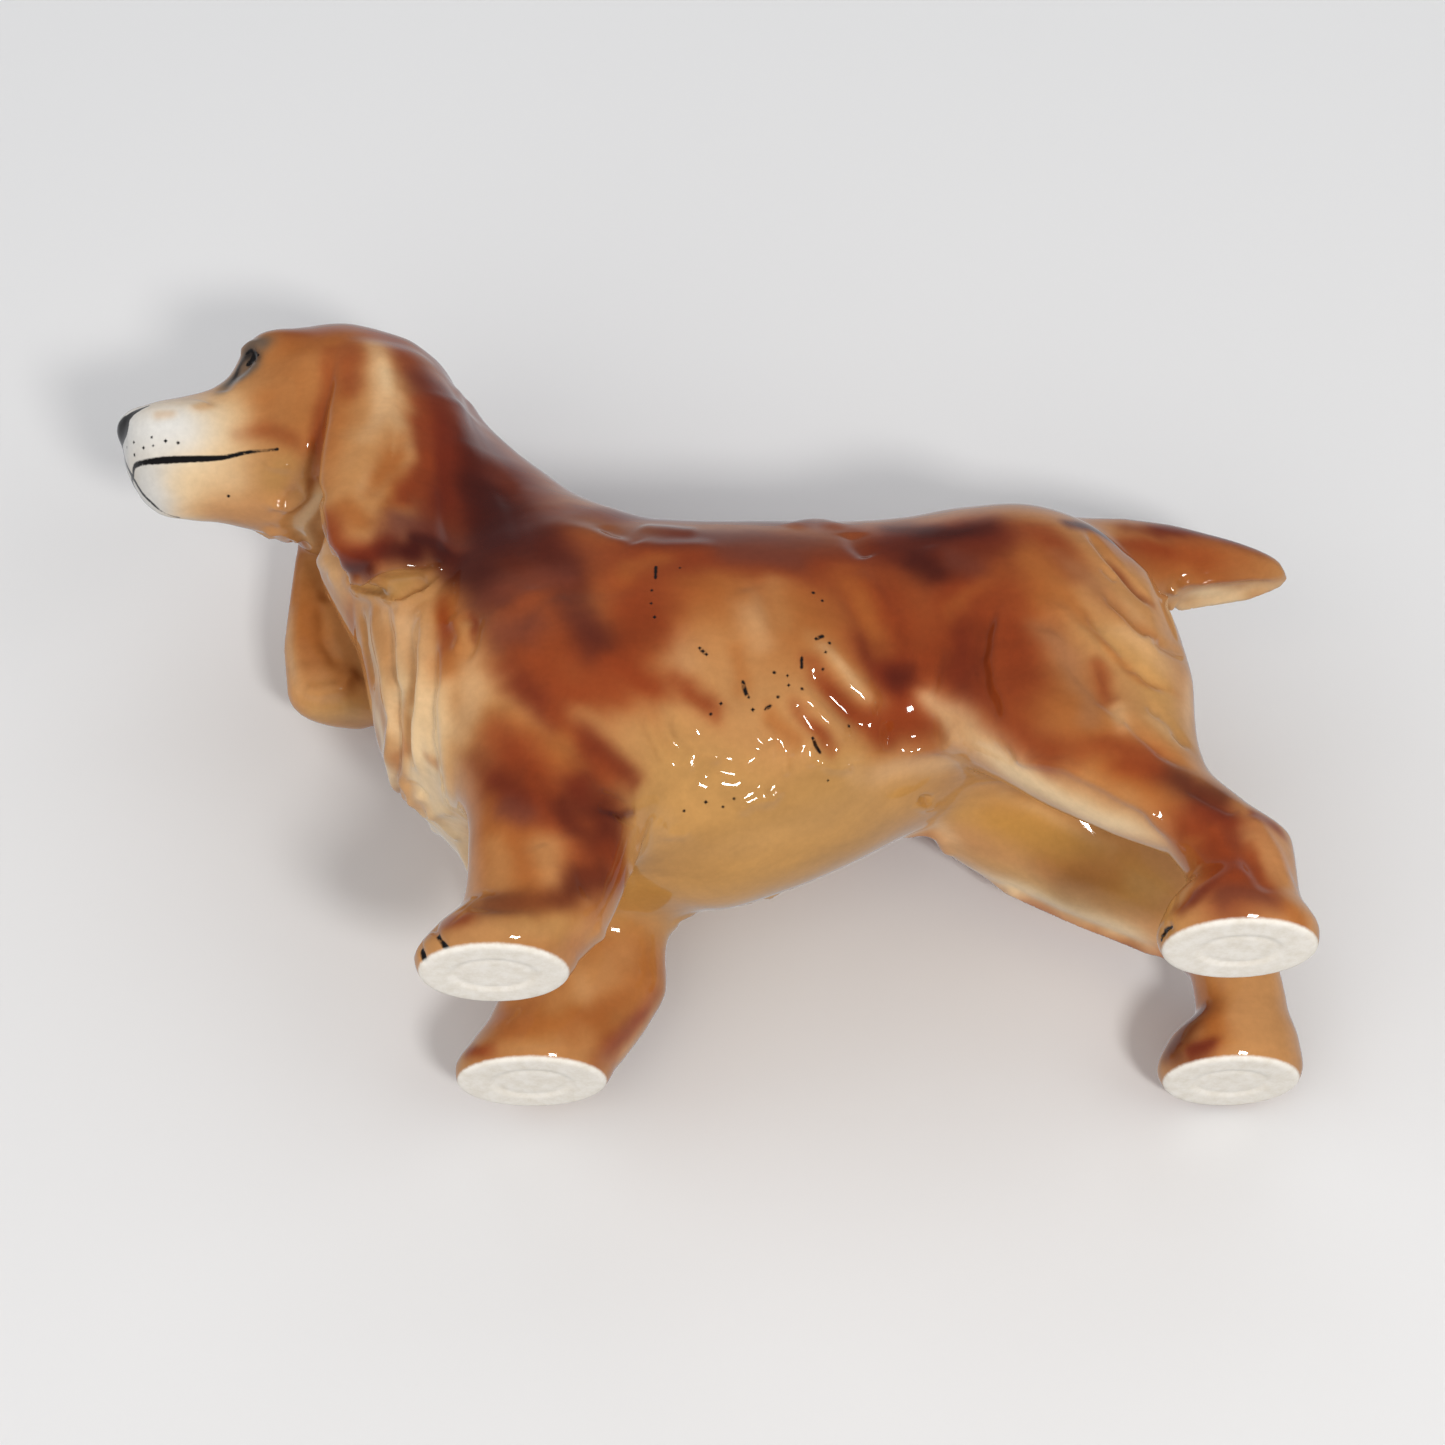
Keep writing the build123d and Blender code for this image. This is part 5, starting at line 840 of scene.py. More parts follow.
    ("orange", 0.9, 4, 3.7, [(24.7, -26.3, 26.9), (25.7, -23.0, 16.5), (26.9, -19.7, 9.0)]),
    ("orange", 0.9, 4, 3.7, [(-23.6, -25.6, 26.9), (-25.1, -22.9, 16.4), (-26.8, -19.7, 8.9)]),
    ("rust", 0.62, 4, 3.7, [(26.0, -23.4, 31.2), (26.2, -17.1, 22.7), (25.2, -14.5, 13.3)]),
    ("rust", 0.62, 4, 3.7, [(-25.3, -23.1, 31.2), (-26.2, -17.1, 22.7), (-26.0, -14.5, 13.3)]),
    ("rust", 0.9, 2.2, 2.5, [(25.1, -26.7, 35.3), (26.2, -21.7, 28.0), (26.1, -17.1, 21.2)]),
    ("rust", 0.9, 2.2, 2.5, [(-24.6, -26.3, 35.6), (-25.6, -21.4, 28.0), (-26.1, -17.1, 21.1)]),
    ("brown", 0.78, 1.4, 2.2, [(22.5, -30.4, 33.2), (25.0, -25.6, 26.9), (26.2, -20.2, 21.1)]),
    ("brown", 0.78, 1.4, 2.2, [(-21.8, -29.7, 33.7), (-24.0, -25.0, 26.9), (-25.8, -20.1, 21.1)]),
    # greyed brown on the front leg: painted sheen
    ("mauve", 0.6, 1.2, 1.8, [(25.0, -25.5, 23.8), (26.0, -22.3, 21.6)]),
    ("mauve", 0.6, 1.2, 1.8, [(-23.9, -24.9, 23.8), (-25.3, -22.0, 21.7)]),
    ("rust", 0.9, 2.8, 2.5, [(25.3, -11.9, 28.0), (24.1, -11.4, 20.1), (23.5, -11.6, 14.3)]),
    ("rust", 0.9, 2.8, 2.5, [(-25.4, -11.9, 28.0), (-25.2, -11.1, 20.1), (-25.2, -11.1, 14.3)]),
    ("umber", 0.62, 2, 2.8, [(25.7, -13.7, 24.8), (24.3, -10.9, 23.2), (24.0, -11.6, 18.5)]),
    ("umber", 0.62, 2, 2.8, [(-25.9, -13.5, 24.8), (-25.1, -10.7, 23.3), (-25.2, -11.2, 18.5)]),
    ("brown", 0.78, 1.4, 1.8, [(26.2, -15.1, 27.4), (26.3, -14.5, 31.1)]),
    ("brown", 0.78, 1.4, 1.8, [(-26.1, -15.0, 27.4), (-26.1, -14.4, 31.1)]),
    ("umber", 0.56, 1.1, 1.5, [(26.4, -17.6, 24.3), (25.7, -15.4, 19.6)]),
    ("umber", 0.56, 1.1, 1.5, [(-26.2, -17.6, 24.3), (-26.0, -15.5, 19.6)]),
    ("tan", 0.75, 1.7, 2.2, [(26.1, -19.2, 15.9), (26.3, -18.2, 11.7)]),
    ("tan", 0.75, 1.7, 2.2, [(-26.0, -19.1, 15.9), (-26.4, -18.1, 11.7)]),
    ("tan", 0.55, 1.4, 1.8, [(24.2, -26.8, 17.5), (25.7, -25.7, 11.3)]),
    ("tan", 0.55, 1.4, 1.8, [(-23.2, -26.3, 17.5), (-25.0, -25.5, 11.2)]),
    ("orange", 0.6, 1.4, 1.8, [(26.7, -17.6, 34.3), (26.5, -15.5, 31.1)]),
    ("orange", 0.6, 1.4, 1.8, [(-26.5, -17.6, 34.1), (-26.2, -15.5, 31.1)]),
    ("umber", 0.5, 1.2, 2.5, [(25.6, -29.8, 7.7), (27.5, -25.4, 6.9), (27.4, -20.8, 6.4)]),
    ("umber", 0.5, 1.2, 2.5, [(-24.8, -29.5, 7.4), (-26.9, -25.4, 6.9), (-27.5, -20.7, 6.5)]),
    ("umber", 0.6, 1.5, 2.5, [(26.1, -16.9, 7.6), (24.6, -13.6, 10.6), (22.6, -10.9, 12.7)]),
    ("umber", 0.6, 1.5, 2.5, [(-26.7, -16.9, 7.5), (-25.5, -13.2, 10.5), (-24.2, -9.9, 12.2)]),
    ("rust", 0.67, 1.4, 1.8, [(23.3, -10.8, 17.5), (19.4, -8.6, 14.7)]),
    ("rust", 0.67, 1.4, 1.8, [(-24.7, -10.0, 17.5), (-21.2, -6.1, 13.3)]),
    ("gold", 0.8, 1.2, 1.4, [(28.1, -25.1, 2.8), (26.7, -19.7, 3.8), (23.6, -14.9, 5.2)]),
    ("gold", 0.8, 1.2, 1.4, [(-28.0, -24.9, 2.9), (-27.5, -19.7, 3.8), (-24.8, -14.0, 4.5)]),
    ("rust", 0.78, 1.2, 1.4, [(24.2, -34.2, 5.3), (26.9, -30.9, 4.6)]),
    ("rust", 0.78, 1.2, 1.4, [(-23.5, -33.5, 4.5), (-26.0, -30.7, 4.3)]),
    ("tan", 0.7, 1.4, 1.4, [(27.8, -29.2, 1.8), (27.5, -22.3, 2.3), (24.6, -16.9, 3.6)]),
    ("tan", 0.7, 1.4, 1.4, [(-27.2, -29.2, 2.3), (-27.8, -22.3, 2.1), (-25.9, -16.1, 3.4)]),
    ("orange", 0.7, 1.5, 1.5, [(20.7, -15.1, 2.5), (-8.6, -13.9, 18.7)]),
    ("orange", 0.7, 1.5, 1.5, [(-21.6, -13.5, 1.2), (9.2, -14.0, 18.8)]),
    ("tan", 0.8, 0.9, 0.9, [(18.2, -5.5, 24.7), (16.4, -7.5, 17.9), (16.1, -9.3, 12.3)]),
    ("tan", 0.8, 0.9, 0.9, [(-18.9, -4.2, 24.4), (-15.3, -4.3, 18.1), (-15.0, -6.9, 11.0)]),
    ("umber", 0.78, 0.5, 0.6, [(24.6, -11.2, 24.2), (23.1, -9.1, 23.8), (21.1, -7.1, 24.2)]),
    ("sand", 0.95, 6.2, 3.7, [(15.5, -43.9, 56.3), (13.1, -41.0, 43.0), (6.0, -37.7, 36.8)]),
    ("sand", 0.95, 6.2, 3.7, [(-15.6, -43.7, 56.3), (-13.0, -40.8, 43.1), (-6.1, -37.6, 36.8)]),
    ("cream", 0.85, 4.3, 3.4, [(15.4, -42.3, 49.0), (12.3, -39.6, 40.2), (7.1, -36.8, 36.0)]),
    ("cream", 0.85, 4.3, 3.4, [(-15.3, -42.2, 49.2), (-12.1, -39.3, 40.2), (-7.1, -36.7, 36.2)]),
    ("cream", 0.7, 2.3, 2.2, [(11.0, -43.4, 45.6), (6.5, -40.2, 39.0), (1.8, -37.5, 36.5)]),
    ("cream", 0.7, 2.3, 2.2, [(-11.0, -43.3, 45.5), (-6.5, -40.1, 39.0), (-1.8, -37.5, 36.5)]),
    ("cream", 0.8, 2.5, 2.2, [(20.4, -37.1, 45.6), (18.5, -36.4, 39.6), (11.8, -36.1, 35.1)]),
    ("cream", 0.8, 2.5, 2.2, [(-20.1, -36.9, 45.7), (-18.2, -36.0, 39.9), (-11.7, -35.8, 35.6)]),
    ("cream", 0.85, 1.8, 1.8, [(5.4, -40.3, 38.9), (2.9, -36.1, 35.7)]),
    ("cream", 0.85, 1.8, 1.8, [(-5.4, -40.3, 38.9), (-2.9, -36.1, 35.7)]),
    ("cream", 0.75, 1.1, 1.4, [(4.6, -49.6, 55.1), (4.9, -47.5, 48.5), (-2.4, -46.4, 44.8)]),
    ("cream", 0.75, 1.1, 1.4, [(-4.5, -49.6, 55.3), (-5.0, -47.5, 48.5), (2.3, -46.5, 44.8)]),
    ("cream", 0.6, 0.8, 1.1, [(9.7, -50.6, 67.9), (10.4, -48.8, 61.6), (11.5, -46.6, 54.3)]),
    ("cream", 0.6, 0.8, 1.1, [(-9.7, -50.6, 67.9), (-10.3, -48.9, 61.6), (-11.3, -46.7, 54.2)]),
    ("tan", 0.8, 0.8, 1.1, [(12.1, -49.4, 70.0), (13.4, -47.0, 61.5), (13.2, -45.3, 54.1)]),
    ("tan", 0.8, 0.8, 1.1, [(-12.0, -49.4, 69.7), (-13.4, -47.0, 61.6), (-13.1, -45.3, 54.0)]),
    ("tan", 0.85, 0.9, 1.1, [(17.4, -42.5, 58.7), (17.4, -41.4, 51.3), (13.9, -42.3, 46.4), (4.1, -44.2, 42.3)]),
    ("tan", 0.85, 0.9, 1.1, [(-17.3, -42.4, 59.0), (-17.3, -41.2, 51.3), (-13.8, -42.1, 46.5), (-4.1, -44.2, 42.3)]),
    ("orange", 0.45, 0.5, 0.8, [(12.9, -44.0, 49.6), (9.2, -43.9, 44.8), (-0.3, -45.7, 43.4)]),
    ("orange", 0.45, 0.5, 0.8, [(-12.9, -43.9, 49.5), (-9.2, -43.8, 44.8), (0.2, -45.7, 43.4)]),
    ("orange", 0.5, 0.5, 0.9, [(5.1, -51.8, 65.1), (6.1, -49.7, 57.1)]),
    ("orange", 0.5, 0.5, 0.9, [(-5.3, -51.8, 65.0), (-6.1, -49.6, 56.9)]),
    ("orange", 0.7, 1.5, 1.5, [(6.0, -54.3, 73.1), (4.1, -53.9, 70.7)]),
    ("orange", 0.7, 1.5, 1.5, [(-6.0, -54.3, 73.1), (-4.2, -53.8, 70.7)]),
    ("tan", 0.7, 0.6, 0.8, [(9.1, -47.5, 53.2), (6.9, -46.4, 47.2), (3.9, -45.9, 44.4)]),
    ("tan", 0.7, 0.6, 0.8, [(-9.2, -47.5, 53.2), (-6.9, -46.4, 47.1), (-3.9, -45.9, 44.4)]),
    ("orange", 0.45, 0.5, 0.6, [(13.2, -39.4, 40.3), (14.1, -37.1, 37.1)]),
    ("orange", 0.45, 0.5, 0.6, [(-13.0, -39.1, 40.5), (-13.9, -36.7, 37.3)]),
    ("orange", 0.9, 2, 2.2, [(23.0, -35.6, 61.1), (23.6, -34.7, 54.2), (22.6, -35.8, 51.6)]),
    ("orange", 0.9, 2, 2.2, [(-22.8, -35.4, 61.0), (-23.4, -34.4, 54.2), (-22.5, -35.5, 51.5)]),
    ("rust", 0.78, 1.2, 1.5, [(22.1, -36.8, 62.6), (22.8, -36.0, 57.9), (22.5, -36.4, 54.2)]),
    ("rust", 0.78, 1.2, 1.5, [(-21.8, -36.8, 62.6), (-22.7, -35.8, 57.9), (-22.2, -36.3, 54.3)]),
    ("tan", 0.6, 0.9, 0.9, [(24.7, -32.5, 55.3), (24.3, -32.8, 52.1)]),
    ("tan", 0.6, 0.9, 0.9, [(-24.5, -32.3, 55.3), (-24.0, -32.9, 52.2)]),
    ("brown", 0.67, 0.4, 0.6, [(25.2, -31.5, 57.4), (25.2, -31.1, 55.3), (24.9, -31.7, 53.1)]),
    ("brown", 0.67, 0.4, 0.6, [(-25.0, -31.2, 57.4), (-25.0, -31.1, 55.3), (-24.7, -31.5, 53.2)]),
    ("rust", 1, 5.2, 4.6, [(22.9, 30.3, 60.5), (21.1, 32.8, 52.7), (17.6, 34.5, 45.7)]),
    ("rust", 1, 5.2, 4.6, [(-22.9, 30.2, 60.5), (-21.3, 32.8, 52.6), (-18.3, 34.4, 45.1)]),
    ("rust", 1, 4.6, 4, [(22.3, 42.8, 68.4), (22.2, 42.3, 57.4), (21.2, 41.7, 48.9)]),
    ("rust", 1, 4.6, 4, [(-22.3, 42.9, 68.3), (-22.2, 42.2, 57.4), (-22.0, 41.6, 49.0)]),
    ("brown", 0.9, 3.1, 3.4, [(20.1, 33.9, 73.0), (20.6, 41.5, 73.9), (22.6, 49.1, 71.7)]),
    ("brown", 0.9, 3.1, 3.4, [(-20.1, 33.9, 72.9), (-20.6, 41.8, 74.1), (-22.5, 49.1, 71.9)]),
    ("umber", 0.95, 1.7, 2.5, [(17.9, 34.5, 77.3), (20.2, 40.7, 74.7), (21.3, 47.0, 74.7)]),
    ("umber", 0.95, 1.7, 2.5, [(-18.0, 34.4, 77.2), (-20.2, 40.8, 74.6), (-21.3, 46.9, 74.7)]),
    ("umber", 0.45, 2.5, 3.4, [(20.6, 32.1, 71.9), (22.1, 41.2, 67.8), (23.5, 49.6, 67.4)]),
    ("umber", 0.45, 2.5, 3.4, [(-20.6, 32.3, 72.0), (-22.1, 41.2, 67.9), (-23.5, 49.7, 67.5)]),
    ("umber", 0.78, 1.4, 2.2, [(21.3, 36.0, 68.9), (22.0, 38.6, 65.8)]),
    ("umber", 0.78, 1.4, 2.2, [(-21.3, 35.9, 69.0), (-22.0, 38.6, 65.8)]),
    ("brown", 0.9, 1.5, 2.2, [(22.7, 28.4, 53.4), (21.0, 30.7, 50.0), (18.9, 33.8, 47.6)]),
    ("brown", 0.9, 1.5, 2.2, [(-22.9, 28.1, 53.7), (-21.0, 30.8, 50.0), (-19.5, 33.9, 47.5)]),
    ("umber", 0.56, 1.1, 1.5, [(19.4, 33.1, 48.4), (19.2, 35.4, 48.8)]),
    ("umber", 0.56, 1.1, 1.5, [(-19.9, 32.9, 48.3), (-20.1, 35.3, 48.6)]),
    ("brown", 0.95, 1.7, 2.2, [(22.8, 44.5, 58.5), (21.9, 42.6, 52.1), (21.7, 43.9, 44.8), (23.4, 47.5, 41.1)]),
    ("brown", 0.95, 1.7, 2.2, [(-22.7, 44.4, 58.4), (-22.3, 42.4, 52.0), (-22.6, 43.6, 44.8), (-23.8, 47.1, 41.1)]),
    ("umber", 0.56, 0.9, 1.2, [(23.0, 46.1, 56.3), (22.5, 44.8, 50.5), (21.9, 44.1, 45.4)]),
    ("umber", 0.56, 0.9, 1.2, [(-23.0, 45.9, 56.3), (-23.0, 44.9, 50.6), (-22.7, 43.9, 45.3)]),
    # greyed brown on the haunch: painted sheen
    ("mauve", 0.55, 1.2, 1.8, [(22.1, 41.8, 68.4), (23.0, 45.5, 65.8)]),
    ("mauve", 0.55, 1.2, 1.8, [(-22.1, 41.7, 68.4), (-23.0, 45.4, 65.8)]),
    ("orange", 0.7, 1.1, 1.5, [(23.6, 48.6, 64.7), (23.0, 45.0, 61.6), (22.2, 41.7, 58.4)]),
    ("orange", 0.7, 1.1, 1.5, [(-23.6, 48.7, 64.7), (-23.0, 44.9, 61.6), (-22.2, 41.6, 58.4)]),
    ("rust", 0.78, 0.9, 1.2, [(21.1, 38.6, 53.7), (19.9, 37.6, 49.6), (18.1, 36.4, 46.3)]),
    ("rust", 0.78, 0.9, 1.2, [(-21.4, 38.7, 53.7), (-20.8, 37.5, 49.5), (-19.2, 36.0, 45.8)]),
    ("orange", 0.7, 1.4, 1.8, [(23.6, 26.6, 62.1), (23.2, 28.6, 56.9), (21.8, 30.6, 52.3)]),
    ("orange", 0.7, 1.4, 1.8, [(-23.7, 26.4, 62.1), (-23.1, 28.8, 56.8), (-21.7, 30.7, 52.2)]),
    ("tan", 0.9, 1.1, 1.4, [(24.6, 20.3, 52.6), (22.2, 24.4, 47.4), (18.7, 29.9, 44.5)]),
    ("tan", 0.9, 1.1, 1.4, [(-24.7, 20.1, 52.7), (-22.3, 24.4, 47.5), (-18.9, 29.7, 44.7)]),
    ("sand", 0.7, 0.5, 0.9, [(24.0, 21.6, 51.2), (21.8, 25.3, 47.0), (19.7, 28.1, 44.8)]),
    ("sand", 0.7, 0.5, 0.9, [(-24.0, 21.8, 51.1), (-21.7, 25.5, 46.9), (-19.7, 28.1, 44.8)]),
    ("rust", 0.95, 0.9, 1.4, [(23.8, 19.8, 48.4), (21.5, 22.9, 44.6), (18.2, 27.6, 42.0), (14.9, 31.4, 40.6)]),
    ("rust", 0.95, 0.9, 1.4, [(-23.9, 19.7, 48.5), (-21.5, 22.7, 44.5), (-18.3, 27.6, 42.1), (-14.9, 31.3, 40.5)]),
    ("rust", 0.9, 0.8, 1.2, [(21.9, 17.8, 42.0), (19.9, 20.2, 39.8), (17.3, 22.6, 37.8)]),
    ("rust", 0.9, 0.8, 1.2, [(-22.0, 17.6, 42.0), (-19.9, 20.3, 39.9), (-17.3, 22.7, 37.8)]),
    ("tan", 0.8, 1.2, 1.2, [(23.0, 17.9, 44.4), (21.9, 20.0, 43.4), (17.3, 25.1, 39.3)]),
    ("tan", 0.8, 1.2, 1.2, [(-22.9, 17.6, 44.2), (-21.8, 20.2, 43.2), (-17.2, 25.2, 39.2)]),
    ("rust", 0.78, 0.9, 1.4, [(25.4, -0.3, 44.8), (24.6, 2.9, 42.5), (24.0, 5.0, 41.0)]),
    ("rust", 0.78, 0.9, 1.4, [(-25.4, -0.3, 44.8), (-24.6, 2.9, 42.5), (-24.0, 5.0, 41.1)]),
    ("orange", 0.5, 0.9, 1.4, [(25.9, 9.1, 49.1), (24.4, 9.7, 43.7)]),
    ("orange", 0.5, 0.9, 1.4, [(-25.9, 9.2, 49.0), (-24.4, 9.7, 43.7)]),
    ("orange", 0.6, 0.9, 1.4, [(21.9, 13.4, 39.9), (20.4, 16.0, 38.5)]),
    ("orange", 0.6, 0.9, 1.4, [(-22.0, 13.4, 39.9), (-20.3, 16.1, 38.4)]),
    ("rust", 0.84, 2.5, 2.2, [(16.4, 31.1, 42.2), (15.6, 36.0, 43.1)]),
    ("rust", 0.84, 2.5, 2.2, [(-16.5, 31.2, 42.2), (-16.3, 35.6, 42.4)]),
    ("rust", 1, 4.9, 4, [(23.8, 49.8, 59.4), (23.7, 49.3, 49.0), (24.4, 50.1, 39.5)]),
    ("rust", 1, 4.9, 4, [(-23.8, 49.7, 59.5), (-24.0, 49.1, 49.0), (-24.8, 50.2, 39.6)]),
    ("orange", 0.7, 2.5, 3.1, [(23.8, 54.8, 66.7), (24.2, 55.9, 59.0)]),
    ("orange", 0.7, 2.5, 3.1, [(-23.8, 54.9, 66.8), (-24.2, 55.9, 59.0)]),
    ("rust", 0.78, 1.5, 2.2, [(22.2, 55.4, 73.6), (23.4, 60.1, 65.3)]),
    ("rust", 0.78, 1.5, 2.2, [(-22.3, 55.4, 73.5), (-23.4, 60.1, 65.2)]),
    ("orange", 0.8, 4, 3.7, [(25.7, 56.4, 40.1), (26.6, 61.7, 32.7), (26.8, 68.5, 29.1)]),
    ("orange", 0.8, 4, 3.7, [(-26.0, 56.4, 40.0), (-26.0, 61.7, 32.8), (-26.3, 68.5, 29.4)]),
    ("tan", 0.85, 4, 3.4, [(22.9, 65.0, 57.9), (22.3, 69.1, 52.7), (22.2, 71.7, 45.8)]),
    ("tan", 0.85, 4, 3.4, [(-22.9, 64.8, 57.9), (-22.1, 69.2, 52.7), (-22.3, 71.6, 45.8)]),
    ("gold", 0.7, 2.5, 2.8, [(23.3, 65.9, 52.1), (22.9, 70.2, 47.2), (23.0, 72.5, 38.0)]),
    ("gold", 0.7, 2.5, 2.8, [(-23.1, 66.0, 52.1), (-22.8, 70.1, 46.9), (-24.3, 72.9, 38.6)]),
    ("sand", 0.6, 1.5, 2.2, [(22.4, 67.6, 54.8), (21.2, 72.7, 48.9)]),
    ("sand", 0.6, 1.5, 2.2, [(-22.4, 67.5, 54.8), (-21.0, 72.7, 49.0)]),
    ("sand", 0.5, 0.8, 1.2, [(22.1, 66.8, 60.5), (22.0, 70.5, 53.2)]),
    ("sand", 0.5, 0.8, 1.2, [(-21.9, 67.0, 60.5), (-21.8, 70.5, 53.2)]),
    ("orange", 0.6, 0.8, 1.1, [(23.1, 63.1, 61.5), (22.1, 67.9, 56.8), (20.9, 72.4, 52.6)]),
    ("orange", 0.6, 0.8, 1.1, [(-23.0, 63.3, 61.6), (-21.9, 68.1, 56.9), (-20.8, 72.3, 52.7)]),
    ("orange", 0.5, 0.5, 0.8, [(23.7, 61.3, 57.4), (23.8, 64.3, 50.0), (23.5, 68.5, 44.8), (20.4, 74.5, 43.3)]),
    ("orange", 0.5, 0.5, 0.8, [(-23.7, 61.1, 57.4), (-23.7, 64.2, 50.0), (-23.6, 68.6, 44.8), (-20.8, 74.9, 43.7)]),
    ("sandmauve", 0.7, 1.4, 1.8, [(24.3, 54.9, 54.8), (24.6, 57.0, 50.0), (25.1, 58.5, 44.2)]),
    ("sandmauve", 0.7, 1.4, 1.8, [(-24.3, 54.9, 54.8), (-24.6, 57.0, 50.0), (-25.3, 58.6, 44.4)]),
    ("sandmauve", 0.6, 0.9, 1.4, [(25.4, 60.1, 42.1), (26.4, 60.1, 36.4)]),
    ("sandmauve", 0.6, 0.9, 1.4, [(-25.6, 60.1, 42.4), (-26.5, 60.0, 36.4)]),
    ("rust", 0.67, 1.1, 1.2, [(24.6, 62.2, 46.4), (25.3, 63.2, 41.1)]),
    ("rust", 0.67, 1.1, 1.2, [(-24.6, 62.1, 46.2), (-25.7, 63.3, 41.3)]),
    ("sand", 0.6, 0.9, 1.2, [(25.5, 64.8, 39.0), (26.2, 65.3, 34.8)]),
    ("sand", 0.6, 0.9, 1.2, [(-26.1, 64.8, 39.0), (-26.8, 65.4, 34.8)]),
    ("sandmauve", 0.6, 1.2, 1.5, [(23.4, 58.0, 67.9), (23.2, 61.6, 64.2), (22.8, 64.5, 60.1)]),
    ("sandmauve", 0.6, 1.2, 1.5, [(-23.3, 58.1, 68.0), (-23.1, 61.8, 64.2), (-22.9, 64.3, 60.0)]),
    ("orange", 0.6, 0.8, 1.1, [(24.0, 58.4, 61.1), (23.9, 60.9, 55.8)]),
    ("orange", 0.6, 0.8, 1.1, [(-24.0, 58.6, 61.1), (-23.8, 61.2, 55.8)]),
    ("sand", 0.6, 0.8, 0.9, [(24.5, 69.6, 38.0), (23.9, 72.9, 33.9)]),
    ("sand", 0.6, 0.8, 0.9, [(-25.4, 70.0, 38.3), (-25.6, 73.5, 34.6)]),
    ("sand", 0.6, 0.8, 0.9, [(16.1, 77.1, 49.5), (21.0, 75.7, 35.9)]),
    ("sand", 0.6, 0.8, 0.9, [(-16.1, 76.9, 49.5), (-22.9, 77.0, 37.0)]),
    ("rust", 0.84, 1.8, 2.2, [(22.9, 47.2, 37.7), (24.2, 52.9, 32.7), (26.0, 58.5, 31.1)]),
    ("rust", 0.84, 1.8, 2.2, [(-22.7, 47.1, 37.7), (-23.2, 53.5, 34.0), (-24.8, 59.1, 32.4)]),
    ("rust", 0.67, 1.4, 2.2, [(26.7, 62.7, 31.7), (26.6, 68.5, 30.1)]),
    ("rust", 0.67, 1.4, 2.2, [(-26.0, 62.7, 32.2), (-26.5, 68.5, 30.1)]),
    ("cream", 0.95, 2.6, 2, [(18.8, 41.5, 40.6), (19.2, 47.4, 33.7), (19.1, 54.4, 28.0), (19.6, 62.9, 22.8), (22.0, 72.2, 15.6)]),
    ("cream", 0.95, 2.6, 2, [(-19.3, 40.9, 40.3), (-19.1, 48.0, 35.3), (-18.6, 56.0, 31.2), (-19.2, 64.7, 27.3), (-21.3, 78.2, 16.4)]),
    ("sand", 0.85, 1.5, 1.8, [(13.2, 26.4, 36.0), (10.8, 32.9, 38.2), (9.1, 39.1, 39.8), (16.5, 42.5, 37.7)]),
    ("sand", 0.85, 1.5, 1.8, [(-13.2, 26.3, 35.9), (-10.9, 33.1, 38.1), (-9.2, 39.1, 39.5), (-16.5, 42.6, 37.8)]),
    ("sand", 0.8, 1.5, 1.4, [(18.2, 37.9, 45.2), (17.5, 40.3, 41.2)]),
    ("sand", 0.8, 1.5, 1.4, [(-19.3, 37.4, 44.7), (-18.0, 39.7, 40.7)]),
    ("sand", 0.8, 0.8, 0.9, [(-2.8, 48.5, 41.0), (-5.8, 58.0, 37.2), (-7.8, 65.9, 34.4)]),
    ("sand", 0.8, 0.8, 0.9, [(2.7, 48.6, 41.0), (5.6, 58.0, 37.1), (7.7, 65.9, 34.4)]),
    ("olive", 0.8, 3.4, 2.5, [(5.4, 32.6, 35.6), (-2.9, 42.3, 40.2), (-8.0, 54.8, 35.7), (-10.4, 67.1, 29.6), (25.0, 69.0, 4.4)]),
    ("olive", 0.9, 1.2, 1.5, [(-6.6, 43.9, 39.7), (-7.0, 56.5, 36.2), (-8.2, 63.8, 33.8)]),
    ("gold", 0.6, 1.2, 1.5, [(-14.5, 42.7, 37.8), (-15.0, 51.9, 33.5), (-17.1, 61.1, 28.9)]),
    ("orange", 0.35, 1.8, 2.2, [(-11.8, 56.4, 32.7), (-10.2, 65.3, 30.5)]),
    ("gold", 0.7, 1.4, 1.4, [(-10.0, 70.0, 29.3), (-10.3, 73.3, 28.0)]),
    ("rust", 1, 4.3, 3.1, [(26.2, 75.0, 17.4), (28.1, 77.7, 11.5), (31.3, 79.0, 4.9)]),
    ("rust", 1, 4.3, 3.1, [(-23.8, 78.0, 20.0), (-26.6, 79.0, 9.7), (-30.5, 79.5, 4.4)]),
    ("orange", 0.8, 1.4, 1.8, [(26.3, 62.8, 27.5), (26.6, 66.9, 24.8), (26.4, 71.1, 21.7)]),
    ("orange", 0.8, 1.4, 1.8, [(-24.5, 63.7, 29.5), (-24.5, 68.2, 27.3), (-24.2, 73.0, 24.4)]),
    ("umber", 0.72, 1.4, 2.5, [(27.0, 70.9, 26.2), (27.0, 74.1, 24.4), (26.9, 77.0, 22.9)]),
    ("umber", 0.72, 1.4, 2.5, [(-25.8, 71.1, 27.1), (-25.6, 74.4, 25.1), (-26.0, 77.4, 23.4)]),
    ("rust", 0.8, 1.4, 2.2, [(27.0, 68.5, 27.2), (26.9, 65.4, 28.0)]),
    ("rust", 0.8, 1.4, 2.2, [(-25.8, 69.0, 28.2), (-25.4, 66.0, 29.2)]),
    ("brown", 0.78, 1.2, 1.7, [(27.1, 74.9, 21.0), (27.3, 78.5, 18.5), (27.9, 80.1, 15.1)]),
    ("brown", 0.78, 1.2, 1.7, [(-25.1, 76.5, 22.6), (-25.4, 80.2, 19.1), (-26.1, 81.1, 14.9)]),
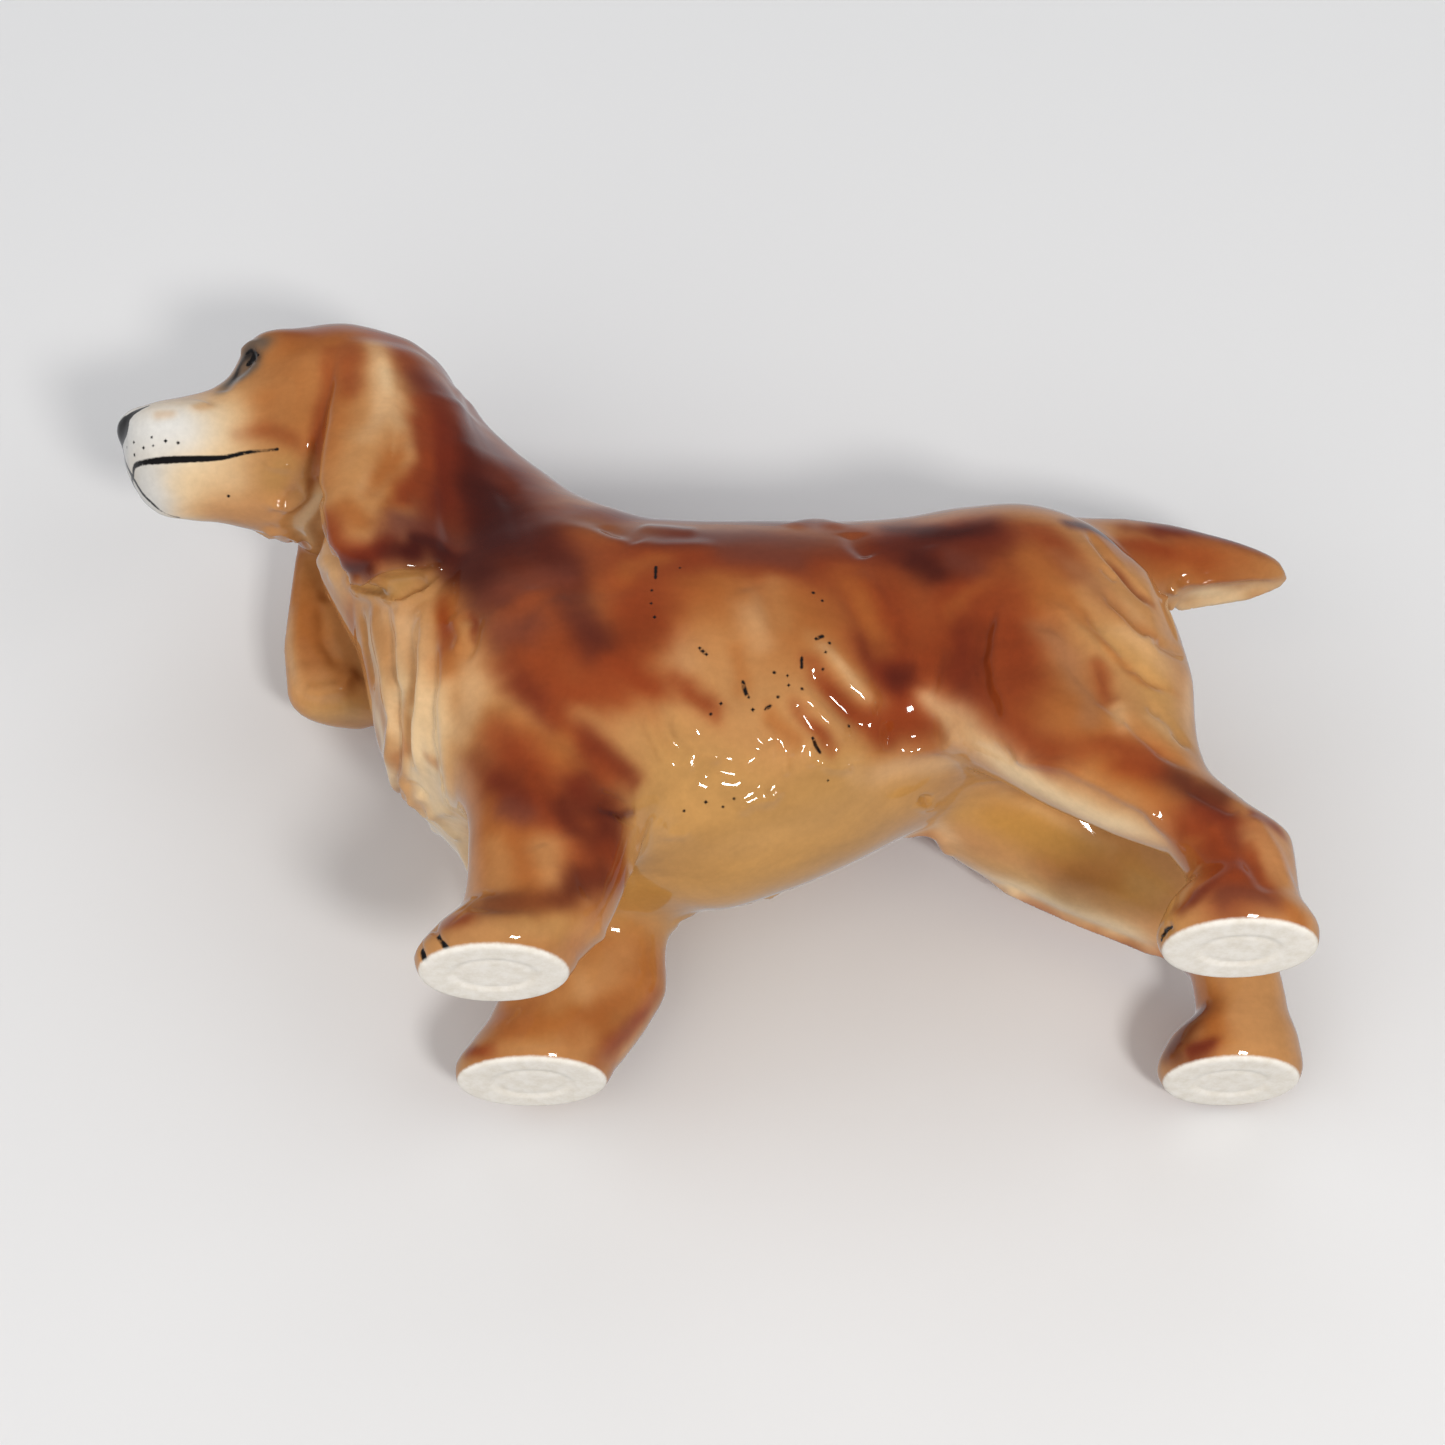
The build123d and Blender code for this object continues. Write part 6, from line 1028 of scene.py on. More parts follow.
    ("tan", 0.7, 0.9, 1.4, [(27.6, 80.6, 17.0), (28.3, 82.6, 12.6), (28.9, 83.8, 9.3)]),
    ("tan", 0.7, 0.9, 1.4, [(-26.1, 81.5, 17.0), (-27.6, 83.0, 12.5), (-29.1, 83.8, 9.5)]),
    # greyed brown on the hind foot: painted sheen
    ("mauve", 0.5, 1.5, 1.8, [(31.6, 77.5, 2.8), (31.2, 83.0, 3.2)]),
    ("mauve", 0.5, 1.5, 1.8, [(-30.4, 78.0, 2.8), (-31.3, 83.2, 3.3)]),
    ("rust", 0.78, 0.8, 1.1, [(28.3, 81.1, 13.6), (30.1, 82.6, 6.9)]),
    ("rust", 0.78, 0.8, 1.1, [(-26.9, 81.8, 13.3), (-30.2, 82.7, 6.9)]),
    ("orange", 0.6, 0.9, 1.2, [(25.1, 74.0, 14.8), (24.8, 73.9, 11.7)]),
    ("orange", 0.6, 0.9, 1.2, [(-23.1, 78.8, 14.8), (-23.8, 76.1, 8.8)]),
    ("brown", 0.78, 0.9, 1.1, [(27.9, 70.8, 4.2), (29.5, 73.3, 5.3), (30.3, 75.6, 6.2)]),
    ("brown", 0.78, 0.9, 1.1, [(-26.5, 73.3, 3.2), (-28.0, 75.0, 4.3), (-28.6, 76.5, 5.3)]),
    ("orange", 0.7, 1.1, 1.1, [(30.5, 85.0, 2.8), (28.4, 87.4, 0.8)]),
    ("orange", 0.7, 1.1, 1.1, [(-31.1, 85.3, 2.8), (-28.5, 87.4, 0.0)]),
    ("brown", 0.67, 0.9, 1.2, [(26.2, 83.0, 20.0), (25.4, 85.8, 18.5)]),
    ("brown", 0.67, 0.9, 1.2, [(-26.6, 82.9, 20.1), (-26.6, 86.0, 18.9)]),
    ("tan", 0.95, 4, 2.8, [(-13.6, 85.8, 12.7), (-12.8, 86.5, 4.5)]),
    ("orange", 0.8, 1.4, 1.8, [(-16.5, 79.5, 14.3), (-13.2, 80.0, 6.5), (-12.6, 80.6, 1.9)]),
    ("umber", 0.7, 1.5, 2.2, [(-16.5, 73.7, 3.4), (-15.5, 75.8, 6.0), (-15.8, 78.0, 8.8)]),
    ("brown", 0.9, 0.9, 1.2, [(-14.2, 76.1, 2.3), (-12.6, 79.8, 2.4)]),
    ("orange", 0.9, 5.2, 3.4, [(-9.4, -25.9, 6.4), (-9.4, -16.6, 9.6), (-11.3, -7.7, 15.9)]),
    ("tan", 0.85, 2.2, 2.2, [(-9.1, -19.7, 9.6), (-9.0, -15.5, 13.8), (-10.0, -10.0, 16.9)]),
    ("sand", 0.6, 1.2, 1.5, [(13.8, -18.0, 0.1), (-9.0, -16.5, 12.2)]),
    ("orange", 0.6, 1.4, 1.5, [(-11.8, -29.2, 8.6), (-9.0, -27.0, 2.8)]),
    ("rust", 0.78, 1.2, 1.4, [(-13.9, -13.9, 1.6), (-14.8, -9.5, 7.3), (-15.3, -5.7, 12.7)]),
    ("rust", 0.78, 0.8, 0.9, [(-12.5, -33.7, 3.2), (-10.0, -30.2, 2.3)]),
    ("tan", 0.8, 1.2, 1.2, [(-9.4, -28.5, 1.9), (-9.5, -19.7, 2.0)]),
    ("orange", 0.9, 3.7, 2.5, [(17.4, 67.9, 73.0), (6.1, 78.9, 78.8), (4.2, 90.0, 79.5)]),
    ("rust", 0.6, 2.2, 2.5, [(15.1, 68.0, 75.4), (6.4, 79.0, 80.0), (4.6, 88.5, 79.5)]),
    ("brown", 0.9, 1.4, 1.7, [(7.3, 71.1, 84.3), (4.3, 82.6, 85.1), (2.5, 92.1, 82.7)]),
    ("umber", 0.95, 1.1, 1.4, [(19.5, 60.4, 76.9), (17.5, 64.3, 76.8), (16.6, 66.7, 75.5)]),
    ("rust", 0.78, 1.2, 1.5, [(8.6, 70.5, 79.9), (7.0, 75.5, 80.2)]),
    ("cream", 1, 1.5, 0.9, [(-0.3, 78.4, 75.6), (-0.3, 85.7, 76.7), (-0.8, 94.5, 78.0)]),
    ("cream", 1, 2.2, 0.6, [(-4.0, 79.6, 76.8), (-2.8, 87.4, 77.4)]),
    ("brown", 0.56, 0.5, 0.6, [(20.9, 65.8, 68.7), (20.7, 68.5, 64.2), (20.0, 71.5, 61.6)]),
    ("tan", 1, 13.8, 1.5, [(17.5, -70.6, 100.0), (19.2, -61.7, 98.4)]),
    ("tan", 1, 13.8, 1.5, [(-2.9, -76.3, 100.0), (-9.0, -69.8, 98.3)]),
    ("tan", 0.6, 3.1, 3.1, [(18.0, -72.2, 103.6), (18.7, -67.6, 105.2), (19.4, -63.7, 100.5)]),
    ("tan", 0.6, 3.1, 3.1, [(-2.5, -78.0, 103.6), (-5.3, -74.6, 105.2), (-8.1, -71.6, 100.5)]),
    ("orange", 0.6, 5.2, 4.6, [(19.6, -64.1, 108.3), (19.7, -61.9, 100.2), (18.8, -64.8, 115.1)]),
    ("orange", 0.6, 5.2, 4.6, [(-8.0, -72.0, 108.3), (-9.3, -70.2, 100.0), (-7.1, -72.1, 115.2)]),
    ("tan", 0.8, 2.5, 2.8, [(17.9, -72.7, 101.5), (16.2, -73.7, 96.1)]),
    ("tan", 0.8, 2.5, 2.8, [(-2.0, -78.6, 101.4), (-0.0, -78.5, 96.2)]),
    ("sand", 0.75, 2.8, 3.1, [(18.7, -76.1, 102.3), (17.1, -77.4, 96.2)]),
    ("sand", 0.75, 2.8, 3.1, [(-0.9, -81.7, 102.5), (1.2, -82.2, 96.1)]),
    ("sand", 0.7, 2.5, 2.8, [(13.7, -80.0, 91.2), (13.1, -73.6, 92.4)]),
    ("sand", 0.7, 2.5, 2.8, [(5.5, -82.7, 91.2), (2.5, -76.4, 92.3)]),
    ("tan", 0.7, 2.2, 2.2, [(7.7, -77.9, 90.2), (7.0, -69.6, 90.2)]),
    ("tan", 0.7, 2.2, 2.2, [(9.1, -77.4, 90.2), (5.5, -70.1, 90.2)]),
    ("gold", 0.7, 2.2, 2.2, [(13.3, -66.4, 93.1), (14.6, -64.9, 94.0)]),
    ("gold", 0.7, 2.2, 2.2, [(-1.4, -70.6, 93.0), (-3.5, -70.1, 94.1)]),
    ("tan", 0.6, 1.2, 1.5, [(10.7, -70.1, 91.2), (8.1, -65.3, 90.8)]),
    ("tan", 0.6, 1.2, 1.5, [(2.4, -72.2, 91.3), (2.3, -66.9, 90.8)]),
    ("orange", 0.6, 1.5, 2.2, [(18.5, -68.7, 105.2), (17.8, -68.5, 100.5)]),
    ("orange", 0.6, 1.5, 2.2, [(-4.6, -75.4, 105.2), (-4.3, -74.6, 100.4)]),
    ("cream", 0.8, 2.5, 3.1, [(18.4, -79.9, 97.6), (13.9, -81.7, 91.0)]),
    ("cream", 0.8, 2.5, 3.1, [(1.2, -84.8, 97.8), (6.1, -83.7, 91.0)]),
    ("cream", 0.8, 4.9, 4.3, [(17.2, -89.1, 98.9), (18.8, -81.2, 98.1), (18.8, -77.5, 100.1)]),
    ("cream", 0.8, 4.9, 4.3, [(7.2, -91.9, 99.0), (1.7, -86.1, 98.1), (-0.3, -83.1, 100.0)]),
    ("white", 1, 5.2, 3.7, [(12.9, -92.5, 102.2), (18.5, -87.3, 99.0), (19.5, -83.7, 99.6)]),
    ("white", 1, 5.2, 3.7, [(12.9, -92.5, 102.2), (5.0, -91.0, 98.9), (2.3, -88.5, 99.4)]),
    ("white", 0.8, 2.2, 2.5, [(18.2, -83.7, 96.6), (18.5, -80.9, 97.6)]),
    ("white", 0.8, 2.2, 2.5, [(3.4, -87.9, 96.7), (1.8, -85.7, 97.4)]),
    ("cream", 0.5, 3.1, 4.3, [(13.4, -84.8, 90.9), (14.8, -80.0, 92.1), (15.2, -75.8, 93.8)]),
    ("cream", 0.5, 3.1, 4.3, [(8.1, -86.4, 90.9), (4.5, -83.3, 92.1), (1.9, -79.6, 93.8)]),
    ("white", 0.8, 2.2, 3.4, [(8.1, -89.4, 93.7), (11.3, -86.8, 91.1), (13.2, -87.3, 92.2)]),
    ("white", 0.8, 2.2, 3.4, [(14.9, -87.4, 93.6), (10.8, -87.0, 91.1), (9.7, -88.3, 92.1)]),
    ("sand", 0.5, 1.2, 1.2, [(17.3, -78.5, 107.0), (17.5, -75.0, 107.2)]),
    ("sand", 0.5, 1.2, 1.2, [(1.6, -83.0, 107.1), (-0.4, -80.2, 107.1)]),
    ("tan", 0.5, 0.6, 0.8, [(19.1, -79.0, 103.5), (18.4, -77.4, 104.6)]),
    ("tan", 0.5, 0.6, 0.8, [(0.2, -84.3, 103.5), (-0.0, -82.7, 104.7)]),
    ("tan", 0.35, 0.5, 0.9, [(19.8, -85.0, 101.9), (19.9, -83.2, 102.0)]),
    ("rust", 0.6, 2.2, 3.1, [(17.3, -63.8, 120.4), (17.5, -57.1, 120.1), (15.9, -52.3, 120.8)]),
    ("rust", 0.6, 2.2, 3.1, [(-6.2, -70.7, 120.4), (-10.0, -64.8, 120.3), (-11.2, -60.0, 120.7)]),
    ("rust", 0.42, 0.6, 1.8, [(17.3, -72.2, 99.3), (17.6, -68.3, 99.8), (18.3, -63.7, 97.3), (17.3, -61.0, 95.4)]),
    ("rust", 0.42, 0.6, 1.8, [(-1.8, -77.9, 99.5), (-4.2, -74.5, 99.9), (-7.1, -71.1, 97.3), (-7.9, -68.4, 95.5)]),
    ("orange", 0.8, 1.8, 2.2, [(18.7, -63.2, 116.4), (18.7, -58.5, 117.3), (17.8, -55.4, 119.1)]),
    ("orange", 0.8, 1.8, 2.2, [(-7.8, -70.7, 116.5), (-10.3, -66.9, 117.2), (-11.1, -63.7, 119.2)]),
    ("rust", 0.78, 0.8, 1.2, [(19.6, -58.0, 114.4), (20.3, -58.0, 106.7), (20.1, -58.7, 99.9), (17.1, -59.1, 95.1), (12.9, -60.1, 92.9)]),
    ("rust", 0.78, 0.8, 1.2, [(-11.2, -66.9, 114.6), (-11.7, -67.3, 106.7), (-11.2, -67.8, 99.9), (-8.8, -66.4, 95.2), (-4.5, -65.3, 93.0)]),
    ("orange", 0.9, 2.5, 2.2, [(20.3, -55.4, 112.0), (22.3, -54.8, 102.0), (24.1, -54.7, 92.5), (25.2, -55.2, 84.1)]),
    ("orange", 0.9, 2.5, 2.2, [(-13.2, -65.1, 111.9), (-15.4, -65.7, 102.1), (-17.1, -66.4, 92.5), (-23.8, -54.8, 83.6)]),
    ("rust", 0.84, 1.8, 2.2, [(26.1, -54.7, 75.5), (25.9, -53.5, 70.8), (25.2, -51.0, 68.4)]),
    ("rust", 0.84, 1.8, 2.2, [(-25.1, -54.8, 75.2), (-25.2, -53.3, 71.0), (-24.1, -51.5, 69.3)]),
    ("rust", 0.67, 1.5, 2.2, [(19.7, -55.0, 114.3), (21.7, -53.6, 105.3)]),
    ("rust", 0.67, 1.5, 2.2, [(-13.0, -64.4, 114.4), (-15.6, -64.4, 105.2)]),
    ("tan", 0.8, 2.2, 2.5, [(23.1, -51.7, 99.2), (24.7, -51.7, 90.0), (26.2, -51.7, 80.9)]),
    ("tan", 0.8, 2.2, 2.5, [(-17.8, -63.4, 99.4), (-19.1, -64.2, 89.9), (-24.8, -51.7, 81.0)]),
    ("tan", 0.9, 2.5, 2.5, [(20.4, -49.6, 109.4), (22.3, -46.9, 99.9), (23.4, -44.3, 91.0)]),
    ("tan", 0.9, 2.5, 2.5, [(-16.7, -60.2, 109.4), (-19.6, -59.0, 99.9), (-21.8, -57.5, 91.0)]),
    ("sand", 0.85, 1.1, 1.5, [(18.6, -51.2, 116.1), (20.7, -49.4, 108.0), (22.4, -48.5, 100.5), (24.2, -50.2, 92.5)]),
    ("sand", 0.85, 1.1, 1.5, [(-14.3, -60.6, 116.2), (-17.0, -60.3, 108.1), (-19.0, -60.3, 100.5), (-19.5, -62.6, 92.5)]),
    ("sand", 0.5, 0.6, 0.9, [(25.1, -48.6, 85.7), (26.4, -50.1, 79.9)]),
    ("sand", 0.5, 0.6, 0.9, [(-24.6, -48.7, 85.7), (-24.9, -50.1, 80.0)]),
    ("sand", 0.75, 1.1, 1.4, [(18.6, -51.2, 116.1), (20.9, -48.7, 107.1), (22.5, -46.4, 98.4), (23.2, -44.4, 92.0)]),
    ("sand", 0.75, 1.1, 1.4, [(-14.3, -60.6, 116.2), (-17.6, -59.6, 107.2), (-20.1, -58.6, 98.4), (-21.7, -57.4, 92.0)]),
    ("cream", 0.4, 0.5, 0.9, [(20.0, -49.6, 110.9), (21.7, -47.7, 103.2)]),
    ("cream", 0.4, 0.5, 0.9, [(-16.4, -59.9, 110.9), (-18.8, -59.2, 103.1)]),
    ("orange", 0.8, 1.1, 1.2, [(23.1, -45.4, 93.6), (24.6, -46.9, 86.8), (26.1, -48.7, 80.8)]),
    ("orange", 0.8, 1.1, 1.2, [(-21.1, -58.2, 93.7), (-24.4, -47.1, 86.7), (-24.8, -48.6, 81.0)]),
    ("orange", 0.8, 1.4, 1.7, [(24.1, -44.5, 86.2), (25.4, -44.4, 79.4), (26.9, -45.7, 74.8)]),
    ("orange", 0.8, 1.4, 1.7, [(-23.3, -45.0, 86.2), (-23.5, -45.8, 79.8), (-23.8, -48.0, 75.8)]),
    ("tan", 0.5, 0.8, 0.9, [(22.9, -43.9, 93.0), (23.4, -42.8, 87.8)]),
    ("tan", 0.5, 0.8, 0.9, [(-21.7, -56.9, 93.1), (-22.4, -43.8, 87.8)]),
    ("orange", 0.7, 1.4, 1.7, [(26.7, -52.2, 77.9), (27.3, -49.6, 74.6)]),
    ("orange", 0.7, 1.4, 1.7, [(-24.9, -52.2, 77.8), (-24.7, -50.3, 74.8)]),
    ("brown", 0.95, 1.5, 1.8, [(24.9, -51.2, 68.4), (26.7, -47.0, 68.7), (27.4, -45.0, 71.0)]),
    ("brown", 0.95, 1.5, 1.8, [(-24.1, -51.5, 69.3), (-23.5, -49.4, 70.3), (-23.5, -48.8, 71.8)]),
    # greyed brown on the neck below the ear: painted sheen
    ("mauve", 0.75, 2.2, 2.5, [(26.4, -43.4, 74.2), (24.9, -39.8, 73.6), (22.8, -37.0, 73.5)]),
    ("mauve", 0.75, 2.2, 2.5, [(-23.1, -47.2, 75.9), (-20.2, -38.0, 72.8), (-20.8, -36.4, 73.1)]),
    ("umber", 0.9, 1.2, 1.5, [(26.4, -43.7, 68.9), (24.5, -38.8, 70.0), (22.3, -34.4, 70.0)]),
    ("umber", 0.9, 1.2, 1.5, [(-23.2, -48.8, 71.0), (-20.9, -37.1, 69.4), (-22.1, -34.4, 70.0)]),
    ("umber", 0.78, 0.9, 1.2, [(23.3, -51.0, 68.0), (24.4, -48.6, 67.5)]),
    ("umber", 0.78, 0.9, 1.2, [(-23.0, -51.0, 68.6), (-23.1, -49.9, 69.4)]),
    ("rust", 0.9, 1.4, 1.5, [(24.7, -42.6, 79.9), (23.9, -42.6, 84.3)]),
    ("rust", 0.9, 1.4, 1.5, [(-22.9, -45.0, 80.5), (-22.5, -44.2, 84.7)]),
    ("rust", 0.78, 1.2, 1.7, [(14.3, -52.5, 122.9), (14.5, -48.5, 120.5), (18.8, -45.0, 110.8)]),
    ("rust", 0.78, 1.2, 1.7, [(-9.7, -59.3, 123.0), (-12.0, -56.2, 120.7), (-17.8, -55.4, 111.0)]),
    ("brown", 1, 2.2, 2.5, [(18.5, -41.4, 107.5), (21.4, -39.1, 96.2), (22.5, -37.9, 83.6), (23.5, -37.8, 73.2)]),
    ("brown", 1, 2.2, 2.5, [(-19.5, -52.2, 107.5), (-23.0, -51.7, 96.3), (-18.5, -37.5, 83.1), (-20.7, -36.9, 72.6)]),
    ("rust", 0.9, 1.1, 1.5, [(20.8, -43.0, 102.9), (22.4, -41.2, 93.6), (23.6, -40.7, 82.6)]),
    ("rust", 0.9, 1.1, 1.5, [(-20.5, -54.7, 102.9), (-22.7, -54.3, 93.6), (-21.3, -43.4, 82.9)]),
    ("umber", 1, 1.1, 1.2, [(26.7, -45.4, 68.8), (26.2, -41.9, 69.6), (23.4, -37.5, 70.6), (22.5, -34.6, 67.8)]),
    ("umber", 1, 1.1, 1.2, [(-23.3, -49.1, 70.6), (-19.9, -39.3, 69.4), (-21.2, -36.3, 70.3), (-22.4, -34.5, 68.0)]),
    ("gold", 1, 2, 0.8, [(11.0, -51.0, 73.2), (20.8, -43.7, 67.3), (21.5, -38.8, 67.2)]),
    ("gold", 1, 2, 0.8, [(-11.1, -50.9, 73.1), (-18.3, -42.4, 67.4), (-20.5, -38.3, 67.4)]),
    ("sand", 0.9, 1.5, 1.5, [(2.9, -62.2, 91.4), (5.5, -58.8, 82.5), (6.5, -54.8, 74.7)]),
    ("sand", 0.9, 1.5, 1.5, [(4.9, -61.7, 91.3), (-5.3, -58.9, 82.5), (-6.5, -54.8, 74.8)]),
    ("cream", 0.6, 0.9, 1.1, [(4.9, -63.8, 91.0), (-4.6, -62.7, 92.8)]),
    ("cream", 0.6, 0.9, 1.1, [(3.9, -63.8, 91.0), (12.1, -58.3, 92.4)]),
    ("sand", 0.8, 1.5, 1.5, [(14.7, -46.7, 65.8), (16.6, -44.0, 63.0), (17.5, -42.3, 58.4)]),
    ("sand", 0.8, 1.5, 1.5, [(-14.8, -46.7, 65.9), (-16.5, -44.2, 63.2), (-17.5, -42.1, 58.4)]),
    ("tan", 0.7, 0.8, 0.9, [(3.8, -68.5, 90.4), (-6.9, -67.4, 94.4)]),
    ("tan", 0.7, 0.8, 0.9, [(7.8, -67.3, 90.4), (16.3, -60.5, 94.4)]),
    ("tan", 0.9, 4, 2.5, [(-12.5, -64.3, 87.3), (-13.2, -62.7, 77.3), (-14.7, -60.6, 68.6)]),
    ("orange", 0.7, 2.5, 2.2, [(-12.5, -65.3, 88.9), (-12.9, -63.8, 81.5), (-13.2, -62.2, 76.3)]),
    ("orange", 0.5, 1.2, 1.2, [(-13.6, -58.6, 74.7), (-14.2, -56.9, 70.0)]),
    ("gold", 0.8, 2.2, 1.5, [(-17.6, -62.2, 67.5), (-17.1, -56.9, 67.6)]),
    ("sand", 0.6, 0.8, 0.9, [(-13.5, -67.3, 85.7), (-14.2, -67.2, 78.4), (-14.5, -65.3, 70.6)]),
    ("grey", 0.8, 0.8, 1.2, [(16.7, -75.7, 109.1), (15.3, -74.2, 113.5), (16.3, -72.6, 115.1)]),
    ("grey", 0.8, 0.8, 1.2, [(0.5, -80.3, 109.2), (0.9, -78.3, 113.5), (-0.8, -77.5, 115.1)]),
    ("grey", 0.75, 1.2, 1.4, [(16.4, -72.6, 116.7), (17.6, -71.1, 117.2), (18.3, -69.6, 117.2)]),
    ("grey", 0.75, 1.2, 1.4, [(-0.8, -77.5, 116.7), (-2.8, -76.9, 117.2), (-4.1, -76.0, 117.2)]),
    ("grey", 0.7, 0.9, 1.2, [(16.5, -72.8, 112.1), (17.3, -70.8, 113.5)]),
    ("grey", 0.7, 0.9, 1.2, [(-0.8, -77.9, 112.0), (-2.6, -76.6, 113.5)]),
    ("dark", 0.95, 0.2, 0.6, [(16.1, -74.9, 111.1), (15.2, -74.0, 114.4), (15.8, -73.1, 116.2)]),
    ("dark", 0.95, 0.2, 0.6, [(0.5, -79.3, 110.9), (1.0, -78.1, 114.4), (-0.3, -77.7, 116.2)]),
    ("dark", 0.95, 0.4, 0.6, [(15.8, -73.1, 115.7), (17.1, -71.7, 116.2), (17.9, -69.9, 114.7)]),
    ("dark", 0.95, 0.4, 0.6, [(-0.3, -77.7, 115.7), (-2.1, -77.1, 116.2), (-3.6, -76.0, 114.6)]),
    ("dark", 0.9, 0.4, 0.5, [(17.0, -71.6, 114.6)]),
    ("dark", 0.9, 0.4, 0.5, [(-2.0, -77.0, 114.5)]),
]


def lattice(P, seed, n=32):
    """Smooth noise in -1..1 from a random lattice of unit cells."""
    g = np.random.RandomState(seed).rand(n, n, n) * 2 - 1
    f = np.floor(P).astype(int); t = smooth(P - f)
    out = np.zeros(len(P))
    for i in (0, 1):
        for j in (0, 1):
            for k in (0, 1):
                w = np.abs(1 - i - t[:, 0]) * np.abs(1 - j - t[:, 1]) * np.abs(1 - k - t[:, 2])
                out += w * g[(f[:, 0] + i) % n, (f[:, 1] + j) % n, (f[:, 2] + k) % n]
    return out


HAIR = np.array([0.0, 0.66, -0.75])          # the way the airbrushed coat flows


def waver(P):
    """Points shifted so that the airbrush's edges break up along the coat."""
    side = np.cross(X, HAIR)
    q = np.stack([P[:, 0] / 5.0, P @ HAIR / 13.0, P @ side / 4.4], 1)
    a = lattice(q, 1) + 0.5 * lattice(q * 2.1, 2)
    b = np.stack([lattice(P / 6.0, 3 + i) + 0.5 * lattice(P / 2.7, 6 + i) for i in range(3)], 1)
    calm = np.where(P[:, 1] < -46, np.where(P[:, 2] > 58, 0.4, 0.8), 1.0)[:, None]
    return P + calm * (a[:, None] * HAIR * 1.4 + b * 0.6)


# airbrush paint, with a painted sheen laid on by the greyed-brown strokes
def paint(P, parts_lab):
    col = np.tile(C["tan"], (len(P), 1)).astype(float)
    W = waver(P)
    for name, strength, radius, soft, pts in PAINT:
        s = radius + 0.6 * soft
        line = curve(pts)
        d, al = line_distance(W, line, 2.0 * s)
        long = np.sqrt((np.diff(line, axis=0) ** 2).sum(1)).sum() / (4 * s) - 0.5
        ends = 1 - 0.5 * min(max(long, 0.0), 1.0) * (1 - smooth(np.minimum(al, 1 - al) / 0.3))
        w = strength * np.exp(-1.1 * (d / s) ** 2.3) * ends * (d < 900)
        col += (C[name] - col) * w[:, None]
    return np.clip(col, 0, 1)


def to_linear(c):
    return np.where(c <= 0.04045, c / 12.92, ((c + 0.055) / 1.055) ** 2.4)


# ------------------------------------------------------------------------------
# pieces
# ------------------------------------------------------------------------------
def caps(Q, nverts):
    """Boundary loops of a quad set, each as a list of vertex numbers."""
    E = np.concatenate([Q[:, [0, 1]], Q[:, [1, 2]], Q[:, [2, 3]], Q[:, [3, 0]]])
    key = np.minimum(E[:, 0], E[:, 1]) * nverts + np.maximum(E[:, 0], E[:, 1])
    _, inv, cnt = np.unique(key, return_inverse=True, return_counts=True)
    B = E[cnt[inv] == 1]
    nxt = {}
    for a, b in B:
        nxt.setdefault(int(a), []).append(int(b))
    loops = []
    while nxt:
        s = next(iter(nxt)); cur = s; loop = []
        while cur in nxt:
            loop.append(cur)
            o = nxt[cur]; b = o.pop()
            if not o:
                del nxt[cur]
            cur = b
            if cur == s:
                break
        if len(loop) > 2:
            loops.append(loop)
    return loops


def make_piece(name, V, N, Q, attrs, material, lift=None):
    used = np.unique(Q)
    remap = np.full(len(V), -1); remap[used] = np.arange(len(used))
    q = remap[Q]
    v = V[used]; n = N[used]
    faces = q.tolist()
    extra, en, src = [], [], []
    for loop in caps(q, len(v)):
        # a cut edge turns in under the skin first and is then closed
        sole = v[loop, 2].mean() < 1.0
        r0 = len(v) + len(extra); m = len(loop)
        ring = v[loop] - n[loop] * (0.8 if sole else 1.8)
        c = ring.mean(0) + (lift if lift is not None and sole else 0.0)
        extra.extend(ring); en.extend(n[loop]); src.extend(loop)
        extra.append(c); en.append(n[loop].mean(0)); src.append(loop[0])
        for i in range(m):
            j = (i + 1) % m
            faces.append((loop[j], loop[i], r0 + i, r0 + j))
            faces.append((r0 + j, r0 + i, r0 + m))
    src = np.r_[np.arange(len(v)), np.array(src, int)]
    if extra:
        v = np.vstack([v, extra]); n = np.vstack([n, en])
    n /= np.linalg.norm(n, axis=1)[:, None] + 1e-12
    me = bpy.data.meshes.new(name)
    me.from_pydata(((v + SHIFT) * 0.001).tolist(), [], faces)
    me.polygons.foreach_set("use_smooth", np.ones(len(me.polygons), bool))
    for key, val in attrs.items():
        val = val[used]
        if val.ndim == 2:
            a = me.attributes.new(key, "FLOAT_COLOR", "POINT")
            full = np.ones((len(v), 4), np.float32); full[:, :3] = val[src]
            a.data.foreach_set("color", full.ravel())
        else:
            a = me.attributes.new(key, "FLOAT", "POINT")
            full = val[src].astype(np.float32)
            a.data.foreach_set("value", full)
    me.normals_split_custom_set_from_vertices(n.tolist())
    me.materials.append(material)
    me.update()
    ob = bpy.data.objects.new(name, me)
    bpy.context.scene.collection.objects.link(ob)
    return ob


def nearest_part(V):
    _, parts = field(V, True)
    bias = {"body_shell": 0.0}
    for i, p in enumerate(PARTS):
        parts[i] += bias.get(p, 0.0)
    return parts


def clean_labels(lab, Q, E, rounds=6):
    """Majority smoothing of a per-vertex label."""
    n = len(lab); k = int(lab.max()) + 1
    for _ in range(rounds):
        cnt = np.zeros((n, k))
        cnt[np.arange(n), lab] += 1.1
        for a, b in ((0, 1), (1, 0)):
            np.add.at(cnt, (E[:, a], lab[E[:, b]]), 1.0)
        lab = cnt.argmax(1)
    return lab


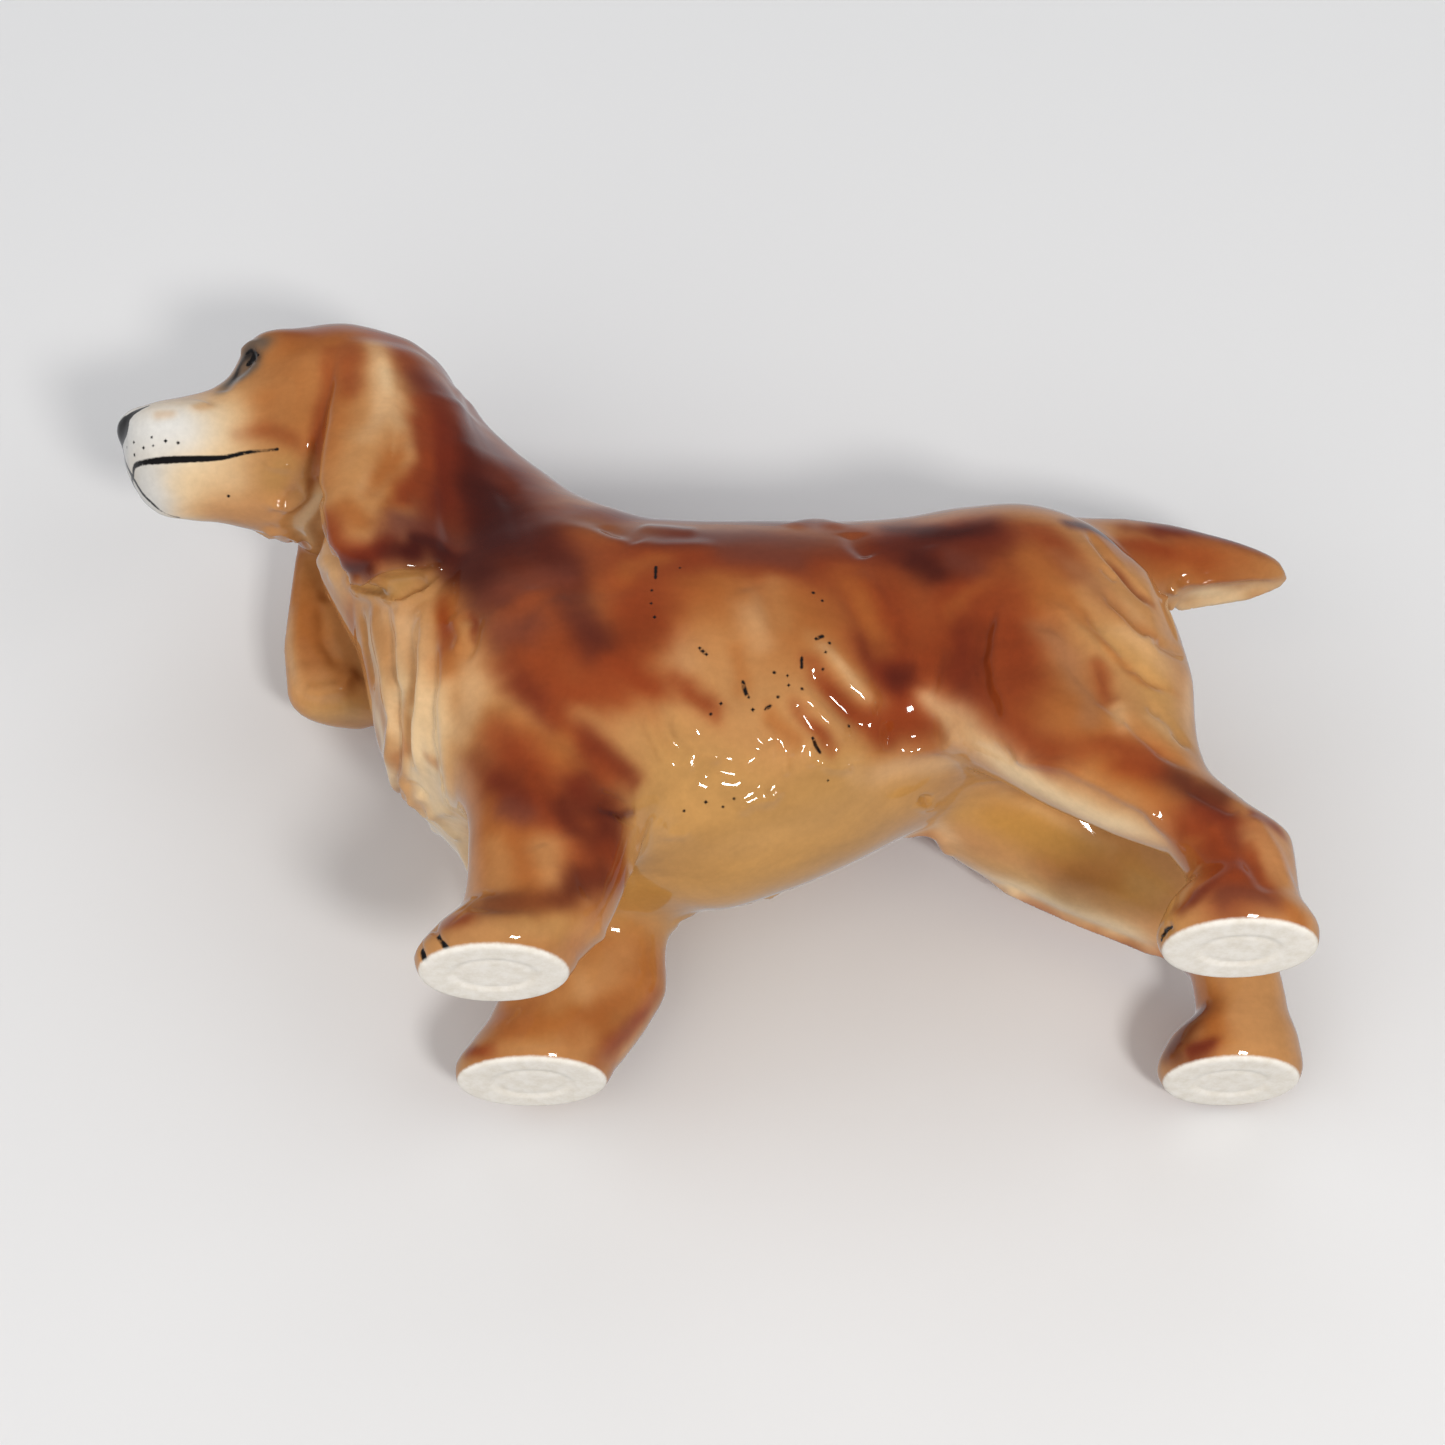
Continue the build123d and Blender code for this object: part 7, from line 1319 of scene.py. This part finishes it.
def keep_islands(fl, Q, nv):
    """Small stray islands of a face label go to their neighbours."""
    E, fe = edges_of(Q)
    nf = len(Q)
    # faces on each edge
    order = np.argsort(fe.ravel(), kind="stable")
    e_sorted = fe.ravel()[order]; f_sorted = order // 4
    same = e_sorted[1:] == e_sorted[:-1]
    pa, pb = f_sorted[:-1][same], f_sorted[1:][same]
    for _ in range(2):
        comp = np.arange(nf)
        m = fl[pa] == fl[pb]
        a, b = pa[m], pb[m]
        while True:
            lo = np.minimum(comp[a], comp[b])
            new = comp.copy()
            np.minimum.at(new, comp[a], lo); np.minimum.at(new, comp[b], lo)
            new = new[new]
            if np.array_equal(new, comp):
                break
            comp = new
        size = np.bincount(comp, minlength=nf)
        best = {}
        for l in np.unique(fl):
            cs = np.unique(comp[fl == l])
            best[int(l)] = cs[np.argmax(size[cs])]
        stray = np.array([comp[i] != best[int(fl[i])] for i in range(nf)])
        if not stray.any():
            break
        for _ in range(60):
            sa = stray[pa] & ~stray[pb]; sb = stray[pb] & ~stray[pa]
            if not (sa.any() or sb.any()):
                break
            fl[pa[sa]] = fl[pb[sa]]; stray[pa[sa]] = False
            sb = stray[pb] & ~stray[pa]
            fl[pb[sb]] = fl[pa[sb]]; stray[pb[sb]] = False
    return fl


# ------------------------------------------------------------------------------
# materials
# ------------------------------------------------------------------------------
def new_material(name):
    m = bpy.data.materials.new(name); m.use_nodes = True
    nt = m.node_tree; nt.nodes.clear()
    return m, nt


def node(nt, kind, **vals):
    n = nt.nodes.new(kind)
    for k, v in vals.items():
        if k.startswith("_"):
            setattr(n, k[1:], v)
        else:
            n.inputs[k.replace("__", " ")].default_value = v
    return n


def glaze(name, streak=1.0):
    m, nt = new_material(name)
    L = nt.links.new
    tc = node(nt, "ShaderNodeTexCoord")
    # the laid-on colours, including the painted sheen of the greyed-brown strokes
    at = node(nt, "ShaderNodeAttribute", _attribute_name="paint")
    # airbrush mottling: soft clouds and fine brush streaks
    mp = node(nt, "ShaderNodeMapping"); mp.inputs["Scale"].default_value = (120.0, 45.0, 90.0)
    mp.inputs["Rotation"].default_value = (0.6, 0.0, 0.0)
    L(tc.outputs["Object"], mp.inputs["Vector"])
    n1 = node(nt, "ShaderNodeTexNoise", Scale=1.0, Detail=4.0, Roughness=0.55, Distortion=0.6)
    L(mp.outputs["Vector"], n1.inputs["Vector"])
    n2 = node(nt, "ShaderNodeTexNoise", Scale=900.0, Detail=3.0, Roughness=0.6)
    L(tc.outputs["Object"], n2.inputs["Vector"])
    r1 = node(nt, "ShaderNodeMapRange", From__Min=0.3, From__Max=0.7, To__Min=0.86, To__Max=1.12)
    L(n1.outputs["Fac"], r1.inputs["Value"])
    r2 = node(nt, "ShaderNodeMapRange", From__Min=0.35, From__Max=0.65, To__Min=0.965, To__Max=1.03)
    L(n2.outputs["Fac"], r2.inputs["Value"])
    mul = node(nt, "ShaderNodeMath", _operation="MULTIPLY")
    L(r1.outputs["Result"], mul.inputs[0]); L(r2.outputs["Result"], mul.inputs[1])
    vm = node(nt, "ShaderNodeVectorMath", _operation="SCALE")
    L(at.outputs["Color"], vm.inputs[0]); L(mul.outputs["Value"], vm.inputs["Scale"])
    # thin black line work under the glaze
    ink = node(nt, "ShaderNodeAttribute", _attribute_name="ink")
    wob = node(nt, "ShaderNodeTexNoise", Scale=1400.0, Detail=2.0, Roughness=0.5)
    L(tc.outputs["Object"], wob.inputs["Vector"])
    w2 = node(nt, "ShaderNodeMapRange", From__Min=0.0, From__Max=1.0, To__Min=-0.1, To__Max=0.1)
    L(wob.outputs["Fac"], w2.inputs["Value"])
    ad = node(nt, "ShaderNodeMath", _operation="ADD")
    L(ink.outputs["Fac"], ad.inputs[0]); L(w2.outputs["Result"], ad.inputs[1])
    edge = node(nt, "ShaderNodeMapRange", From__Min=-0.16, From__Max=0.16, To__Min=1.0, To__Max=0.0, _interpolation_type="SMOOTHSTEP")
    L(ad.outputs["Value"], edge.inputs["Value"])
    mx = node(nt, "ShaderNodeMix", _data_type="RGBA")
    L(edge.outputs["Result"], mx.inputs["Factor"])
    L(vm.outputs["Vector"], mx.inputs[6]); mx.inputs[7].default_value = (0.006, 0.005, 0.005, 1)
    # unglazed foot: bare clay
    bare = node(nt, "ShaderNodeAttribute", _attribute_name="bare")
    be = node(nt, "ShaderNodeMapRange", From__Min=-0.25, From__Max=0.25, To__Min=1.0, To__Max=0.0, _interpolation_type="SMOOTHSTEP")
    bn = node(nt, "ShaderNodeMath", _operation="ADD")
    L(bare.outputs["Fac"], bn.inputs[0]); L(w2.outputs["Result"], bn.inputs[1])
    L(bn.outputs["Value"], be.inputs["Value"])
    cl = node(nt, "ShaderNodeValToRGB")
    cl.color_ramp.elements[0].position = 0.3; cl.color_ramp.elements[0].color = (0.8, 0.745, 0.65, 1)
    cl.color_ramp.elements[1].position = 0.6; cl.color_ramp.elements[1].color = (0.92, 0.88, 0.81, 1)
    n3 = node(nt, "ShaderNodeTexNoise", Scale=420.0, Detail=6.0, Roughness=0.7)
    L(tc.outputs["Object"], n3.inputs["Vector"]); L(n3.outputs["Fac"], cl.inputs["Fac"])
    mb = node(nt, "ShaderNodeMix", _data_type="RGBA")
    L(be.outputs["Result"], mb.inputs["Factor"]); L(mx.outputs[2], mb.inputs[6]); L(cl.outputs["Color"], mb.inputs[7])
    # glaze waviness
    n4 = node(nt, "ShaderNodeTexNoise", Scale=95.0, Detail=2.0, Roughness=0.45)
    L(tc.outputs["Object"], n4.inputs["Vector"])
    bp1 = node(nt, "ShaderNodeBump", Strength=0.35, Distance=0.0006)
    L(n4.outputs["Fac"], bp1.inputs["Height"])
    bp2 = node(nt, "ShaderNodeBump", Strength=0.5, Distance=0.00006)
    L(n3.outputs["Fac"], bp2.inputs["Height"]); L(bp1.outputs["Normal"], bp2.inputs["Normal"])
    p = node(nt, "ShaderNodeBsdfPrincipled", IOR=1.5)
    p.inputs["Coat IOR"].default_value = 1.5
    p.inputs["Specular IOR Level"].default_value = 0.0
    L(mb.outputs[2], p.inputs["Base Color"])
    ro = node(nt, "ShaderNodeMapRange", From__Min=0.0, From__Max=1.0, To__Min=0.22, To__Max=0.75)
    L(be.outputs["Result"], ro.inputs["Value"]); L(ro.outputs["Result"], p.inputs["Roughness"])
    co = node(nt, "ShaderNodeMapRange", From__Min=0.0, From__Max=1.0, To__Min=1.0, To__Max=0.0)
    L(be.outputs["Result"], co.inputs["Value"]); L(co.outputs["Result"], p.inputs["Coat Weight"])
    cr = node(nt, "ShaderNodeMapRange", From__Min=0.3, From__Max=0.7, To__Min=0.025, To__Max=0.07)
    L(n1.outputs["Fac"], cr.inputs["Value"]); L(cr.outputs["Result"], p.inputs["Coat Roughness"])
    L(bp2.outputs["Normal"], p.inputs["Normal"]); L(bp1.outputs["Normal"], p.inputs["Coat Normal"])
    out = node(nt, "ShaderNodeOutputMaterial")
    L(p.outputs["BSDF"], out.inputs["Surface"])
    return m


def stage_material(name, color):
    m, nt = new_material(name)
    L = nt.links.new
    d = node(nt, "ShaderNodeBsdfDiffuse"); d.inputs["Color"].default_value = (*color, 1)
    t = node(nt, "ShaderNodeBsdfTransparent")
    g = node(nt, "ShaderNodeNewGeometry")
    mx = node(nt, "ShaderNodeMixShader")
    L(g.outputs["Backfacing"], mx.inputs[0]); L(d.outputs[0], mx.inputs[1]); L(t.outputs[0], mx.inputs[2])
    out = node(nt, "ShaderNodeOutputMaterial"); L(mx.outputs[0], out.inputs["Surface"])
    return m


# ------------------------------------------------------------------------------
# stage, light and camera
# ------------------------------------------------------------------------------
def sheet(name, corners, color):
    me = bpy.data.meshes.new(name)
    me.from_pydata([tuple(c) for c in corners], [], [(0, 1, 2, 3)])
    me.materials.append(stage_material(name + "_mat", color))
    ob = bpy.data.objects.new(name, me)
    bpy.context.scene.collection.objects.link(ob)
    ob.visible_diffuse = False; ob.visible_glossy = False; ob.visible_transmission = False
    ob.visible_shadow = False
    return ob


def area(name, at, look, size, power, color):
    li = bpy.data.lights.new(name, "AREA"); li.energy = power; li.color = color
    li.shape = "RECTANGLE"; li.size = size[0]; li.size_y = size[1]
    ob = bpy.data.objects.new(name, li); ob.location = at
    d = Vector(look) - Vector(at)
    ob.rotation_euler = d.to_track_quat("-Z", "Y").to_euler()
    bpy.context.scene.collection.objects.link(ob)
    return ob


def build_stage(xmin):
    S = 1.6
    x = xmin - 0.0004
    sheet("table_sheet", [(x, -S, -S), (x, S, -S), (x, S, S), (x, -S, S)], (0.762, 0.765, 0.772))
    sheet("floor_sheet", [(-S, -S, -0.0003), (S, -S, -0.0003), (S, S, -0.0003), (-S, S, -0.0003)], (0.762, 0.765, 0.772))
    mid = (0, 0, 0.06)
    area("window_lamp", (0.72, 0.33, -0.6), mid, (0.17, 0.12), 4.6, (1.0, 0.97, 0.93))
    for ob in (
        area("room_low", (0.8, -0.5, -0.7), mid, (1.1, 1.1), 6.0, (1.0, 0.95, 0.9)),
        area("room_high", (0.75, 0.1, 1.0), mid, (1.3, 1.1), 5.3, (0.93, 0.97, 1.0)),
        area("room_tail", (0.8, 1.0, -0.1), mid, (1.1, 1.1), 4.3, (1.0, 0.98, 0.96)),
        area("room_nose", (0.8, -1.1, 0.2), mid, (1.1, 1.1), 4.3, (0.97, 0.98, 1.0)),
    ):
        ob.visible_glossy = False
    w = bpy.data.worlds.new("room"); bpy.context.scene.world = w
    w.use_nodes = True
    nt = w.node_tree; nt.nodes.clear()
    L = nt.links.new
    tc = node(nt, "ShaderNodeTexCoord")
    sp = node(nt, "ShaderNodeSeparateXYZ"); L(tc.outputs["Generated"], sp.inputs[0])
    # the pale table side is bright, the room side dimmer
    mr = node(nt, "ShaderNodeMapRange", From__Min=-0.35, From__Max=0.2, _interpolation_type="SMOOTHSTEP")
    L(sp.outputs["X"], mr.inputs["Value"])
    rp = node(nt, "ShaderNodeValToRGB")
    rp.color_ramp.elements[0].color = (0.5, 0.51, 0.53, 1); rp.color_ramp.elements[1].color = (0.14, 0.145, 0.155, 1)
    L(mr.outputs["Result"], rp.inputs["Fac"])
    bg = node(nt, "ShaderNodeBackground", Strength=1.0); L(rp.outputs["Color"], bg.inputs["Color"])
    out = node(nt, "ShaderNodeOutputWorld"); L(bg.outputs[0], out.inputs["Surface"])


def build_camera():
    e, a, D = math.radians(-32.0), math.radians(92.0), 0.480
    back = Vector((math.sin(a) * math.cos(e), -math.cos(a) * math.cos(e), math.sin(e)))
    T = Vector((SHIFT[0], 5.4 + SHIFT[1], 53.5)) * 0.001
    cam = bpy.data.cameras.new("camera"); cam.sensor_width = 36.0; cam.lens = 6.34 * 480.0 / 1445.0 * 36.0
    cam.clip_start = 0.01; cam.clip_end = 20.0
    ob = bpy.data.objects.new("camera", cam)
    ob.location = T + back * D
    ob.rotation_euler = (-back).to_track_quat("-Z", "Y").to_euler()
    bpy.context.scene.collection.objects.link(ob)
    bpy.context.scene.camera = ob
    return ob


# ------------------------------------------------------------------------------
def sculpt():
    V, Q = build_skin()
    N = vnormals(V, Q)
    P = V.copy()
    h = relief(P)
    V = V + N * h[:, None]
    V[:, 2] = np.maximum(V[:, 2], 0.0)
    # the plugs stand a little inside the soles, with a ring where they are luted in
    for leg, (fx, fy) in FOOT.items():
        pw, pl = PLUG[leg.split("_")[0]]
        r = np.sqrt(((P[:, 0] - fx) / pw) ** 2 + ((P[:, 1] - fy) / pl) ** 2)
        m = (P[:, 2] < 0.4) & (r < 1.3)
        V[m, 2] = np.maximum(V[m, 2], 0.34 * smooth((1.06 - r[m]) / 0.14) - 0.16 * smooth((0.9 - r[m]) / 0.2))
    return P, V, Q


def line_ink(P):
    """Signed distance, mm, to the black line work (below 0 is black)."""
    s = np.full(len(P), 5.0)
    for half, pts in INK:
        half = np.atleast_1d(np.asarray(half, float))
        d, al = line_distance(P, curve(pts), 6.0)
        w = np.interp(al, np.linspace(0, 1, len(half)), half) if len(half) > 1 else half[0]
        s = np.minimum(s, np.where(d < 900, d - w, 5.0))
    return s


INK = [
    ((0.34, 0.5, 0.62, 0.58, 0.42, 0.3, 0.26), [(11.8, -90.1, 95.2), (14.5, -89.2, 95.6), (17.1, -84.8, 94.5), (16.8, -79.6, 94.9), (16.1, -74.8, 95.6), (16.1, -70.6, 96.6), (16.8, -65.9, 96.5)]),
    ((0.34, 0.5, 0.62, 0.58, 0.42, 0.3, 0.26), [(12.3, -90.0, 95.2), (9.6, -90.7, 95.6), (5.1, -88.3, 94.4), (2.5, -83.7, 94.8), (0.6, -79.4, 95.6), (-1.6, -75.7, 96.5), (-4.6, -72.1, 96.4)]),
    ((0.4, 0.46, 0.46, 0.4, 0.3), [(10.7, -93.0, 102.6), (11.7, -90.8, 96.5), (11.2, -88.9, 93.1), (10.2, -86.6, 90.8), (7.3, -83.1, 90.3)]),
    ((1.0, 1.5, 1.1, 0.7, 0.3), [(11.2, -93.3, 103.1), (13.9, -92.7, 103.1), (16.1, -91.2, 103.6), (17.7, -89.2, 104.2), (18.2, -87.3, 104.8)]),
    ((1.0, 1.5, 1.1, 0.7, 0.3), [(14.4, -92.3, 103.0), (11.8, -93.3, 103.1), (9.1, -93.2, 103.6), (6.9, -92.4, 104.2), (5.4, -91.1, 104.7)]),
    ((0.5, 1.5, 2.0), [(10.7, -93.0, 102.6), (13.2, -92.6, 102.6), (15.2, -91.7, 102.9)]),
    ((0.5, 1.5, 2.0), [(14.8, -91.9, 102.6), (12.3, -93.0, 102.7), (10.2, -93.2, 103.1)]),
    ((0.3, 0.7, 0.45), [(16.3, -72.6, 114.6), (16.8, -71.9, 115.1), (17.5, -71.0, 115.7)]),
    ((0.3, 0.7, 0.45), [(-0.8, -77.5, 114.6), (-1.8, -77.1, 115.1), (-2.7, -76.8, 115.8)]),
    ((0.4, 0.5), [(25.6, -34.4, 2.8), (25.6, -32.8, 0.5)]),
    ((0.4, 0.6), [(22.8, -37.1, 2.5), (22.3, -36.6, 0.6)]),
    ((0.25, 0.45, 0.25), [(23.3, 68.3, 1.2), (24.9, 68.5, 1.8), (26.4, 69.3, 1.7)]),
    ((0.28, 0.3), [(17.1, -36.7, 0.0), (15.5, -35.8, -0.0)]),
    ((0.28, 0.34), [(13.6, -35.7, 0.1), (13.0, -34.8, 0.0)]),
    ((0.26, 0.3, 0.26), [(16.4, -72.6, 116.7), (17.1, -71.7, 116.7), (17.8, -70.3, 115.2)]),
    ((0.26, 0.3, 0.26), [(-0.8, -77.5, 116.7), (-2.1, -77.2, 116.7), (-3.3, -76.3, 115.1)]),
    (0.3, [(16.7, -89.3, 98.6)]),
    (0.3, [(7.7, -91.8, 98.4)]),
    (0.32, [(17.3, -87.5, 97.0)]),
    (0.32, [(6.3, -90.7, 97.0)]),
    (0.28, [(18.1, -85.8, 96.8)]),
    (0.28, [(4.8, -89.7, 96.9)]),
    (0.34, [(18.6, -83.7, 97.3)]),
    (0.34, [(3.1, -88.0, 97.2)]),
    (0.3, [(18.3, -81.7, 97.1)]),
    (0.3, [(2.3, -86.4, 97.2)]),
    (0.32, [(15.6, -89.3, 96.9)]),
    (0.32, [(8.7, -91.4, 97.1)]),
    (0.26, [(18.6, -86.0, 98.1)]),
    (0.26, [(4.3, -90.1, 98.2)]),
    (0.28, [(14.4, -91.0, 99.4)]),
    (0.28, [(10.7, -92.1, 99.4)]),
    (0.28, [(11.5, -74.2, 91.3)]),
    ((0.28, 0.24), [(25.2, -3.9, 66.1), (25.8, -3.9, 63.5)]),
    (0.3, [(26.2, -4.4, 61.0)]),
    (0.3, [(26.5, -4.5, 58.4)]),
    (0.34, [(26.6, -3.9, 55.8)]),
    (0.28, [(25.3, -0.2, 65.7)]),
    ((0.26, 0.3), [(26.4, 2.9, 50.0), (26.3, 3.9, 49.0)]),
    ((0.26, 0.36, 0.26), [(25.0, 9.4, 45.2), (24.4, 9.7, 43.7), (24.0, 10.2, 42.9)]),
    (0.34, [(23.2, 10.8, 41.2)]),
    ((0.24, 0.3), [(22.9, 12.6, 41.4), (23.0, 13.3, 41.9)]),
    (0.3, [(23.3, 14.5, 43.3)]),
    (0.28, [(24.6, 14.0, 46.8)]),
    (0.26, [(24.1, 16.0, 46.5)]),
    (0.3, [(23.6, 16.1, 45.1)]),
    ((0.24, 0.3), [(24.5, 18.2, 49.5), (24.1, 18.1, 48.0)]),
    (0.3, [(23.0, 18.1, 44.8)]),
    (0.28, [(24.9, 20.1, 60.9)]),
    (0.26, [(24.7, 21.4, 59.5)]),
    ((0.28, 0.32), [(24.6, 20.3, 52.6), (24.5, 21.3, 53.2)]),
    (0.3, [(24.1, 22.3, 52.1)]),
    (0.28, [(23.9, 21.5, 50.4)]),
    (0.26, [(23.3, 21.2, 48.0)]),
    (0.32, [(24.2, 6.0, 41.7)]),
    (0.28, [(23.7, 4.5, 40.2)]),
    ((0.28, 0.38, 0.26), [(19.1, 19.7, 38.5), (18.4, 20.0, 37.7), (17.5, 20.7, 36.9)]),
    (0.32, [(18.5, 25.2, 40.8)]),
    (0.26, [(15.6, 0.2, 28.3)]),
    (0.32, [(16.1, 3.5, 29.5)]),
    (0.26, [(15.3, 6.0, 29.1)]),
    (0.26, [(16.0, 7.7, 30.1)]),
    (0.26, [(14.0, 21.8, 34.1)]),
]


def main():
    slots = {s["node"]: s["material_slot"] for s in frame["record"]["subparts"]}
    P, V, Q = sculpt()
    N = vnormals(V, Q)
    E, _ = edges_of(Q)
    dist = nearest_part(P)
    lab = clean_labels(dist.argmin(0), Q, E)
    col = to_linear(paint(P, lab))
    ink = line_ink(P)
    # bare clay on the ground soles
    bare = np.maximum(P[:, 2] - 0.55, -3.0)
    # faces to parts
    fl = np.sort(lab[Q], axis=1)[:, 1]
    plug_names = []
    for leg, (fx, fy) in FOOT.items():
        pw, pl = PLUG[leg.split("_")[0]]
        cen = P[Q].mean(1)
        inside = (((cen[:, 0] - fx) / pw) ** 2 + ((cen[:, 1] - fy) / pl) ** 2 < 1) & (cen[:, 2] < 1.0)
        fl[inside] = len(PARTS) + len(plug_names)
        plug_names.append(leg.replace("_leg", "_sole_plug"))
    fl = keep_islands(fl, Q, len(V))
    names = PARTS + plug_names
    mats = {s: glaze(s) for s in sorted(set(slots.values()))}
    attrs = {"paint": col, "ink": ink, "bare": bare}
    for i, n in enumerate(names):
        q = Q[fl == i]
        if not len(q):
            raise SystemExit("no faces for " + n)
        lift = np.array([0, 0, 4.0]) if n.endswith("plug") else None
        if n.endswith("leg"):
            lift = np.array([0, 0, 6.0])
        ob = make_piece(n + "_cast" if not n.endswith("plug") else n + "_clay", V, N, q, attrs, mats[slots[n]], lift)
        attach(ob, "root")
        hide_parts(n)
    bpy.context.scene.view_settings.view_transform = "Standard"
    build_stage((V[:, 0].min() + SHIFT[0]) * 0.001)
    build_camera()


main()
